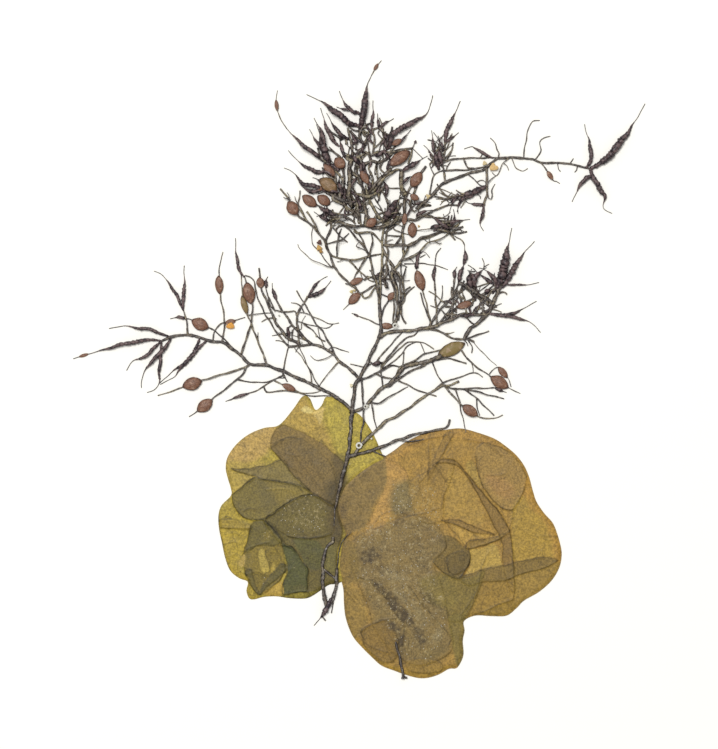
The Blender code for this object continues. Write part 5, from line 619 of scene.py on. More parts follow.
RIGHT_STAINS = [
    (96, 82, 62, 0.9, 4.5, -73.5, 5.5, 4, 20), (106, 90, 66, 0.7, 8, -79, 6, 3, 160),
    (106, 90, 66, 0.75, -7, -55, 5, 3, 70), (118, 100, 70, 0.7, -5, -64, 6, 3, 80),
    (98, 84, 60, 0.85, 9, -87, 6, 2.2, 130), (88, 76, 58, 0.95, 13.5, -92.5, 6, 2.4, 120),
    (84, 72, 56, 0.9, 18, -98, 6, 3, 130), (80, 70, 58, 0.95, 14, -102.5, 3.6, 2, 140),
    (92, 80, 62, 0.85, 17, -108, 5, 2.4, 100), (98, 86, 64, 0.8, 24, -106, 6, 3, 110),
    (100, 88, 64, 0.7, 28, -91, 6, 3, 130), (98, 86, 62, 0.7, 17, -115, 4, 1.8, 100),
    (158, 148, 122, 0.75, 14, -82, 6, 2.2, 160), (146, 138, 116, 0.6, 16.5, -90, 5, 2, 130),
    (140, 134, 112, 0.6, 24, -97.5, 6, 2, 120), (150, 144, 120, 0.6, 31.5, -106, 4, 2, 60),
    (136, 122, 86, 0.6, 17, -49, 6, 4, 110), (110, 94, 64, 0.7, 17, -59, 5, 2.4, 50),
    (118, 102, 70, 0.6, 22, -70, 6, 4, 90), (132, 120, 92, 0.5, 8, -70, 8, 2, 20),
    (126, 104, 66, 0.7, 28, -66, 6, 3, 10), (120, 108, 80, 0.6, 26, -76, 6, 4, 60),
    (158, 140, 72, 0.6, 32, -91, 3, 2, 0), (124, 112, 72, 0.5, 30, -113, 6, 3, 20),
    (118, 98, 62, 0.6, 32, -40, 4, 3, 60), (120, 100, 64, 0.6, 29.5, -44, 4, 1.6, 80),
]
# Outlines within which a faint bloom of salt lies
LEFT_SALTED = [(-30, -52, -22, -50, -14, -52, -12, -64, -20, -66, -30, -62)]
RIGHT_SALTED = [(-2, -64, 8, -58, 20, -44, 30, -46, 32, -60, 30, -80, 36, -104, 28, -116, 16, -112, 8, -98,
                 0, -84)]
# Creases and fold edges: darkness, width, rise, then x, y of each point; a pale line's darkness
# is below nought
LEFT_LINES = [
    (0.3, 0.5, 0.08, -35, -30.5, -30, -27.5, -25, -26.3),
    (0.3, 0.5, 0.1, -36, -30.5, -31, -35.5, -26, -42, -20, -48, -16, -50),
    (0.22, 0.7, 0.05, -34, -29, -31.5, -34, -28, -38, -23, -41),
    (0.5, 0.4, 0.12, -42, -43, -46, -46, -50.5, -50, -49.5, -54.5, -47, -58, -43, -59.7),
    (0.75, 0.45, 0.2, -43, -59.7, -38.5, -59.5, -35, -57.5, -30, -54),
    (0.5, 0.4, 0.15, -30, -54, -25, -51, -20, -49.7, -16, -50.5, -13, -52, -10.5, -54),
    (0.5, 0.5, 0.15, -38, -60, -36, -61.5, -33, -64.5, -31, -68.5),
    (0.3, 0.4, 0.12, -38.3, -59.8, -34.6, -61.5, -31.5, -66, -29.8, -69.5),
    (0.4, 0.4, 0.12, -31, -69.8, -27, -70.5, -25, -73, -21.5, -78, -20.5, -79.5),
    (0.35, 0.45, 0.08, -20.5, -80, -21, -88),
    (0.55, 0.45, 0.1, -20, -88.3, -24, -88.5, -30, -89.5, -31, -87, -29, -82),
    (0.4, 0.5, 0.12, -28.5, -66, -24, -67, -18, -67, -12, -65.5),
    (0.4, 0.35, 0.05, -55.6, -60.2, -55, -59.3, -53, -58.4, -50.5, -59.6),
    (0.3, 0.35, 0.05, -55.5, -62.8, -43, -63), (0.3, 0.4, 0.05, -46, -56, -44, -55.2, -42, -55.6),
    (0.35, 0.35, 0.06, -51, -39.5, -44, -39, -37, -38, -31, -35.5),
    (0.35, 0.35, 0.06, -51, -39.5, -44, -41.5, -40, -43, -32, -44.5, -26, -45, -20, -48),
    (0.6, 0.5, 0.1, -56.3, -57, -56.2, -63, -54.9, -69, -53.6, -75, -51.8, -80),
    (0.3, 0.4, 0.08, -43, -62, -44.5, -68, -46.3, -73, -48.5, -77.5, -48, -80, -45, -81.5),
    (0.3, 0.35, 0.06, -46.3, -73, -44, -71, -40, -69.6, -36, -68.6),
    (0.35, 0.4, 0.08, -45.4, -81, -43.5, -85.5, -40, -89.6, -36, -87.6, -31.5, -83.5, -29.2, -79),
    (0.25, 0.4, 0.05, -45, -81.5, -41, -80.5, -35.5, -81.8, -31.5, -78),
    (0.25, 0.35, 0.05, -41, -71, -39.9, -76, -39.2, -80),
    (0.25, 0.35, 0.05, -38, -70.6, -36.4, -76, -35.4, -80.6),
    (0.25, 0.4, 0.05, -34, -70, -31.5, -74, -30.3, -78),
    (-0.2, 0.5, 0.06, -37, -47.6, -32, -47.2, -27, -47.8, -25, -49),
    (0.35, 0.35, 0.06, -40, -43, -34, -44, -28, -45.2, -24.5, -46.2, -23, -48),
    (0.15, 0.6, 0.04, -20.5, -16.5, -17, -23, -14.5, -29.5),
    (0.15, 0.5, 0.04, -14.2, -17, -12, -24, -8.5, -33),
    (0.12, 0.5, 0.04, -9.4, -14, -9.5, -20, -8, -27, -4.8, -33.5),
    (0.12, 0.6, 0.04, -26, -18, -20, -24, -13.5, -29.6),
    (0.15, 0.5, 0.05, -42, -26, -37.5, -29, -34.5, -33),
    (0.12, 0.5, 0.04, -50, -35, -45, -32.6, -39.5, -33.2, -36.5, -35),
    (0.12, 0.5, 0.04, -46, -27.5, -41, -28.4, -36.5, -30.3),
    (0.15, 0.5, 0.04, -55, -66, -50, -65, -45, -67), (0.15, 0.5, 0.04, -54.5, -70, -50, -68.5, -46, -70.5),
    (0.15, 0.5, 0.04, -53, -75, -49.5, -73.5, -47.5, -75),
    (0.12, 0.5, 0.04, -22, -31, -18, -38, -13.5, -46), (0.12, 0.6, 0.04, -28, -31, -22, -39, -15, -47.5),
    (0.15, 0.5, 0.05, -31.5, -28.5, -29.5, -33, -24, -34),
    (0.25, 0.4, 0.05, -27, -79, -29.5, -82.5, -30.6, -86.5),
    (0.7, 0.6, 0.1, -20.5, -91, -19, -90.3, -18, -90.7),
    (0.35, 0.45, 0.05, -18, -90, -15.5, -88, -12, -85.8, -8.6, -84.9),
    (-0.15, 0.6, 0, -13.5, -70.5, -12, -75, -12.5, -80),
]
RIGHT_LINES = [
    (0.3, 0.4, 0.08, 10, -35, 14, -36.5, 17.5, -39, 20, -44, 21, -46.5),
    (0.3, 0.5, 0.08, 28, -30, 28, -38, 27.5, -45), (0.25, 0.4, 0.06, 37, -27, 33, -34, 30, -38, 25, -44),
    (0.4, 0.45, 0.1, 31, -37.2, 33, -35.6, 38, -35.9, 42, -40, 47, -46, 52, -52, 57, -58, 60, -64),
    (0.35, 0.4, 0.08, 60, -64, 61.2, -70, 61.8, -78, 62.2, -88, 61, -91.5),
    (0.3, 0.4, 0.06, 36, -37, 40, -38.8, 45, -45, 49.5, -53, 53, -60, 57, -68, 57.5, -76),
    (0.4, 0.4, 0.1, 46.5, -34, 47.5, -40, 49.5, -46, 53, -51, 57, -55, 61.5, -55.5),
    (0.3, 0.4, 0.08, 61.5, -55.5, 65, -50, 67, -42), (0.25, 0.4, 0.05, 61.5, -56, 61, -60, 60, -64),
    (0.3, 0.5, 0.08, 20, -30, 27, -27.5, 35, -26), (0.3, 0.4, 0.08, 42, -27.5, 50, -29, 57, -34),
    (0.3, 0.4, 0.08, 33, -60, 40, -60, 47, -63, 54, -65.5),
    (0.3, 0.4, 0.08, 33, -60, 37, -61.2, 42, -63, 47, -65),
    (0.35, 0.4, 0.1, 60, -64.5, 55, -68, 50, -69.6, 44, -71.4),
    (0.4, 0.4, 0.08, 43, -71, 43.8, -68.2, 50, -67.4), (0.35, 0.4, 0.08, 34.5, -60.5, 39, -65.5, 43, -70.5),
    (0.4, 0.4, 0.1, 43.8, -71, 44.5, -75, 43, -79, 40.5, -83, 37, -82.5, 33, -80, 30, -76.5),
    (0.3, 0.4, 0.08, 52, -72.5, 49, -79, 47.5, -87, 45, -92, 41, -97.5),
    (0.35, 0.4, 0.1, 61.5, -91.5, 56, -93.5, 51, -96, 46, -98),
    (0.3, 0.35, 0.06, 40, -83, 45, -81.2, 52, -79, 60, -77.3, 68, -75.6, 74, -74.5),
    (0.25, 0.35, 0.06, 79.5, -76, 74, -79, 66, -81, 58, -84), (0.2, 0.4, 0.05, 46, -86, 46, -92, 43, -97),
    (0.35, 0.45, 0.1, 20, -86, 25, -93, 30, -99, 34, -103, 36.5, -107, 36, -110),
    (0.35, 0.45, 0.1, 1, -104, 6, -101, 11, -99.5, 15, -99),
    (0.3, 0.4, 0.06, 1, -104, 2, -108, 6, -111, 12, -113),
    (0.3, 0.5, 0.08, 30, -38, 34, -43, 35.5, -46, 34, -50, 33, -55),
    (0.25, 0.5, 0.05, 20, -58, 26, -57, 32, -55),
    (0.3, 0.7, 0.08, 5, -85, 10, -90, 14, -96, 18, -102, 17, -110),
    (-0.2, 0.5, 0.06, -5, -88, 0, -93.5, 5, -99), (0.3, 0.4, 0.06, 74, -67.5, 76, -68, 78, -67.5),
    (0.5, 0.45, 0.12, -3, -65, -5, -66.5, -7, -70, -8, -76, -7.8, -82),
    (0.35, 0.5, 0.1, 0, -82.5, 5, -84, 8, -86.5, 11, -90.5),
    (0.2, 0.5, 0.05, 5, -63, 9, -58, 14, -56, 19, -57.5), (-0.15, 0.6, 0.05, -4, -86, 2, -94, 6, -98),
    (0.18, 0.5, 0.05, 50, -41.5, 55, -42, 59, -41), (0.15, 0.5, 0.04, 49, -47, 56, -48.5, 62, -46.5),
    (0.15, 0.5, 0.04, 63, -62, 69, -66, 77, -66), (0.2, 0.4, 0.05, 36, -26, 37, -29, 35.5, -33),
    (0.18, 0.5, 0.05, 24, -44, 24.5, -50, 29.5, -56), (0.25, 0.4, 0.05, 34, -75, 36, -80, 38, -82.5),
    (0.2, 0.5, 0.05, 25, -117.5, 27, -120.5, 30, -122), (0.15, 0.5, 0.04, 10, -105, 11, -112, 15, -118),
    (0.18, 0.4, 0.05, 44, -84.5, 45.5, -89, 43, -95), (0.2, 0.4, 0.05, 0, -106, 4, -112, 10, -116.5),
    (-0.12, 0.6, 0, 58, -31, 65, -38, 67.5, -45),
]
# Small loose scraps: red, green, blue, x, y, size, height
SCRAPS = [
    (236, 224, 190, -3, -6, 1.5, 0.6), (206, 164, 92, -16, 49, 2.2, 1.2),
    (184, 140, 74, -15.2, 47.6, 1.5, 1.2), (96, 66, 58, -15.8, 51.2, 2, 1.3),
    (220, 200, 132, -3, 31.5, 1.4, 1.2), (214, 194, 138, -1.8, 32, 1, 1.2),
    (222, 200, 150, 27.6, 69.6, 1.8, 1.2), (228, 226, 214, -23, 11.3, 0.8, 1.2),
    (222, 220, 210, -26, -3, 0.7, 0.8), (226, 224, 210, -32, 22, 0.7, 1),
    (238, 232, 206, 3.4, -14.2, 1.2, 1.2), (238, 232, 210, 5, -27.2, 0.9, 1.6),
    (232, 224, 190, -17.2, 13.8, 0.7, 1), (214, 178, 110, 23.9, 57.7, 0.9, 0.3),
    (226, 206, 160, 50.2, 82.8, 1.8, 1.4),
]
# Seeded receptacles of the crown: outline within which they start, point they fan out from, spread of
# their headings in radians, least and greatest width
TWIG_REGION = (-13, 58, 16, 58, 18, 76, 12, 94, -12, 92, -15, 74)
TWIG_FAN = (4, 46)
TWIG_COUNT = 36
TWIG_SEED = 7
TWIG_SPREAD = 0.45
TWIG_WIDTHS = (1.0, 1.7)
# Tangles of further seeded twigs: number, least and greatest width, spread, share of receptacles,
# tone, point they fan out from, outline
TANGLES = {
    "host_frond_crown": [
        (46, 0.5, 1.1, 0.5, 0.1, 0.6, 2, 50, -8, 57, 16, 56, 17, 61, 9, 70, -2, 70, -10, 66),
        (58, 0.5, 1.2, 0.6, 0.3, 0.5, 4, 60, -13, 70, -2, 66, 10, 74, 14, 82, 13, 92, 2, 99, -8, 94, -13, 84),
        (16, 0.5, 1.2, 0.6, 0.3, 0.5, 18, 54, 29, 55, 37, 55, 37, 59, 30, 61),
        (10, 0.6, 1, 0.25, 0, 0.3, 15, 10, 14.4, 26, 17.4, 26, 17.6, 37, 14.4, 38),
        (12, 0.5, 1, 0.7, 0.1, 0.4, 8, 20, 5, 32, 12, 32, 12, 37, 5, 38),
        (10, 0.5, 1, 0.5, 0.3, 0.4, 17, 50, 19, 62, 24, 62, 24, 70, 19, 70),
    ],
    "host_frond_right": [
        (34, 0.5, 1.2, 0.6, 0.3, 0.4, 44, 12, 37, 21, 52, 22, 56, 32, 50, 33, 42, 35, 37, 27),
    ],
    "host_frond_arm": [
        (26, 0.4, 0.9, 0.5, 0.3, 0.5, 31, 70, 29, 81, 34, 81, 35, 89, 30, 91),
        (16, 0.4, 0.9, 0.4, 0.4, 0.8, 56, 76, 36, 68.2, 45, 69, 45, 71.4, 37, 70.4),
    ],
    "host_frond_left": [
        (8, 0.4, 0.7, 0.5, 0.1, 0.4, -10, 0, -32, 8, -20, 8, -20, 24, -36, 26),
    ],
}
# Gaps that no seeded twig crosses: x, y, radius
HOLES = [
    (-0.5, 72.6, 1.5), (13, 76.3, 2.2), (13.4, 70.8, 1.8), (7, 66, 0.9), (5.9, 67.8, 0.8), (8, 64, 0.9),
    (8.9, 62.2, 0.6), (8.9, 67.6, 0.8), (4, 64, 0.9), (1.2, 62.3, 0.9), (-3, 59.5, 0.7), (-7.7, 64.5, 1.2),
    (-11.3, 65, 0.9), (-5, 71, 0.6), (16.6, 64, 0.7), (14.8, 46, 2.4), (14.8, 52, 1.1), (7.3, 52.5, 1.4),
    (2.6, 53, 1.3), (7, 43, 1.4), (6.8, 48.5, 1.4), (19.5, 73.4, 1), (6.3, 75.4, 0.8), (5.5, 81, 0.8),
    (3, 84.5, 0.6), (7, 91.6, 0.9), (1.4, 93, 1), (-5.4, 88.4, 1.1), (-6.9, 97, 1.4), (-2, 95.2, 0.8),
    (27.4, 58.4, 2.4), (25, 60, 1), (48, 36, 1.5), (50.5, 38, 0.8), (42, 31.4, 1), (46.5, 26.4, 0.7),
    (51, 26, 0.9), (32, 22, 0.9), (34.6, 24.6, 0.6), (41.6, 38, 0.9), (15.4, 92.6, 1.2), (-10, 91.6, 0.9),
]
# Turns of a tube worm's coil, and the radius of its tube as a share of the outer diameter
WORM_TURNS = 1.15
WORM_BORE = 0.15
# Rings of white tube worm: centre, outer diameter, height of the underside
WORMS = [(0.0, -30.0, 3.0, 1.6), (14.4, 17.9, 2.4, 2.3), (2.6, -14.4, 2.0, 1.6)]
# Thin orange crusts: colour, height of the underside, then the corners
CRUSTS = [
    ((240, 172, 76), 1.3, (-53.2, 17.4), (-51.6, 16.7), (-49.9, 17.1), (-50.1, 18.3), (-51.2, 19.2),
     (-52.4, 18.5)),
    ((234, 196, 132), 1.7, (52.2, 80.2), (53.6, 79.9), (55.3, 80.3), (55.6, 81.3), (54.4, 82.1),
     (53.9, 83), (52.7, 82.2)),
]


def tint(red, green, blue):
    """A colour from 0 to 255, as the linear colour that looks so under the stage's light."""
    shares = (red / 255, green / 255, blue / 255)
    return tuple(DIMMED * (c / 12.92 if c < 0.04045 else ((c + 0.055) / 1.055) ** 2.4) for c in shares)


def colour(label, red, green, blue):
    return bpy.props.FloatVectorProperty(name=label, description=f"Colour of {label.lower()}",
                                         subtype="COLOR", size=3, min=0, max=1,
                                         default=tint(red, green, blue))


def amount(label, value, about, least=0, most=100):
    return bpy.props.FloatProperty(name=label, description=about, default=value, min=least, max=most)


def length(label, millimetres, about):
    return bpy.props.FloatProperty(name=label, description=about, unit="LENGTH", precision=5,
                                   min=0, default=millimetres * MM)


# Routes and outlines


def points_of(numbers):
    return np.array(numbers, float).reshape(-1, 2)


def smooth_route(points, step, closed=False):
    """Points about a step apart on a Catmull-Rom curve through the given ones."""
    count = len(points)
    route = []
    for i in range(count if closed else count - 1):
        a, b, c, d = (points[(i + k) % count if closed else min(max(i + k, 0), count - 1)]
                      for k in (-1, 0, 1, 2))
        pieces = max(1, round(float(np.linalg.norm(c - b)) / step))
        t = np.arange(pieces)[:, None] / pieces
        route.append(0.5 * (2 * b + (c - a) * t + (2 * a - 5 * b + 4 * c - d) * t ** 2
                            + (3 * b - a - 3 * c + d) * t ** 3))
    if not closed:
        route.append(points[-1:])
    return np.vstack(route)


def distance_to(spots, route, closed=False, reach=4.0):
    """Distance from each spot to the nearest run of the route, or the reach where it is farther."""
    ends = np.roll(route, -1, axis=0) if closed else route[1:]
    nearest = np.full(len(spots), float(reach))
    for a, b in zip(route, ends):
        low, high = np.minimum(a, b) - reach, np.maximum(a, b) + reach
        close = np.where(((spots > low) & (spots < high)).all(axis=1))[0]
        run, local = b - a, spots[close] - a
        share = np.clip(local @ run / max(run @ run, 1e-9), 0, 1)
        away = local - share[:, None] * run
        nearest[close] = np.minimum(nearest[close], np.hypot(away[:, 0], away[:, 1]))
    return nearest


def depth_in(spots, outline, reach=4.0):
    """Distance from the outline, above nought inside it and below nought outside, as far as the reach."""
    low, high = outline.min(axis=0) - reach, outline.max(axis=0) + reach
    depth = np.full(len(spots), -float(reach))
    close = np.where(((spots > low) & (spots < high)).all(axis=1))[0]
    local = spots[close]
    x, y = local[:, 0], local[:, 1]
    within = np.zeros(len(local), bool)
    for (x0, y0), (x1, y1) in zip(outline, np.roll(outline, -1, axis=0)):
        if y0 != y1:
            within ^= ((y0 > y) != (y1 > y)) & (x < x0 + (y - y0) * (x1 - x0) / (y1 - y0))
    away = distance_to(local, outline, True, reach)
    depth[close] = np.where(within, away, -away)
    return depth


def eased(value):
    value = np.clip(value, 0, 1)
    return value * value * (3 - 2 * value)


def near(away, width):
    """One at no distance, falling off softly over the width."""
    return np.exp(-(away / width) ** 2)


def clouds(spots, size, seed):
    """Soft noise from about -1 to 1 at each spot, with lumps of the given size."""
    return np.array([noise.noise(Vector((x / size, y / size, seed * 7.3))) for x, y in spots])


NOISE = "ShaderNodeTexNoise"


# Objects


def object_from(name, points, faces, edges=(), **attributes):
    """An object in metres from points in millimetres in the tables' frame, with point attributes."""
    mesh = bpy.data.meshes.new(name)
    placed = (np.asarray(points, float) - (*ORIGIN, 0)) * MM
    mesh.from_pydata(placed.tolist(), list(edges), list(faces))
    for key, values in attributes.items():
        values = np.asarray(values, np.float32)
        kind = {1: "FLOAT", 2: "FLOAT_COLOR"}[values.ndim]
        made = mesh.attributes.new(key, kind, "POINT")
        if kind == "FLOAT_COLOR":
            values = np.hstack([values, np.ones((len(values), 1), np.float32)])
            made.data.foreach_set("color", values.ravel())
        else:
            made.data.foreach_set("value", values)
    made = bpy.data.objects.new(name, mesh)
    bpy.context.scene.collection.objects.link(made)
    return made


def shaded(item, material):
    item.data.materials.clear()
    item.data.materials.append(material)
    item.data.shade_smooth()
    return item


def add(tree, kind, inputs=(), **settings):
    """A new node with its settings, and its inputs linked or set."""
    node = tree.nodes.new(kind)
    for key, value in settings.items():
        setattr(node, key, value)
    for key, value in dict(inputs).items():
        if isinstance(value, bpy.types.NodeSocket):
            tree.links.new(value, node.inputs[key])
        else:
            node.inputs[key].default_value = value
    return node


def grown(item, tree, values):
    """The object with a node group's result as its plain mesh."""
    change = item.modifiers.new("Grow", "NODES")
    change.node_group = tree
    for socket in tree.interface.items_tree:
        if socket.item_type == "SOCKET" and socket.name in values:
            change[socket.identifier] = values[socket.name]
    seen = item.evaluated_get(bpy.context.evaluated_depsgraph_get())
    mesh = bpy.data.meshes.new_from_object(seen)
    mesh.name = item.name
    item.modifiers.clear()
    item.data = mesh
    return item


def geometry_group(name, numbers):
    """A geometry node group with its named inputs, and its input and output nodes."""
    tree = bpy.data.node_groups.new(name, "GeometryNodeTree")
    tree.interface.new_socket("Geometry", in_out="INPUT", socket_type="NodeSocketGeometry")
    for key, default in numbers.items():
        kind = {int: "NodeSocketInt", float: "NodeSocketFloat", str: "NodeSocketMaterial"}[type(default)]
        socket = tree.interface.new_socket(key, in_out="INPUT", socket_type=kind)
        if kind != "NodeSocketMaterial":
            socket.default_value = default
    tree.interface.new_socket("Geometry", in_out="OUTPUT", socket_type="NodeSocketGeometry")
    return tree, tree.nodes.new("NodeGroupInput").outputs, tree.nodes.new("NodeGroupOutput").inputs


def field(tree, name, kind="FLOAT"):
    return add(tree, "GeometryNodeInputNamedAttribute", {"Name": name}, data_type=kind).outputs["Attribute"]


def sums(tree, operation, *values):
    return add(tree, "ShaderNodeMath", dict(enumerate(values)), operation=operation).outputs[0]


def dented(tree, shape, lumps, size, depth):
    """The shape smooth shaded, its surface moved in and out by lumps of noise."""
    place = add(tree, "GeometryNodeInputPosition").outputs[0]
    lump = add(tree, NOISE, {"Vector": place, **lumps}, noise_dimensions="4D").outputs[0]
    reach = sums(tree, "MULTIPLY", sums(tree, "MULTIPLY", sums(tree, "SUBTRACT", lump, 0.5), size), depth)
    facing = add(tree, "GeometryNodeInputNormal").outputs[0]
    away = add(tree, "ShaderNodeVectorMath", {0: facing, "Scale": reach}, operation="SCALE").outputs[0]
    moved = add(tree, "GeometryNodeSetPosition", {"Geometry": shape, "Offset": away}).outputs[0]
    return add(tree, "GeometryNodeSetShadeSmooth", {"Geometry": moved}).outputs[0]


def strand_group():
    """Tubes along polylines of varying thickness, with a wrinkled, warty skin."""
    tree, given, result = geometry_group("Seaweed tubes", {
        "Sides": 8, "Wrinkle depth": 0.2, "Wrinkle length": 0.001, "Seed": 1.0, "Skin": ""})
    curve = add(tree, "GeometryNodeMeshToCurve", {"Mesh": given["Geometry"]}).outputs[0]
    thick = field(tree, "thick")
    curve = add(tree, "GeometryNodeSetCurveRadius", {"Curve": curve, "Radius": thick}).outputs[0]
    ring = add(tree, "GeometryNodeCurvePrimitiveCircle", {"Resolution": given["Sides"], "Radius": 1.0})
    tube = add(tree, "GeometryNodeCurveToMesh", {"Curve": curve, "Profile Curve": ring.outputs[0],
                                                 "Fill Caps": True})
    if "Scale" in tube.inputs:
        tree.links.new(thick, tube.inputs["Scale"])
    fine = sums(tree, "DIVIDE", 1.0, given["Wrinkle length"])
    lumps = {"W": given["Seed"], "Scale": fine, "Detail": 2.0}
    smooth = dented(tree, tube.outputs[0], lumps, thick, given["Wrinkle depth"])
    # How much each point faces up, kept for the finishes that paint light on tops and shade on sides
    facing = add(tree, "ShaderNodeSeparateXYZ", {0: add(tree, "GeometryNodeInputNormal").outputs[0]})
    marked = add(tree, "GeometryNodeStoreNamedAttribute", {"Geometry": smooth, "Name": "top",
                                                           "Value": facing.outputs[2]}).outputs[0]
    real = add(tree, "GeometryNodeRealizeInstances", {"Geometry": marked}).outputs[0]
    skin = add(tree, "GeometryNodeSetMaterial", {"Geometry": real, "Material": given["Skin"]}).outputs[0]
    tree.links.new(skin, result[0])
    return tree


def vesicle_group():
    """Spindle-shaped bladders set on points that carry their length, width, height and heading."""
    tree, given, result = geometry_group("Gas vesicles", {
        "Segments": 20, "Rings": 18, "Shrivel": 0.1, "Seed": 1.0, "Skin": ""})
    ball = add(tree, "GeometryNodeMeshUVSphere", {"Segments": given["Segments"], "Rings": given["Rings"],
                                                  "Radius": 1.0}).outputs[0]
    place = add(tree, "GeometryNodeInputPosition").outputs[0]
    parts = add(tree, "ShaderNodeSeparateXYZ", {0: place}).outputs
    girth = sums(tree, "POWER", sums(tree, "MAXIMUM", sums(tree, "SUBTRACT", 1.0,
                 sums(tree, "MULTIPLY", parts[2], parts[2])), 0.0001), 0.28)
    across, over = (sums(tree, "MULTIPLY", parts[k], girth) for k in (1, 0))
    spindle = add(tree, "ShaderNodeCombineXYZ", {0: parts[2], 1: across, 2: over}).outputs[0]
    ball = add(tree, "GeometryNodeSetPosition", {"Geometry": ball, "Position": spindle}).outputs[0]
    ball = add(tree, "GeometryNodeStoreNamedAttribute", {"Geometry": ball, "Name": "local", "Value": place},
               data_type="FLOAT_VECTOR").outputs[0]
    turn = add(tree, "ShaderNodeCombineXYZ", {2: field(tree, "heading")}).outputs[0]
    size = add(tree, "ShaderNodeCombineXYZ", {0: field(tree, "long"), 1: field(tree, "wide"),
                                              2: field(tree, "high")}).outputs[0]
    rotation = add(tree, "FunctionNodeEulerToRotation", {0: turn}).outputs[0]
    many = add(tree, "GeometryNodeInstanceOnPoints", {"Points": given["Geometry"], "Instance": ball,
                                                      "Rotation": rotation, "Scale": size}).outputs[0]
    real = add(tree, "GeometryNodeRealizeInstances", {"Geometry": many}).outputs[0]
    lumps = {"W": given["Seed"], "Scale": 700.0, "Detail": 1.0}
    smooth = dented(tree, real, lumps, field(tree, "wide"), given["Shrivel"])
    skin = add(tree, "GeometryNodeSetMaterial", {"Geometry": smooth, "Material": given["Skin"]}).outputs[0]
    tree.links.new(skin, result[0])
    return tree


def grain_group():
    """Small angular grains scattered over a surface where its salt attribute is high."""
    tree, given, result = geometry_group("Salt grains", {
        "Density": 1.0, "Least size": 0.0001, "Greatest size": 0.0002, "Seed": 1, "Skin": ""})
    density = sums(tree, "MULTIPLY", field(tree, "salt"), given["Density"])
    spread = add(tree, "GeometryNodeDistributePointsOnFaces", {
        "Mesh": given["Geometry"], "Density": density, "Seed": given["Seed"]})
    grain = add(tree, "GeometryNodeMeshIcoSphere", {"Radius": 1.0, "Subdivisions": 1}).outputs[0]
    size = add(tree, "FunctionNodeRandomValue", {2: given["Least size"], 3: given["Greatest size"],
                                                 "Seed": given["Seed"]}, data_type="FLOAT").outputs[1]
    many = add(tree, "GeometryNodeInstanceOnPoints", {
        "Points": spread.outputs[0], "Instance": grain, "Rotation": spread.outputs["Rotation"],
        "Scale": size}).outputs[0]
    real = add(tree, "GeometryNodeRealizeInstances", {"Geometry": many}).outputs[0]
    skin = add(tree, "GeometryNodeSetMaterial", {"Geometry": real, "Material": given["Skin"]}).outputs[0]
    tree.links.new(skin, result[0])
    return tree


# Finishes


def finish_of(name, roughness, **sockets):
    """A new material with its shader's own sockets set."""
    made = bpy.data.materials.new(name)
    made.use_nodes = True
    shader = made.node_tree.nodes["Principled BSDF"]
    shader.inputs["Roughness"].default_value = roughness
    for key, value in sockets.items():
        shader.inputs[key.replace("_", " ")].default_value = value
    return made, made.node_tree, shader


def texture(tree, scale, stretch=None, seed=0.0, kind=NOISE, **inputs):
    """A noise or cell texture on the piece's own coordinates; the scale is lumps per metre."""
    place = add(tree, "ShaderNodeTexCoord").outputs["Object"]
    if stretch:
        place = add(tree, "ShaderNodeMapping", {"Vector": place, "Scale": stretch}).outputs[0]
    node = add(tree, kind, {"Vector": place, "Scale": scale})
    dimensions = "noise_dimensions" if kind == NOISE else "voronoi_dimensions"
    setattr(node, dimensions, "4D")
    node.inputs["W"].default_value = seed
    for key, value in inputs.items():
        node.inputs[key].default_value = value
    return node.outputs[0]


def ranged(tree, value, low, high, to_low=0.0, to_high=1.0):
    return add(tree, "ShaderNodeMapRange", {"Value": value, "From Min": low, "From Max": high,
                                            "To Min": to_low, "To Max": to_high}).outputs[0]


def blended(tree, first, second, share, way="MIX"):
    """Two colours mixed; each is a socket or plain red, green and blue."""
    first, second = (v if isinstance(v, bpy.types.NodeSocket) else (*v, 1.0) for v in (first, second))
    return add(tree, "ShaderNodeMix", {0: share, 6: first, 7: second}, data_type="RGBA",
               blend_type=way).outputs[2]


def greyed(tree, value):
    return add(tree, "ShaderNodeCombineColor", {0: value, 1: value, 2: value}).outputs[0]


def bumped(tree, shader, height, strength, distance):
    made = add(tree, "ShaderNodeBump", {"Height": height, "Strength": strength, "Distance": distance})
    tree.links.new(made.outputs[0], shader.inputs["Normal"])


def attribute(tree, name, output="Fac"):
    return add(tree, "ShaderNodeAttribute", attribute_name=name).outputs[output]


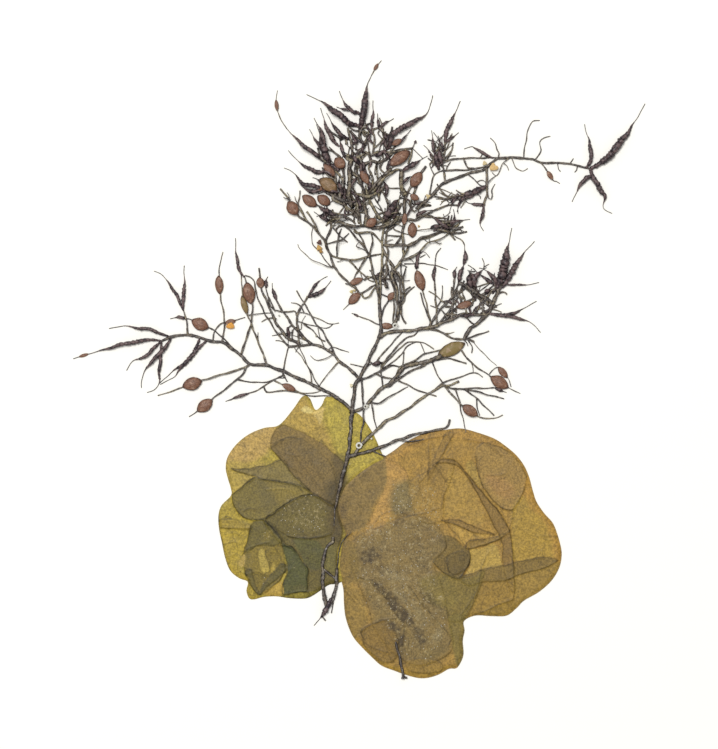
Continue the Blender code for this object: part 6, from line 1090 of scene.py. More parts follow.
def bladder_skin(name, look, seed):
    """Dried papery skin: painted folds under mottling, veins, grain, blotchy stains and a bloom of salt."""
    made, tree, shader = finish_of(name, 0.55, Specular_IOR_Level=0.22)
    mottle = texture(tree, 230, seed=seed, Detail=6.0, Roughness=0.7)
    grain = texture(tree, 1300, seed=seed + 1, Detail=4.0, Roughness=0.75)
    dust = texture(tree, 2000, seed=seed + 2, Detail=1.0)
    blotch = texture(tree, 620, seed=seed + 3, Detail=6.0, Roughness=0.85)
    frost = texture(tree, 800, seed=seed + 4, Detail=5.0, Roughness=0.8)
    vein = add(tree, NOISE, {"Vector": add(tree, "ShaderNodeTexCoord").outputs["Object"], "Scale": 130.0,
                              "Detail": 4.0}, noise_type="RIDGED_MULTIFRACTAL").outputs[0]
    fold = texture(tree, 95, seed=seed + 5, Detail=3.0, Distortion=0.6)
    crease = sums(tree, "ABSOLUTE", sums(tree, "SUBTRACT", fold, 0.5))
    hair = texture(tree, 300, stretch=(1, 0.35, 1), seed=seed + 6, Detail=2.0)
    hair = sums(tree, "ABSOLUTE", sums(tree, "SUBTRACT", hair, 0.5))
    base = attribute(tree, "paint", "Color")
    for value, limits in ((mottle, (0.42, 0.58, 0.9, 1.1)), (grain, (0.42, 0.58, 0.74, 1.28)),
                          (vein, (0.3, 1.3, 0.9, 1.14)), (crease, (0.0, 0.01, 0.68, 1.0)),
                          (hair, (0.0, 0.012, 0.82, 1.0))):
        base = blended(tree, base, greyed(tree, ranged(tree, value, *limits)), 1.0, "MULTIPLY")
    stained = sums(tree, "ADD", blotch, sums(tree, "MULTIPLY", attribute(tree, "stain"), 0.26))
    base = blended(tree, base, look.stain_colour, ranged(tree, stained, 0.6, 0.78, 0, 0.78))
    frosted = sums(tree, "ADD", frost, sums(tree, "MULTIPLY", attribute(tree, "salt"), 0.3))
    base = blended(tree, base, look.salt_colour, ranged(tree, frosted, 0.62, 0.74, 0, 0.75))
    base = blended(tree, base, (1.0, 0.95, 0.76), 1.0, "MULTIPLY")
    base = blended(tree, base, look.speck_colour, ranged(tree, dust, 0.63, 0.7, 0, 0.4))
    tree.links.new(base, shader.inputs["Base Color"])
    tree.links.new(ranged(tree, mottle, 0.3, 0.7, 0.42, 0.62), shader.inputs["Roughness"])
    bumped(tree, shader, grain, 0.4, 0.0002)
    return made


def bark(name, look, seed):
    """Wiry dried strand: brown to olive by its own tone, painted lighter on top and painted shade along its
    sides.
    """
    made, tree, shader = finish_of(name, 0.5, Specular_IOR_Level=0.4)
    mottle = texture(tree, 420, seed=seed, Detail=4.0, Roughness=0.7)
    grain = texture(tree, 1700, seed=seed + 1, Detail=4.0, Roughness=0.7)
    bloom = texture(tree, 800, seed=seed + 2, Detail=3.0, Roughness=0.7)
    share = sums(tree, "ADD", attribute(tree, "tone"), ranged(tree, mottle, 0.4, 0.6, -0.4, 0.4))
    ramp = add(tree, "ShaderNodeValToRGB", {0: share})
    stops = ramp.color_ramp.elements
    stops[0].position, stops[0].color = 0.0, (*look.dark_colour, 1)
    stops[1].position, stops[1].color = 1.0, (*look.pale_colour, 1)
    middle = stops.new(0.5)
    middle.color = (*look.brown_colour, 1)
    # Grey patches: partly a real bloom on the strand, partly painted highlight; the same noise also brightens
    # the painted light below
    base = blended(tree, ramp.outputs[0], look.bloom_and_highlight_colour, ranged(tree, bloom, 0.52, 0.66, 0, 0.8))
    # Painted light and shade: the shaded side colour shows where the surface turns from the top, the base
    # colour on top
    lit = sums(tree, "ADD", attribute(tree, "top"), ranged(tree, bloom, 0.4, 0.6, -0.35, 0.25))
    base = blended(tree, look.shaded_side_colour, base, ranged(tree, lit, 0.3, 0.85))
    base = blended(tree, base, greyed(tree, ranged(tree, grain, 0.4, 0.6, 0.5, 1.5)), 1.0, "MULTIPLY")
    tree.links.new(base, shader.inputs["Base Color"])
    tree.links.new(ranged(tree, mottle, 0.3, 0.7, 0.38, 0.62), shader.inputs["Roughness"])
    bumped(tree, shader, grain, 0.7, 0.0002)
    return made


def vesicle_skin(name, look, seed):
    """Reddish brown vesicle with fine darker lines along it, painted shade along its rim, and paler blisters.
    """
    made, tree, shader = finish_of(name, 0.5, Specular_IOR_Level=0.25)
    local = attribute(tree, "local", "Vector")
    drawn = add(tree, "ShaderNodeMapping", {"Vector": local, "Scale": (0.7, 5.0, 5.0)}).outputs[0]
    lines = add(tree, NOISE, {"Vector": drawn, "Scale": 2.2, "Detail": 3.0}).outputs[0]
    mottle = texture(tree, 700, seed=seed, Detail=4.0, Roughness=0.7)
    parts = add(tree, "ShaderNodeSeparateXYZ", {0: local}).outputs
    base = blended(tree, look.dark_colour, look.red_colour, ranged(tree, lines, 0.42, 0.54))
    base = blended(tree, base, look.olive_colour, attribute(tree, "olive"))
    base = blended(tree, base, look.pale_colour, ranged(tree, mottle, 0.54, 0.66, 0, 0.7))
    ends = sums(tree, "ABSOLUTE", parts[0])
    base = blended(tree, base, look.dark_colour, ranged(tree, ends, 0.75, 1.0, 0, 0.9))
    # Painted shade: the rim darkens where the surface lies low on the sides, away from the top
    inward = sums(tree, "ADD", parts[2], ranged(tree, mottle, 0.4, 0.6, -0.12, 0.12))
    base = blended(tree, look.shaded_rim_colour, base, ranged(tree, inward, 0.1, 0.6, 0.1, 1.0))
    tree.links.new(base, shader.inputs["Base Color"])
    tree.links.new(ranged(tree, mottle, 0.3, 0.7, 0.34, 0.56), shader.inputs["Roughness"])
    bumped(tree, shader, lines, 0.35, 0.0002)
    return made


def receptacle_skin(name, look, seed):
    """Almost black fruiting tip, painted taupe on top as light, with blunt warts and a purplish cast."""
    made, tree, shader = finish_of(name, 0.46, Specular_IOR_Level=0.4)
    mottle = texture(tree, 620, seed=seed, Detail=4.0, Roughness=0.7)
    cells = texture(tree, 1500, seed=seed + 1, kind="ShaderNodeTexVoronoi")
    # Painted light: taupe where the surface faces up, almost black on the sides painted as shade, shifted by
    # mottle and tone
    lit = sums(tree, "ADD", attribute(tree, "top"), ranged(tree, mottle, 0.4, 0.6, -0.8, 0.5))
    lit = sums(tree, "ADD", lit, sums(tree, "MULTIPLY", attribute(tree, "tone"), 0.4))
    base = blended(tree, look.dark_colour, look.brown_colour, ranged(tree, lit, 0.45, 1.15))
    # Painted highlight: paler spots on the wart tops
    base = blended(tree, base, look.bloom_and_highlight_colour, ranged(tree, cells, 0.3, 0.05, 0, 0.45))
    base = blended(tree, base, look.tip_colour, ranged(tree, attribute(tree, "along"), 0.76, 0.84))
    tree.links.new(base, shader.inputs["Base Color"])
    bumped(tree, shader, cells, 0.6, 0.0002)
    return made


def lime(name, look, seed):
    """Chalky shell with growth rings and grey dirt in patches."""
    made, tree, shader = finish_of(name, 0.55)
    along = attribute(tree, "along")
    rings = add(tree, "ShaderNodeTexWave", {"Vector": greyed(tree, along), "Scale": 8.0}).outputs["Fac"]
    dirt = texture(tree, 1500, seed=seed, Detail=3.0)
    base = blended(tree, look.lime_colour, look.dirt_colour, ranged(tree, dirt, 0.52, 0.72, 0, 0.6))
    tree.links.new(base, shader.inputs["Base Color"])
    bumped(tree, shader, rings, 0.4, 0.0002)
    return made


def flake(name, seed):
    """Crumbly scrap that takes its colour from its own attribute."""
    made, tree, shader = finish_of(name, 0.75)
    paint = attribute(tree, "paint", "Color")
    grain = texture(tree, 1400, seed=seed, Detail=4.0)
    base = blended(tree, paint, greyed(tree, ranged(tree, grain, 0.3, 0.7, 0.7, 1.2)), 1.0, "MULTIPLY")
    tree.links.new(base, shader.inputs["Base Color"])
    bumped(tree, shader, grain, 0.8, 0.0003)
    return made


# Bladders


SEAM = 1.6  # how near in millimetres an edge lies to the neighbour that it is tucked under


def tucked_outline(outline, neighbour, reach):
    """The outline with its shared edge pushed on beneath the neighbour's."""
    spots = outline.copy()
    depth = depth_in(spots, neighbour)
    centre = neighbour.mean(axis=0)
    for i in np.where(depth > -SEAM)[0]:
        towards = centre - spots[i]
        spots[i] += towards / np.linalg.norm(towards) * (reach - depth[i])
    return spots


class Skin:
    """A bladder pressed flat: its outline, and the height and paint of its upper face."""

    # Widths in millimetres of a fold's slope, the rim's slope, a crease, and the shade along each
    fold_slope, rim_slope, crease_width = 0.5, 1.6, 0.45
    border_width, edge_width = 0.32, 0.5
    wander = 0.5  # how far in millimetres a painted edge strays from its outline
    pale_stain = 130  # a stain redder than this is a bloom of salt

    def __init__(self, side, look):
        left = side == "left"
        outline = smooth_route(points_of(LEFT_OUTLINE if left else RIGHT_OUTLINE), OUTLINE_STEP, closed=True)
        if left:
            other = smooth_route(points_of(RIGHT_OUTLINE), OUTLINE_STEP, closed=True)
            outline = tucked_outline(outline, other, look.tuck / MM)
        self.outline, self.look = outline, look
        self.regions = LEFT_REGIONS if left else RIGHT_REGIONS
        self.stains = LEFT_STAINS if left else RIGHT_STAINS
        self.lines = LEFT_LINES if left else RIGHT_LINES
        self.salted = LEFT_SALTED if left else RIGHT_SALTED
        self.ground = look.left_colour if left else look.right_colour
        self.number = 1 if left else 2

    def height(self, spots):
        """Height in millimetres at each spot; nought outside the outline."""
        look = self.look
        depth = depth_in(spots, self.outline)
        rise = np.full(len(spots), (look.thickness - look.rim) / MM)
        for row in self.regions:
            if row[5]:
                region = smooth_route(points_of(row[6:]), FOLD_STEP, closed=True)
                rise += row[5] * look.fold_height * eased(depth_in(spots, region) / self.fold_slope + 0.5)
        for row in self.lines:
            away = distance_to(spots, smooth_route(points_of(row[3:]), FOLD_STEP))
            rise += row[2] * look.fold_height * near(away, self.crease_width)
        rise += 0.1 * clouds(spots, 8, self.number) + 0.05 * clouds(spots, 2.5, self.number + 3)
        rise += 0.02 * clouds(spots, 0.8, self.number + 6)
        height = look.rim / MM + np.maximum(rise, 0.02) * eased(depth / self.rim_slope)
        return np.where(depth > -0.02, height, 0.0)

    def paint(self, spots):
        """Colour, salt and stain at each spot."""
        warp = np.column_stack([clouds(spots, 3, 11), clouds(spots, 3, 12)]) * self.wander
        warped = spots + warp
        rough, drift = clouds(spots, 1.6, 13), clouds(spots, 9, 14)
        colours = np.tile(np.array(self.ground), (len(spots), 1))
        for row in self.regions:
            region = smooth_route(points_of(row[6:]), FOLD_STEP, closed=True)
            depth = depth_in(warped, region)
            share = row[4] * eased(depth / row[3] + 0.5)
            colours += (np.array(tint(*row[:3])) - colours) * share[:, None]
            if row[5]:
                border = (0.32 + 0.22 * rough + 0.3 * drift) * near(depth, self.border_width)
                colours *= (1 - border)[:, None]
        salt, stain = np.zeros(len(spots)), np.zeros(len(spots))
        for red, green, blue, strength, x, y, along, across, turn in self.stains:
            away = spots - (x, y)
            cosine, sine = math.cos(math.radians(turn)), math.sin(math.radians(turn))
            out = np.hypot((away[:, 0] * cosine + away[:, 1] * sine) / along,
                           (away[:, 1] * cosine - away[:, 0] * sine) / across)
            share = strength * eased((1.35 - out + 0.5 * rough) / 1.1)
            colours += (np.array(tint(red, green, blue)) - colours) * (0.5 * share)[:, None]
            if red > self.pale_stain:
                salt = np.maximum(salt, 0.6 * share)
            else:
                stain = np.maximum(stain, share * min(1.0, (150 - red) / 60))
        for row in self.salted:
            salt = np.maximum(salt, 0.3 * eased(depth_in(warped, points_of(row)) / 6 + 0.5))
        for row in self.lines:
            away = distance_to(warped, smooth_route(points_of(row[3:]), FOLD_STEP))
            uneven = 0.8 + 0.4 * rough
            colours *= (1 - min(1.6 * row[0], 0.9) * uneven * near(away, row[1] * 0.6))[:, None]
        edge = distance_to(spots, self.outline, True)
        colours *= (1 - 0.18 * near(edge, self.edge_width))[:, None]
        return np.clip(colours, 0.002, 1), salt, stain

    def mesh(self, name):
        """A closed sheet whose upper face is a fine, even net of points."""
        spacing = self.look.net / MM
        rim = self.outline
        low, high = rim.min(axis=0), rim.max(axis=0)
        rows = np.arange(low[1], high[1], spacing * 0.866)
        columns = np.arange(low[0], high[0], spacing)
        inner = np.array([(x + (k % 2) * spacing / 2, y) for k, y in enumerate(rows) for x in columns])
        inner = inner[depth_in(inner, rim) > 0.6 * spacing]
        spots = np.vstack([rim, inner])
        count = len(rim)
        edges = [(i, (i + 1) % count) for i in range(count)]
        flat, _, faces, _, _, _ = geometry.delaunay_2d_cdt(
            [Vector(p) for p in spots], edges, [list(range(count))], 1, 1e-5)
        spots = np.array([tuple(p) for p in flat])
        first = len(spots)
        upper = np.column_stack([spots, self.height(spots)])
        lower = np.column_stack([spots[:count], np.full(count, self.look.lift / MM)])
        colours, salt, stain = self.paint(spots)
        sides = [(i, first + i, first + (i + 1) % count, (i + 1) % count) for i in range(count)]
        faces = [tuple(face) for face in faces] + sides + [tuple(range(first + count - 1, first - 1, -1))]
        return object_from(name, np.vstack([upper, lower]), faces,
                           paint=np.vstack([colours, colours[:count]]),
                           salt=np.concatenate([salt, salt[:count]]),
                           stain=np.concatenate([stain, stain[:count]]))


# Strands


class Bed:
    """What strands lie on: the two bladders' upper faces, looked up from a coarse net."""

    # Millimetres between the net's points, and along which a route's height is evened out
    step, evened = 0.8, 3.0

    def __init__(self, skins):
        outlines = np.vstack([skin.outline for skin in skins])
        self.low = outlines.min(axis=0) - 2 * self.step
        self.shape = np.ceil((outlines.max(axis=0) - self.low) / self.step).astype(int) + 2
        net = np.array([(x, y) for x in range(self.shape[0]) for y in range(self.shape[1])], float)
        spots = self.low + net * self.step
        heights = np.max([skin.height(spots) for skin in skins], axis=0)
        self.heights = heights.reshape(self.shape)

    def at(self, spots):
        """Height below each spot of a route, evened out over the steps of the folds."""
        place = (spots - self.low) / self.step
        cell = np.clip(np.round(place).astype(int), 0, self.shape - 1)
        within = ((place > 0) & (place < self.shape - 1)).all(axis=1)
        raw = np.where(within, self.heights[cell[:, 0], cell[:, 1]], 0.0)
        if not raw.any():
            return raw
        steps = max(1, round(self.evened / max(np.hypot(*(spots[1] - spots[0])), 0.2)))
        for way in (np.max, np.mean):
            padded = np.pad(raw, steps, mode="edge")
            raw = np.array([way(padded[i:i + 2 * steps + 1]) for i in range(len(spots))])
        return raw


class Thicket:
    """The strands and receptacles of one node, laid over one another from the root on."""

    # Millimetres
    joint = 7  # along which a strand leaves the height of the one it grew from
    least_radius = 0.12  # of a strand
    tip_radius = 0.14  # of a receptacle's hair
    sway = 0.16  # to either side of the route
    touching = 0.25  # a root nearer than this to an older strand isn't led back to it
    gap, clear = 0.08, 0.1  # over what lies beneath, and over the paper

    def __init__(self, seed, bed, lift, tone):
        self.draw = random.Random(seed)
        self.bed, self.lift, self.tone = bed, lift, tone
        self.spots = np.zeros((0, 3))
        self.strands, self.pods = [], []
        self.grown_from = 0  # how many of the strands may carry spurs

    def rooted(self, points, reach=2.6):
        """The points led back to the nearest strand that is there already, and its height there."""
        if not len(self.spots):
            return points, None
        away = np.hypot(*(self.spots[:, :2] - points[0]).T)
        best = int(np.argmin(away))
        if away[best] > reach:
            return points, None
        if away[best] > self.touching:
            points = np.vstack([self.spots[best, :2], points])
        return points, self.spots[best, 2]

    def lay(self, points, radii_of, step, into, tone):
        """Adds one route, smoothed, swaying, arched a little and resting on what is beneath it."""
        points, start = self.rooted(points)
        route = smooth_route(points, step)
        run = np.concatenate([[0], np.cumsum(np.hypot(*np.diff(route, axis=0).T))])
        share = run / run[-1]
        radii = radii_of(share, run)
        height = self.bed.at(route) + radii * 0.9 + self.gap
        if start is not None:
            height += (start - height[0]) * (1 - eased(run / self.joint))
        arch = self.draw.random() ** 1.5 * self.lift * min(1.0, run[-1] / 12)
        height += arch * np.sin(math.pi * share ** 0.8) ** 2
        height = np.maximum(height, radii * 1.2 + self.clear)
        sway = self.sway * min(1.0, run[-1] / 20)
        phase = self.draw.uniform(0, 9)
        route = route + np.column_stack([np.sin(run * 0.9 + phase), np.cos(run * 0.7 + phase)]) * sway * (
            np.sin(math.pi * share)[:, None])
        placed = np.column_stack([route, height])
        self.spots = np.vstack([self.spots, placed])
        into.append((placed, radii, tone, share))

    def strand(self, row):
        """A wiry strand; a thin one gets thinner and darker still."""
        draw = self.draw
        first, last = (max(w * (0.34 + 0.16 * min(w, 1)), self.least_radius) for w in row[:2])
        wave, phase = draw.uniform(0.7, 1.5), draw.uniform(0, 9)

        def radii(share, run):
            plain = first + (last - first) * share
            return plain * (1 + 0.12 * np.sin(run * wave + phase) + 0.06 * np.sin(run * 2.9 + phase))

        tone = draw.gauss(self.tone, 0.2) - 0.3 * max(1 - row[0], 0)
        self.lay(points_of(row[2:]), radii, STRAND_STEP, self.strands, min(max(tone, 0), 1))

    def pod(self, row):
        """A beaded receptacle that ends in a hair-thin tip."""
        draw = self.draw
        bead, phase = draw.uniform(1.9, 2.6), draw.uniform(0, 6)

        def radii(share, run):
            body = np.minimum(1, 0.45 + 2.4 * share) * eased((0.84 - share) / 0.42)
            lumps = 0.82 + 0.2 * np.abs(np.sin(run * math.pi / bead + phase + 0.9 * np.sin(run * 0.7)))
            lumps += 0.08 * np.sin(run * 4.1 + phase) + 0.05 * np.sin(run * 7.3)
            return np.maximum(row[0] / 2 * body * lumps * 1.06, self.tip_radius)

        self.lay(points_of(row[1:]), radii, POD_STEP, self.pods, draw.uniform(0.1, 0.7))

    def spur(self):
        """A short side branch from somewhere on the strands there are."""
        draw = self.draw
        placed, radii, *_ = draw.choice(self.strands[:self.grown_from])
        i = draw.randrange(len(placed))
        if not 3 < i < len(placed) - 3 or radii[i] < 0.3 or placed[i, 1] < 0:
            return
        ahead = placed[i + 1, :2] - placed[i, :2]
        heading = math.atan2(ahead[1], ahead[0]) + draw.choice((-1, 1)) * draw.uniform(0.35, 1.0)
        bend, step = draw.uniform(-0.35, 0.35), draw.uniform(0.7, 1.7)
        points = [placed[i, :2]]
        for _ in range(3):
            points.append(points[-1] + np.array([math.cos(heading), math.sin(heading)]) * step)
            heading += bend
        width = draw.uniform(0.35, 0.75)
        self.strand((width, width * 0.4, *np.concatenate(points)))


def net_of(name, laid):
    """One object of polylines that carries thickness, tone and the share of the way along."""
    points, edges, thick, tone, along = [], [], [], [], []
    for placed, radii, shade, share in laid:
        first = len(points)
        points += placed.tolist()
        edges += [(first + i, first + i + 1) for i in range(len(placed) - 1)]
        thick += (radii * MM).tolist()
        tone += [shade] * len(placed)
        along += share.tolist()
    return object_from(name, points, [], edges, thick=thick, tone=tone, along=along)


def twigs(region, fan, count, seed, spread, widths):
    """Widths and routes of small twigs that fan out within an outline, drawn with a fixed seed."""
    draw = random.Random(seed)
    low, high = region.min(axis=0), region.max(axis=0)
    rows = []
    while len(rows) < count:
        start = np.array((draw.uniform(low[0], high[0]), draw.uniform(low[1], high[1])))
        if depth_in(start[None], region)[0] < 0:
            continue
        away = Vector(start - fan).angle_signed(Vector((1, 0)))
        heading, bend = away + draw.gauss(0, spread), draw.uniform(-0.5, 0.5)
        step = draw.uniform(1.6, 3.0)
        route = [start]
        for _ in range(3):
            route.append(route[-1] + np.array((math.cos(heading), math.sin(heading))) * step)
            heading += bend
        if any(distance_to(np.array([(x, y)]), np.array(route))[0] < radius for x, y, radius in HOLES):
            continue
        rows.append((draw.uniform(*widths), *np.concatenate(route)))
    return rows


# What a user would change


class BladderLook(bpy.types.PropertyGroup):
    """Sizes and colours of the two pressed bladders."""

    net: length("Net", 0.33, "Spacing of the points of the upper face")
    thickness: length("Thickness", 0.5, "Thickness of a pressed bladder away from its folds")
    rim: length("Rim", 0.2, "Thickness at the papery rim")
    lift: length("Lift", 0.03, "Height of the underside")
    tuck: length("Tuck", 1.3, "How far the left bladder runs on beneath the right one")
    fold_height: amount("Fold height", 1.5, "What the heights of folds and creases are multiplied by")
    left_colour: colour("Left skin", 184, 166, 78)
    right_colour: colour("Right skin", 174, 141, 75)
    speck_colour: colour("Specks", 70, 56, 38)
    stain_colour: colour("Stains", 58, 48, 38)
    salt_colour: colour("Salt", 190, 176, 142)
    grain_colour: colour("Salt grains", 206, 200, 182)


class StrandLook(bpy.types.PropertyGroup):
    """Build and colours of the host's strands and receptacles."""

    sides: bpy.props.IntProperty(name="Sides", description="Sides of a strand's section", default=8, min=3)
    wrinkle: amount("Wrinkles", 1.1, "Depth of wrinkles, as a share of the radius", most=2)
    wart: amount("Warts", 0.9, "Depth of warts, as a share of the radius", most=3)
    # Painted shade on the sides of the strands that turn from the light
    shaded_side_colour: colour("Shaded side", 32, 26, 26)
    dark_colour: colour("Dark bark", 72, 64, 60)
    brown_colour: colour("Brown bark", 116, 103, 88)
    pale_colour: colour("Pale bark", 158, 145, 112)
    # Grey patches on strands: partly a real bloom, partly painted highlight
    bloom_and_highlight_colour: colour("Grey bloom", 146, 143, 138)


class ReceptacleLook(bpy.types.PropertyGroup):
    """Colours of the fruiting tips."""

    # Dark shows on the sides painted as shade, brown on the tops painted as lit
    dark_colour: colour("Dark receptacle", 44, 33, 37)
    brown_colour: colour("Brown receptacle", 112, 92, 90)
    # Paler wart tops, a painted highlight
    bloom_and_highlight_colour: colour("Wart tops", 136, 120, 116)
    tip_colour: colour("Hair tips", 30, 24, 24)


class VesicleLook(bpy.types.PropertyGroup):
    """Build and colours of the gas vesicles."""

    flatness: amount("Flatness", 0.4, "Height as a share of the width", least=0.1, most=1)
    shrivel: amount("Shrivel", 0.2, "Depth of dents, as a share of the width", most=1)
    # Painted shade along a vesicle's sides
    shaded_rim_colour: colour("Rim", 60, 40, 34)
    dark_colour: colour("Dark vesicle", 100, 68, 52)
    red_colour: colour("Red vesicle", 144, 104, 82)
    pale_colour: colour("Pale vesicle", 190, 160, 138)
    olive_colour: colour("Olive vesicle", 138, 124, 70)


class ShellLook(bpy.types.PropertyGroup):
    """Colours of the worm shells."""

    lime_colour: colour("Lime", 238, 235, 224)
    dirt_colour: colour("Dirt", 160, 152, 132)


class StageLook(bpy.types.PropertyGroup):
    """Floor, light and camera."""

    floor_colour: bpy.props.FloatVectorProperty(name="Floor", description="Colour of the paper floor",
                                                subtype="COLOR", size=3, min=0, max=1,
                                                default=(0.93, 0.905, 0.845))
    light: amount("Light", 0.42, "Radiance of the white surroundings")
    lamp: bpy.props.FloatProperty(name="Lamp", description="Power of the soft lamp", unit="POWER",
                                  default=44.0, min=0)
    lamp_size: length("Lamp size", 700, "Side of the soft lamp")
    lens: amount("Lens", 120.0, "Focal length in millimetres", least=1, most=1000)
    distance: length("Distance", 998.7, "Height of the camera over the floor")


LOOKS = {"bladder": BladderLook, "strand": StrandLook, "receptacle": ReceptacleLook,
         "vesicle": VesicleLook, "shell": ShellLook, "stage": StageLook}


class SpecimenSettings(bpy.types.PropertyGroup):
    """Everything about the specimen that a user would change."""

    bladder: bpy.props.PointerProperty(type=BladderLook)
    strand: bpy.props.PointerProperty(type=StrandLook)
    receptacle: bpy.props.PointerProperty(type=ReceptacleLook)
    vesicle: bpy.props.PointerProperty(type=VesicleLook)
    shell: bpy.props.PointerProperty(type=ShellLook)
    stage: bpy.props.PointerProperty(type=StageLook)


# Seed, height of the arches in millimetres, mean tone, number of spurs, and slot of each node
NODES = {
    "host_main_stem": (11, 0.0, 0.3, 0, "host_stem"),
    "host_basal_shoots": (12, 0.2, 0.2, 0, "host_stem"),
    "host_stub": (13, 0.0, 0.4, 0, "host_stem"),
    "host_frond_left": (14, 1.2, 0.42, 20, "host_frond"),
    "host_frond_crown": (15, 3.2, 0.5, 90, "host_frond"),
    "host_frond_arm": (16, 1.2, 0.45, 14, "host_frond"),
    "host_frond_right": (17, 1.6, 0.4, 30, "host_frond"),
}


def thicket_of(node, bed, stem):
    """One node's strands and receptacles: those in the tables, then the seeded ones."""
    seed, lift, tone, spurs, _ = NODES[node]
    thicket = Thicket(seed, bed, lift, tone)
    if stem:
        thicket.spots = np.vstack(stem)
    for row in STRANDS[node]:
        thicket.strand(row)
    pods = list(PODS.get(node, []))
    if node == "host_frond_crown":
        pods += twigs(points_of(TWIG_REGION), np.array(TWIG_FAN), TWIG_COUNT, TWIG_SEED, TWIG_SPREAD,
                      TWIG_WIDTHS)
    for row in pods:
        thicket.pod(row)
    thicket.grown_from = len(thicket.strands)
    for number, row in enumerate(TANGLES.get(node, [])):
        count, least, most, spread, share, thicket.tone, *fan = row[:8]
        drawn = seed * 10 + number
        made = twigs(points_of(row[8:]), np.array(fan), count, drawn, spread, (least, most))
        for i, twig in enumerate(made):
            if i < count * share:
                thicket.pod(twig)
            else:
                thicket.strand((twig[0], twig[0] * 0.7, *twig[1:]))
    for _ in range(spurs):
        thicket.spur()
    return thicket


class BladdersOperator(bpy.types.Operator):
    """Make both bladders and the salt grains that lie on them"""

    bl_idname = "specimen.bladders"
    bl_label = "Bladders"

    def execute(self, context):
        look = context.scene.specimen.bladder
        scatter = grain_group()
        grains = finish_of("Salt grain", 0.4, Base_Color=(*look.grain_colour, 1), Specular_IOR_Level=0.6)[0]
        for side, seed in (("left", 3.0), ("right", 9.0)):
            skin = Skin(side, look)
            name = f"bladder_{side}"
            piece = shaded(skin.mesh(name), bladder_skin(name, look, seed))
            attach(piece, "root")
            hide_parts(f"oyster_thief_{side}")
            salt = bpy.data.objects.new(f"salt_{side}", piece.data.copy())
            context.scene.collection.objects.link(salt)
            grown(salt, scatter, {"Density": 460000.0, "Least size": 0.00007, "Greatest size": 0.00026,
                                  "Seed": int(seed), "Skin": grains})
            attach(salt, "root")
        return {"FINISHED"}


class StrandsOperator(bpy.types.Operator):
    """Make the host's strands, receptacles and vesicles, one node after the other"""

    bl_idname = "specimen.strands"
    bl_label = "Strands"

    def execute(self, context):
        settings = context.scene.specimen
        bed = Bed([Skin(side, settings.bladder) for side in ("left", "right")])
        tubes, spindles = strand_group(), vesicle_group()
        skin = bark("bark", settings.strand, 4.0)
        tip = receptacle_skin("receptacle", settings.receptacle, 8.0)
        gas = vesicle_skin("vesicle", settings.vesicle, 6.0)
        stem = []
        for node, (seed, *_, slot) in NODES.items():
            thicket = thicket_of(node, bed, stem)
            if node == "host_main_stem":
                stem = [placed for placed, *_ in thicket.strands]
            kinds = [("strands", thicket.strands, skin, settings.strand.wrinkle, 0.0011),
                     ("receptacles", thicket.pods, tip, settings.strand.wart, 0.0008)]
            for kind, laid, material, depth, lumps in kinds:
                if not laid:
                    continue
                piece = net_of(f"{node}_{kind}", laid)
                grown(piece, tubes, {"Sides": settings.strand.sides, "Wrinkle depth": depth,
                                     "Wrinkle length": lumps, "Seed": float(seed), "Skin": material})
                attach(piece, "root")
                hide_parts(node)
            if node in VESICLES:
                piece = self.vesicles(f"{node}_vesicles", VESICLES[node], thicket, settings.vesicle)
                grown(piece, spindles, {"Shrivel": settings.vesicle.shrivel, "Seed": float(seed),
                                        "Skin": gas})
                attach(piece, "root")
                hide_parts(node)
        return {"FINISHED"}

    def vesicles(self, name, rows, thicket, look):
        """Points at the middles of the vesicles, with their sizes and headings."""
        points, long, wide, high, heading, olive = [], [], [], [], [], []
        for x0, y0, x1, y1, width, *green in rows:
            middle = np.array(((x0 + x1) / 2, (y0 + y1) / 2))
            away = np.hypot(*(thicket.spots[:, :2] - middle).T)
            ends = [np.hypot(*(thicket.spots[:, :2] - end).T) for end in ((x0, y0), (x1, y1))]
            nearest = min(ends + [away], key=np.min)
            half = width / 2 * look.flatness
            base = thicket.spots[int(np.argmin(nearest)), 2]
            lowest = thicket.bed.at(middle[None].repeat(2, 0))[0] + half + 0.1
            under = max(thicket.spots[away < width * 0.55, 2], default=0)
            points.append((*middle, max(base, lowest, under)))
            long.append(math.hypot(x1 - x0, y1 - y0) / 2 * MM)
            wide.append(width / 2 * MM)
            high.append(half * MM)
            heading.append(math.atan2(y1 - y0, x1 - x0))
            olive.append(sum(green))
        return object_from(name, points, [], long=long, wide=wide, high=high, heading=heading, olive=olive)


class WormsOperator(bpy.types.Operator):
    """Make the coiled shells of the tube worms"""

    bl_idname = "specimen.worms"
    bl_label = "Tube worms"

    def execute(self, context):
        skin = lime("lime", context.scene.specimen.shell, 5.0)
        tubes = strand_group()
        for number, (x, y, outer, base) in enumerate(WORMS, 1):
            bore = outer * WORM_BORE
            turn = np.linspace(0, 2 * math.pi * WORM_TURNS, 60)
            reach = (outer / 2 - bore) * (1 - 0.2 * turn / turn[-1])
            bulge = bore * (1 - 0.4 * turn / turn[-1]) * (1 + 0.1 * np.sin(turn * 11))
            lift = base + bore + 0.5 * bore * turn / turn[-1]
            placed = np.column_stack([x + reach * np.cos(turn), y + reach * np.sin(turn), lift])
            piece = net_of(f"worm_shell_{number}", [(placed, bulge, 0.5, turn / turn[-1])])
            grown(piece, tubes, {"Sides": 12, "Wrinkle depth": 0.25, "Wrinkle length": 0.0005,
                                 "Seed": float(number), "Skin": skin})
            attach(piece, "root")
            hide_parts(f"tube_worm_{number}")
        return {"FINISHED"}


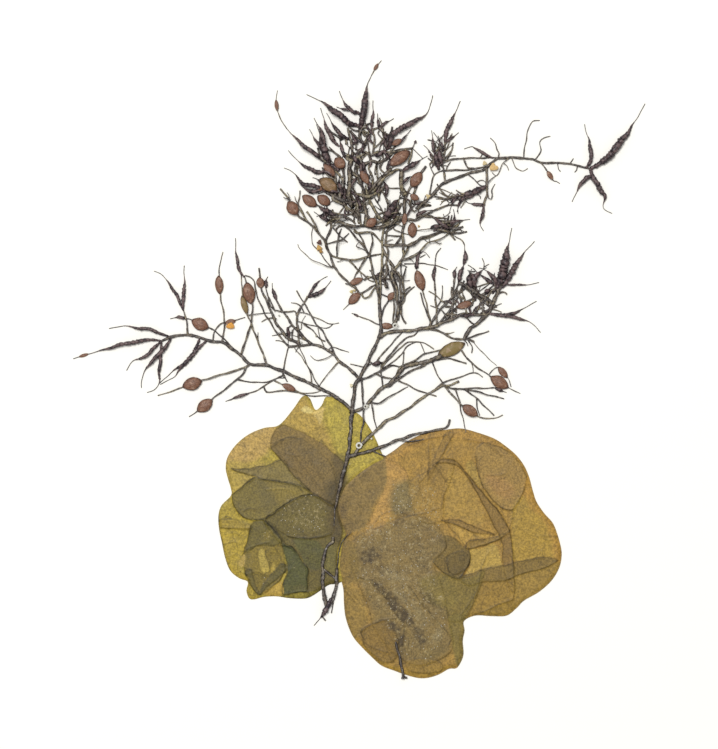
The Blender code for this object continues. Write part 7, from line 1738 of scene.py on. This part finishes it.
class CrustsOperator(bpy.types.Operator):
    """Make the orange crusts and the small loose scraps"""

    bl_idname = "specimen.crusts"
    bl_label = "Crusts and scraps"

    def execute(self, context):
        skin = flake("flake", 2.0)
        for number, (paint, base, *corners) in enumerate(CRUSTS, 1):
            middle = np.mean(corners, axis=0)
            outline = smooth_route(np.array(corners, float), CRUST_STEP, closed=True)
            outline += 0.12 * np.sin(9 * outline[:, ::-1] + number)
            piece = shaded(self.flake_on(f"orange_scrap_{number}", middle, base, outline, paint), skin)
            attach(piece, "root")
            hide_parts(f"orange_crust_{number}")
        for number, (red, green, blue, x, y, size, base) in enumerate(SCRAPS, 1):
            turn = np.linspace(0, 2 * math.pi, 10)[:-1] + number
            ring = size / 2 * (1 + 0.3 * np.sin(turn * 3 + number))
            outline = np.column_stack([x + ring * np.cos(turn), y + ring * np.sin(turn)])
            paint = (red, green, blue)
            piece = shaded(self.flake_on(f"scrap_{number}", np.array((x, y)), base, outline, paint), skin)
            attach(piece, "root")
        return {"FINISHED"}

    def flake_on(self, name, middle, base, outline, paint):
        """A crumbly closed flake within a small outline."""
        shares = (0.0, 0.35, 0.7, 0.92, 1.0)
        count = len(outline)
        points, faces = [(*middle, base + 0.55)], []
        for share in shares[1:]:
            ring = middle + (outline - middle) * share
            crumble = clouds(ring * 3, 1.0, len(name)) * 0.25
            rise = 0.5 * math.sqrt(max(1 - share ** 2, 0)) + 0.12
            points += [(*p, base + rise * (1 + c)) for p, c in zip(ring, crumble)]
        points += [(*p, base) for p in outline]
        for i in range(count):
            after = (i + 1) % count
            faces.append((0, 1 + i, 1 + after))
            for ring in range(len(shares) - 1):
                first = 1 + ring * count
                faces.append((first + i, first + count + i, first + count + after, first + after))
        faces.append(tuple(range(len(points) - 1, len(points) - 1 - count, -1)))
        return object_from(name, points, faces, paint=[tint(*paint)] * len(points))


FLOOR_RADIUS = 6000  # in millimetres, wide enough to fill the view from low down
FLOOR_DROP = 0.15  # how far in millimetres the paper lies below the specimen
LAMP_PLACE = (-0.35, 0.5, 2.2)
EYE_PLACE = (-0.0001, -0.002)


class StageOperator(bpy.types.Operator):
    """Make the pale floor, the soft light and the camera"""

    bl_idname = "specimen.stage"
    bl_label = "Stage"

    def execute(self, context):
        scene, look = context.scene, context.scene.specimen.stage
        turn = np.linspace(0, 2 * math.pi, 97)[:-1]
        disc = [(FLOOR_RADIUS * math.cos(a), FLOOR_RADIUS * math.sin(a), -FLOOR_DROP) for a in turn]
        floor = object_from("floor", disc, [tuple(range(len(disc)))])
        made, tree, shader = finish_of("Floor", 0.9, Specular_IOR_Level=0.1)
        fibres = texture(tree, 900, Detail=3.0)
        dimmed = tuple(c * 0.985 for c in look.floor_colour)
        tree.links.new(blended(tree, look.floor_colour, dimmed, fibres), shader.inputs["Base Color"])
        shaded(floor, made)
        world = bpy.data.worlds.new("Surroundings")
        scene.world = world
        world.use_nodes = True
        sky = world.node_tree.nodes["Background"]
        sky.inputs["Color"].default_value = (1, 1, 1, 1)
        sky.inputs["Strength"].default_value = look.light
        lamp = bpy.data.lights.new("Soft lamp", "AREA")
        lamp.energy, lamp.size = look.lamp, look.lamp_size
        holder = bpy.data.objects.new("Soft lamp", lamp)
        holder.location = LAMP_PLACE
        holder.rotation_euler = (-holder.location).to_track_quat("-Z", "Y").to_euler()
        scene.collection.objects.link(holder)
        camera = bpy.data.cameras.new("Camera")
        camera.lens, camera.sensor_width = look.lens, 36
        eye = bpy.data.objects.new("Camera", camera)
        eye.location = (*EYE_PLACE, look.distance)
        scene.collection.objects.link(eye)
        scene.camera = eye
        scene.view_settings.view_transform = "Standard"
        return {"FINISHED"}


class SpecimenPanel(bpy.types.Panel):
    """Lists the steps that dress the specimen, and their settings"""

    bl_idname = "SPECIMEN_PT_steps"
    bl_label = "Pressed specimen"
    bl_space_type = "VIEW_3D"
    bl_region_type = "UI"
    bl_category = "Specimen"

    def draw(self, context):
        for operator in OPERATORS:
            self.layout.operator(operator.bl_idname)
        for group, look in LOOKS.items():
            box = self.layout.box()
            box.label(text=group.capitalize())
            for key in look.__annotations__:
                box.prop(getattr(context.scene.specimen, group), key)


OPERATORS = (StageOperator, BladdersOperator, StrandsOperator, WormsOperator, CrustsOperator)
CLASSES = (*LOOKS.values(), SpecimenSettings, *OPERATORS, SpecimenPanel)


def register():
    for made in CLASSES:
        bpy.utils.register_class(made)
    bpy.types.Scene.specimen = bpy.props.PointerProperty(type=SpecimenSettings)


def unregister():
    del bpy.types.Scene.specimen
    for made in reversed(CLASSES):
        bpy.utils.unregister_class(made)


def main():
    register()
    for operator in OPERATORS:
        group, step = operator.bl_idname.split(".")
        getattr(getattr(bpy.ops, group), step)()


if __name__ == "__main__":
    main()
